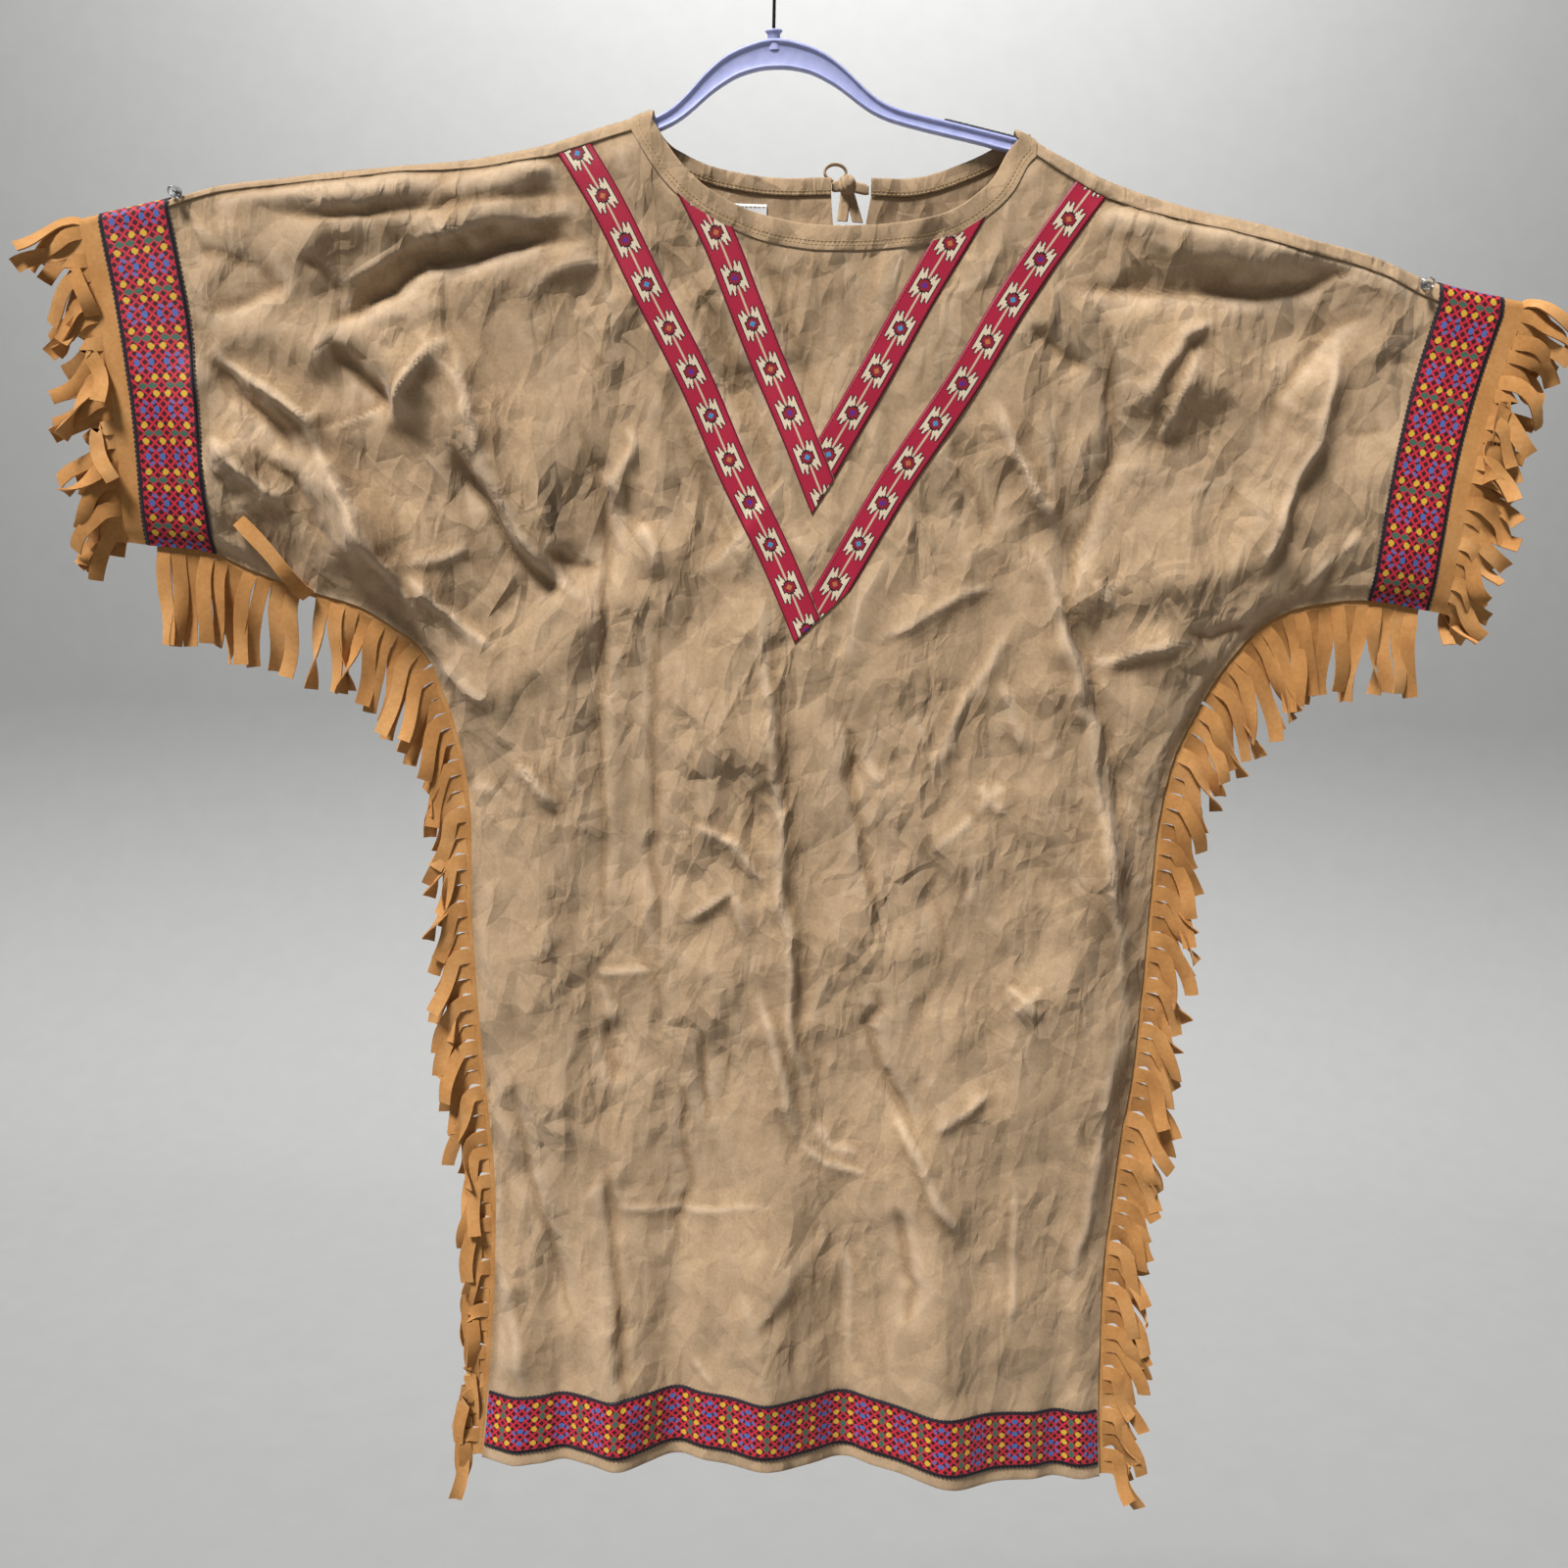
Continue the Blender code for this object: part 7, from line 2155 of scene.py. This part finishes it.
@dataclass
class Hanger:
    """Moulded hanger with a raised rim, a boss, a wire hook and soft grips."""

    dressing: Dressing
    profile: Table = (
        (0, -6.2, -27.0), (8, -7, -27.3), (18, -9.5, -29), (28, -13, -32), (37, -17.5, -36.5), (46, -24, -42),
        (54, -31, -48), (61, -38, -53.5), (68, -44.5, -58.5), (75, -50, -62.5), (82, -54, -65.6),
        (89, -57, -68), (106, -62, -73), (123, -66.5, -77.5), (148, -73.2, -84), (173, -80, -91),
        (184, -83.2, -93.2), (190, -86.4, -90.4),
    )
    top: float = -71 * MM
    tilt: float = 3.0
    half_thick: float = 3.5 * MM
    web: float = 1.9 * MM
    rim: float = 2.1 * MM
    wire: float = 1.2 * MM
    hook_radius: float = 20 * MM
    grip_span: tuple = (123, 177)

    def placed(self, points: Grid) -> Grid:
        """Turns points in the hanger's own frame into the garment's frame."""
        turn = Matrix.Translation((0, 0, self.top)) @ Matrix.Rotation(math.radians(-self.tilt), 4, "Y")
        flat = np.asarray(points, float).reshape(-1, 3)
        matrix = np.array(turn)
        return flat @ matrix[:3, :3].T + matrix[:3, 3]

    def section(self, high: Grid, low: Grid) -> list:
        """Height and depth of each point round the bar."""
        thick, web, rim = self.half_thick, self.web, self.rim
        rim = np.minimum(rim, (high - low) * 0.3)
        # How far in from the rim's edge, in rims, and how thick it is there.
        steps = (
            (0, 0.55 * thick), (0.35, 0.93 * thick), (0.6, thick), (1, 0.97 * thick),
            (1.2, web + 0.2 * (thick - web)), (1.5, web),
        )
        front = [(low + inward * rim, deep) for inward, deep in steps]
        front += [(high - inward * rim, deep) for inward, deep in reversed(steps)]
        return [(z, -y) for z, y in front] + [(z, y) for z, y in reversed(front)]

    def build_bar(self) -> None:
        """Makes the bar with its boss."""
        heap = Heap()
        middle, arm, tip = np.linspace(0, 100, 61), np.linspace(102, 184, 42), [186, 188, 189.4, 190]
        across = np.concatenate([middle, arm, tip]) * MM
        high, low = smooth(across, self.profile), smooth(across, self.profile, 2)
        x = np.concatenate([-across[:0:-1], across])
        high, low = np.concatenate([high[:0:-1], high]), np.concatenate([low[:0:-1], low])
        ring = self.section(high, low)
        shrink = np.clip((190.6 * MM - np.abs(x)) / (3 * MM), 0.25, 1)
        grid = np.stack([np.stack([x, y * shrink * np.ones(len(x)), z], -1) for z, y in ring], 1)
        faces = quads(len(x), len(ring), closed=True).tolist()
        last = len(ring) * (len(x) - 1)
        faces += [list(range(len(ring)))[::-1], [last + i for i in range(len(ring))]]
        heap.points.append(self.placed(grid))
        heap.faces += faces
        heap.count = len(x) * len(ring)
        turned = (
            (0.0, 0.0), (5.4, 0.0), (6.2, -0.5), (6.3, -1.2), (5.8, -1.9), (4.6, -3.0), (4.5, -9.0),
            (4.9, -14.0),
        )
        angles = np.linspace(0, 2 * math.pi, 36, endpoint=False)
        oval = 0.62
        boss = [[(r * math.cos(a), oval * r * math.sin(a), z) for a in angles] for r, z in turned]
        boss = np.array(boss) * MM
        heap.add(self.placed(boss), quads(len(turned), 36, closed=True))
        obj = heap.make("hanger_bar", 60)
        self.dressing.settle(obj, "hanger", self.dressing.finishes.plastic)

    def build_hook(self) -> None:
        """Makes the wire hook with a rounded free tip."""
        centre = self.wire - self.hook_radius
        lower = math.radians(-58)
        join = (self.hook_radius * math.cos(lower), centre + self.hook_radius * math.sin(lower))
        stem = -49 * MM
        points = [(0.0, self.top + 0.3 * MM), (0.0, stem - 11 * MM), (0.0, stem)]
        for t in np.linspace(0, 1, 9)[1:-1]:
            points.append((join[0] * ease(t), stem + (join[1] - stem) * t))
        for angle in lower + np.radians(np.linspace(0, 250, 60)):
            points.append((self.hook_radius * math.cos(angle), centre + self.hook_radius * math.sin(angle)))
        path = np.array([(x, 0.0, z) for x, z in points])
        radii = np.full(len(path), self.wire)
        radii[-2:] = self.wire * 0.85, self.wire * 0.3
        heap = Heap()
        heap.add(*tube(path, radii, 14))
        self.dressing.settle(heap.make("hanger_hook_wire"), "hanger_hook", self.dressing.finishes.wire)

    def build_grip(self, side: str, sign: int) -> None:
        """Makes one ribbed grip on an arm."""
        start, stop = self.grip_span
        count = 55
        places = np.linspace(start + 0.5, stop - 0.5, count)
        high = np.interp(places, [p[0] for p in self.profile], [p[1] for p in self.profile])
        index = np.arange(count)
        rib = 0.25 * (index % 4 < 2)
        ends = np.minimum(1, np.minimum(index, index[::-1]) / 2 + 0.35)
        ring = (
            (-2.0, 0.1), (-1.9, 0.9), (-1.3, 1.25), (0, 1.3), (1.3, 1.25), (1.9, 0.9), (2.0, 0.1), (0, 0.05),
        )
        grid = []
        for y, z in ring:
            above = (z + rib * (z > 1)) * ends
            grid.append(np.stack([sign * places, np.full(count, y), high + 0.3 + above], 1))
        grid = np.stack(grid, 1) * MM
        last = (count - 1) * len(ring)
        faces = quads(count, len(ring), closed=True).tolist()
        faces += [list(range(len(ring))), [last + i for i in range(len(ring))]]
        obj = new_object(f"hanger_grip_{side}_rubber", self.placed(grid), faces, 40)
        self.dressing.settle(obj, f"hanger_grip_{side}", self.dressing.finishes.rubber)

    def build(self) -> None:
        """Makes the hanger."""
        self.build_bar()
        self.build_hook()
        self.build_grip("left", -1)
        self.build_grip("right", 1)


@dataclass
class PushPins:
    """Clear push pins, one through the end of each shoulder fold."""

    dressing: Dressing
    pins: tuple = ("push_pin_left", "push_pin_right")
    profile: Table = (
        (0.0, 8.4), (2.9, 8.4), (3.5, 8.2), (3.8, 7.6), (3.6, 7.1), (2.95, 6.4), (2.65, 5.2), (2.6, 3.2),
        (2.75, 2.4), (3.1, 1.8), (4.1, 1.4), (4.45, 1.0), (4.5, 0.5), (4.3, 0.1), (0.7, 0.0),
    )
    needle: Table = ((0.0, 5.0), (0.5, 4.9), (0.5, -12.0), (0.25, -13.0), (0.0, -13.5))

    def turned(self, profile: Table, centre: Grid, sides: int) -> tuple[Grid, Grid]:
        """Points and faces of a form turned about a line from front to back."""
        angles = np.linspace(0, 2 * math.pi, sides, endpoint=False)
        rings = [[(r * math.cos(a), -forward, r * math.sin(a)) for a in angles] for r, forward in profile]
        return (np.array(rings) * MM + centre).reshape(-1, 3), quads(len(profile), sides, closed=True)

    def build(self) -> None:
        """Makes both pins where their solids are."""
        for name in self.pins:
            low, high = (np.array(v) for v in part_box(name))
            centre = np.array([(low[0] + high[0]) / 2, low[1] + 8.4 * MM, (low[2] + high[2]) / 2])
            for part, profile, sides, finish in (
                ("head", self.profile, 48, self.dressing.finishes.clear),
                ("needle", self.needle, 16, self.dressing.finishes.wire),
            ):
                heap = Heap()
                heap.add(*self.turned(profile, centre, sides))
                self.dressing.settle(heap.make(f"{name}_{part}"), name, finish)


@dataclass
class Studio:
    """Plain pale floor, soft lights and the camera of the photograph."""

    finishes: Finishes
    floor_height: float = -2.25
    camera_place: tuple = (0.019, -1.182, -0.421)
    down: float = 10.0
    roll: float = 1.2
    lens: float = 34.72

    def build_floor(self) -> None:
        """Makes a floor that sweeps up far behind the garment."""
        far, bend = 2.6, 1.2
        path = [(-7.0, 0.0), (far, 0.0)]
        for angle in np.linspace(0, math.pi / 2, 16)[1:]:
            path.append((far + bend * math.sin(angle), bend - bend * math.cos(angle)))
        path.append((3.8, 4.6))
        grid = np.array([[(x, y, z + self.floor_height) for x in (-7.0, 7.0)] for y, z in path])
        floor = new_object("studio_floor", grid.reshape(-1, 3), quads(len(path), 2))
        floor.data.materials.append(self.finishes.floor)

    def build_light(
        self, name: str, kind: str, place: tuple, target: tuple, size: float, power: float
    ) -> None:
        """Makes one soft light.

        Args:
            name: the light's name.
            kind: SUN for a far, even light, or AREA for a near panel.
            place: where it is.
            target: what it points at.
            size: the panel's width, or the angle that a far light fills.
            power: its strength.
        """
        data = bpy.data.lights.new(name, kind)
        data.energy = power
        setattr(data, "angle" if kind == "SUN" else "size", size)
        light = bpy.data.objects.new(name, data)
        light.location = place
        light.rotation_euler = (Vector(target) - Vector(place)).to_track_quat("-Z", "Y").to_euler()
        bpy.context.scene.collection.objects.link(light)

    def build_camera(self) -> None:
        """Places the camera as the photograph was taken, seen a little from above."""
        down, roll = math.radians(self.down), math.radians(self.roll)
        forward = np.array([0, math.cos(down), -math.sin(down)])
        right, up = np.array([1.0, 0, 0]), np.array([0, math.sin(down), math.cos(down)])
        turned_right = right * math.cos(roll) + up * math.sin(roll)
        turned_up = -right * math.sin(roll) + up * math.cos(roll)
        data = bpy.data.cameras.new("camera")
        data.sensor_width, data.lens = 36.0, self.lens
        camera = bpy.data.objects.new("camera", data)
        rotation = Matrix([turned_right, turned_up, -forward]).transposed().to_4x4()
        camera.matrix_world = Matrix.Translation(self.camera_place) @ rotation
        bpy.context.scene.collection.objects.link(camera)
        bpy.context.scene.camera = camera

    def build(self) -> None:
        """Makes floor, lights, camera and a pale surround."""
        self.build_floor()
        self.build_light("key_above", "SUN", (-0.95, -1.25, 2.0), (0.05, 0.0, -0.65), math.radians(13), 5.6)
        self.build_light("fill_front", "AREA", (1.3, -2.6, -0.2), (0.05, 0.0, -0.7), 2.2, 3.0)
        self.build_light("wall_wash", "AREA", (0.0, 2.0, 2.6), (0.0, 3.8, 1.2), 2.5, 310.0)
        self.build_camera()
        world = bpy.data.worlds.new("studio")
        bpy.context.scene.world = world
        world.use_nodes = True
        background = world.node_tree.nodes["Background"]
        background.inputs[0].default_value = linear("#eef0f2")
        background.inputs[1].default_value = 0.1
        bpy.context.scene.view_settings.view_transform = "Standard"


def write_size() -> None:
    """Brings the scene's layers up to date."""
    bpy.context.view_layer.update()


def main() -> None:
    """Builds every sub-assembly in order."""
    logging.basicConfig(level=logging.INFO, format="%(message)s")
    finishes = Finishes()
    dressing = Dressing(finishes)
    sewing = Sewing()
    form = HangingForm(
        ribbon_lines=(Ribbons.outer_left, Ribbons.outer_right, Ribbons.inner_left, Ribbons.inner_right)
    )
    Studio(finishes).build()
    Panels(form, dressing).build()
    NeckBinding(form, dressing, sewing).build()
    NeckLabel(form, dressing, sewing).build()
    ribbon_sewing = Sewing(width=0.4 * MM)
    Ribbons(form, dressing, ribbon_sewing).build()
    Fringes(form, dressing).build()
    Hanger(dressing).build()
    PushPins(dressing).build()
    stitches = sewing.heap.make("topstitching")
    dressing.settle(stitches, "neck_binding", finishes.thread, stands_for=False)
    stitches = ribbon_sewing.heap.make("ribbon_stitching")
    dressing.settle(stitches, "v_ribbon_outer_left", finishes.red_thread, stands_for=False)
    write_size()


if __name__ == "__main__":
    main()
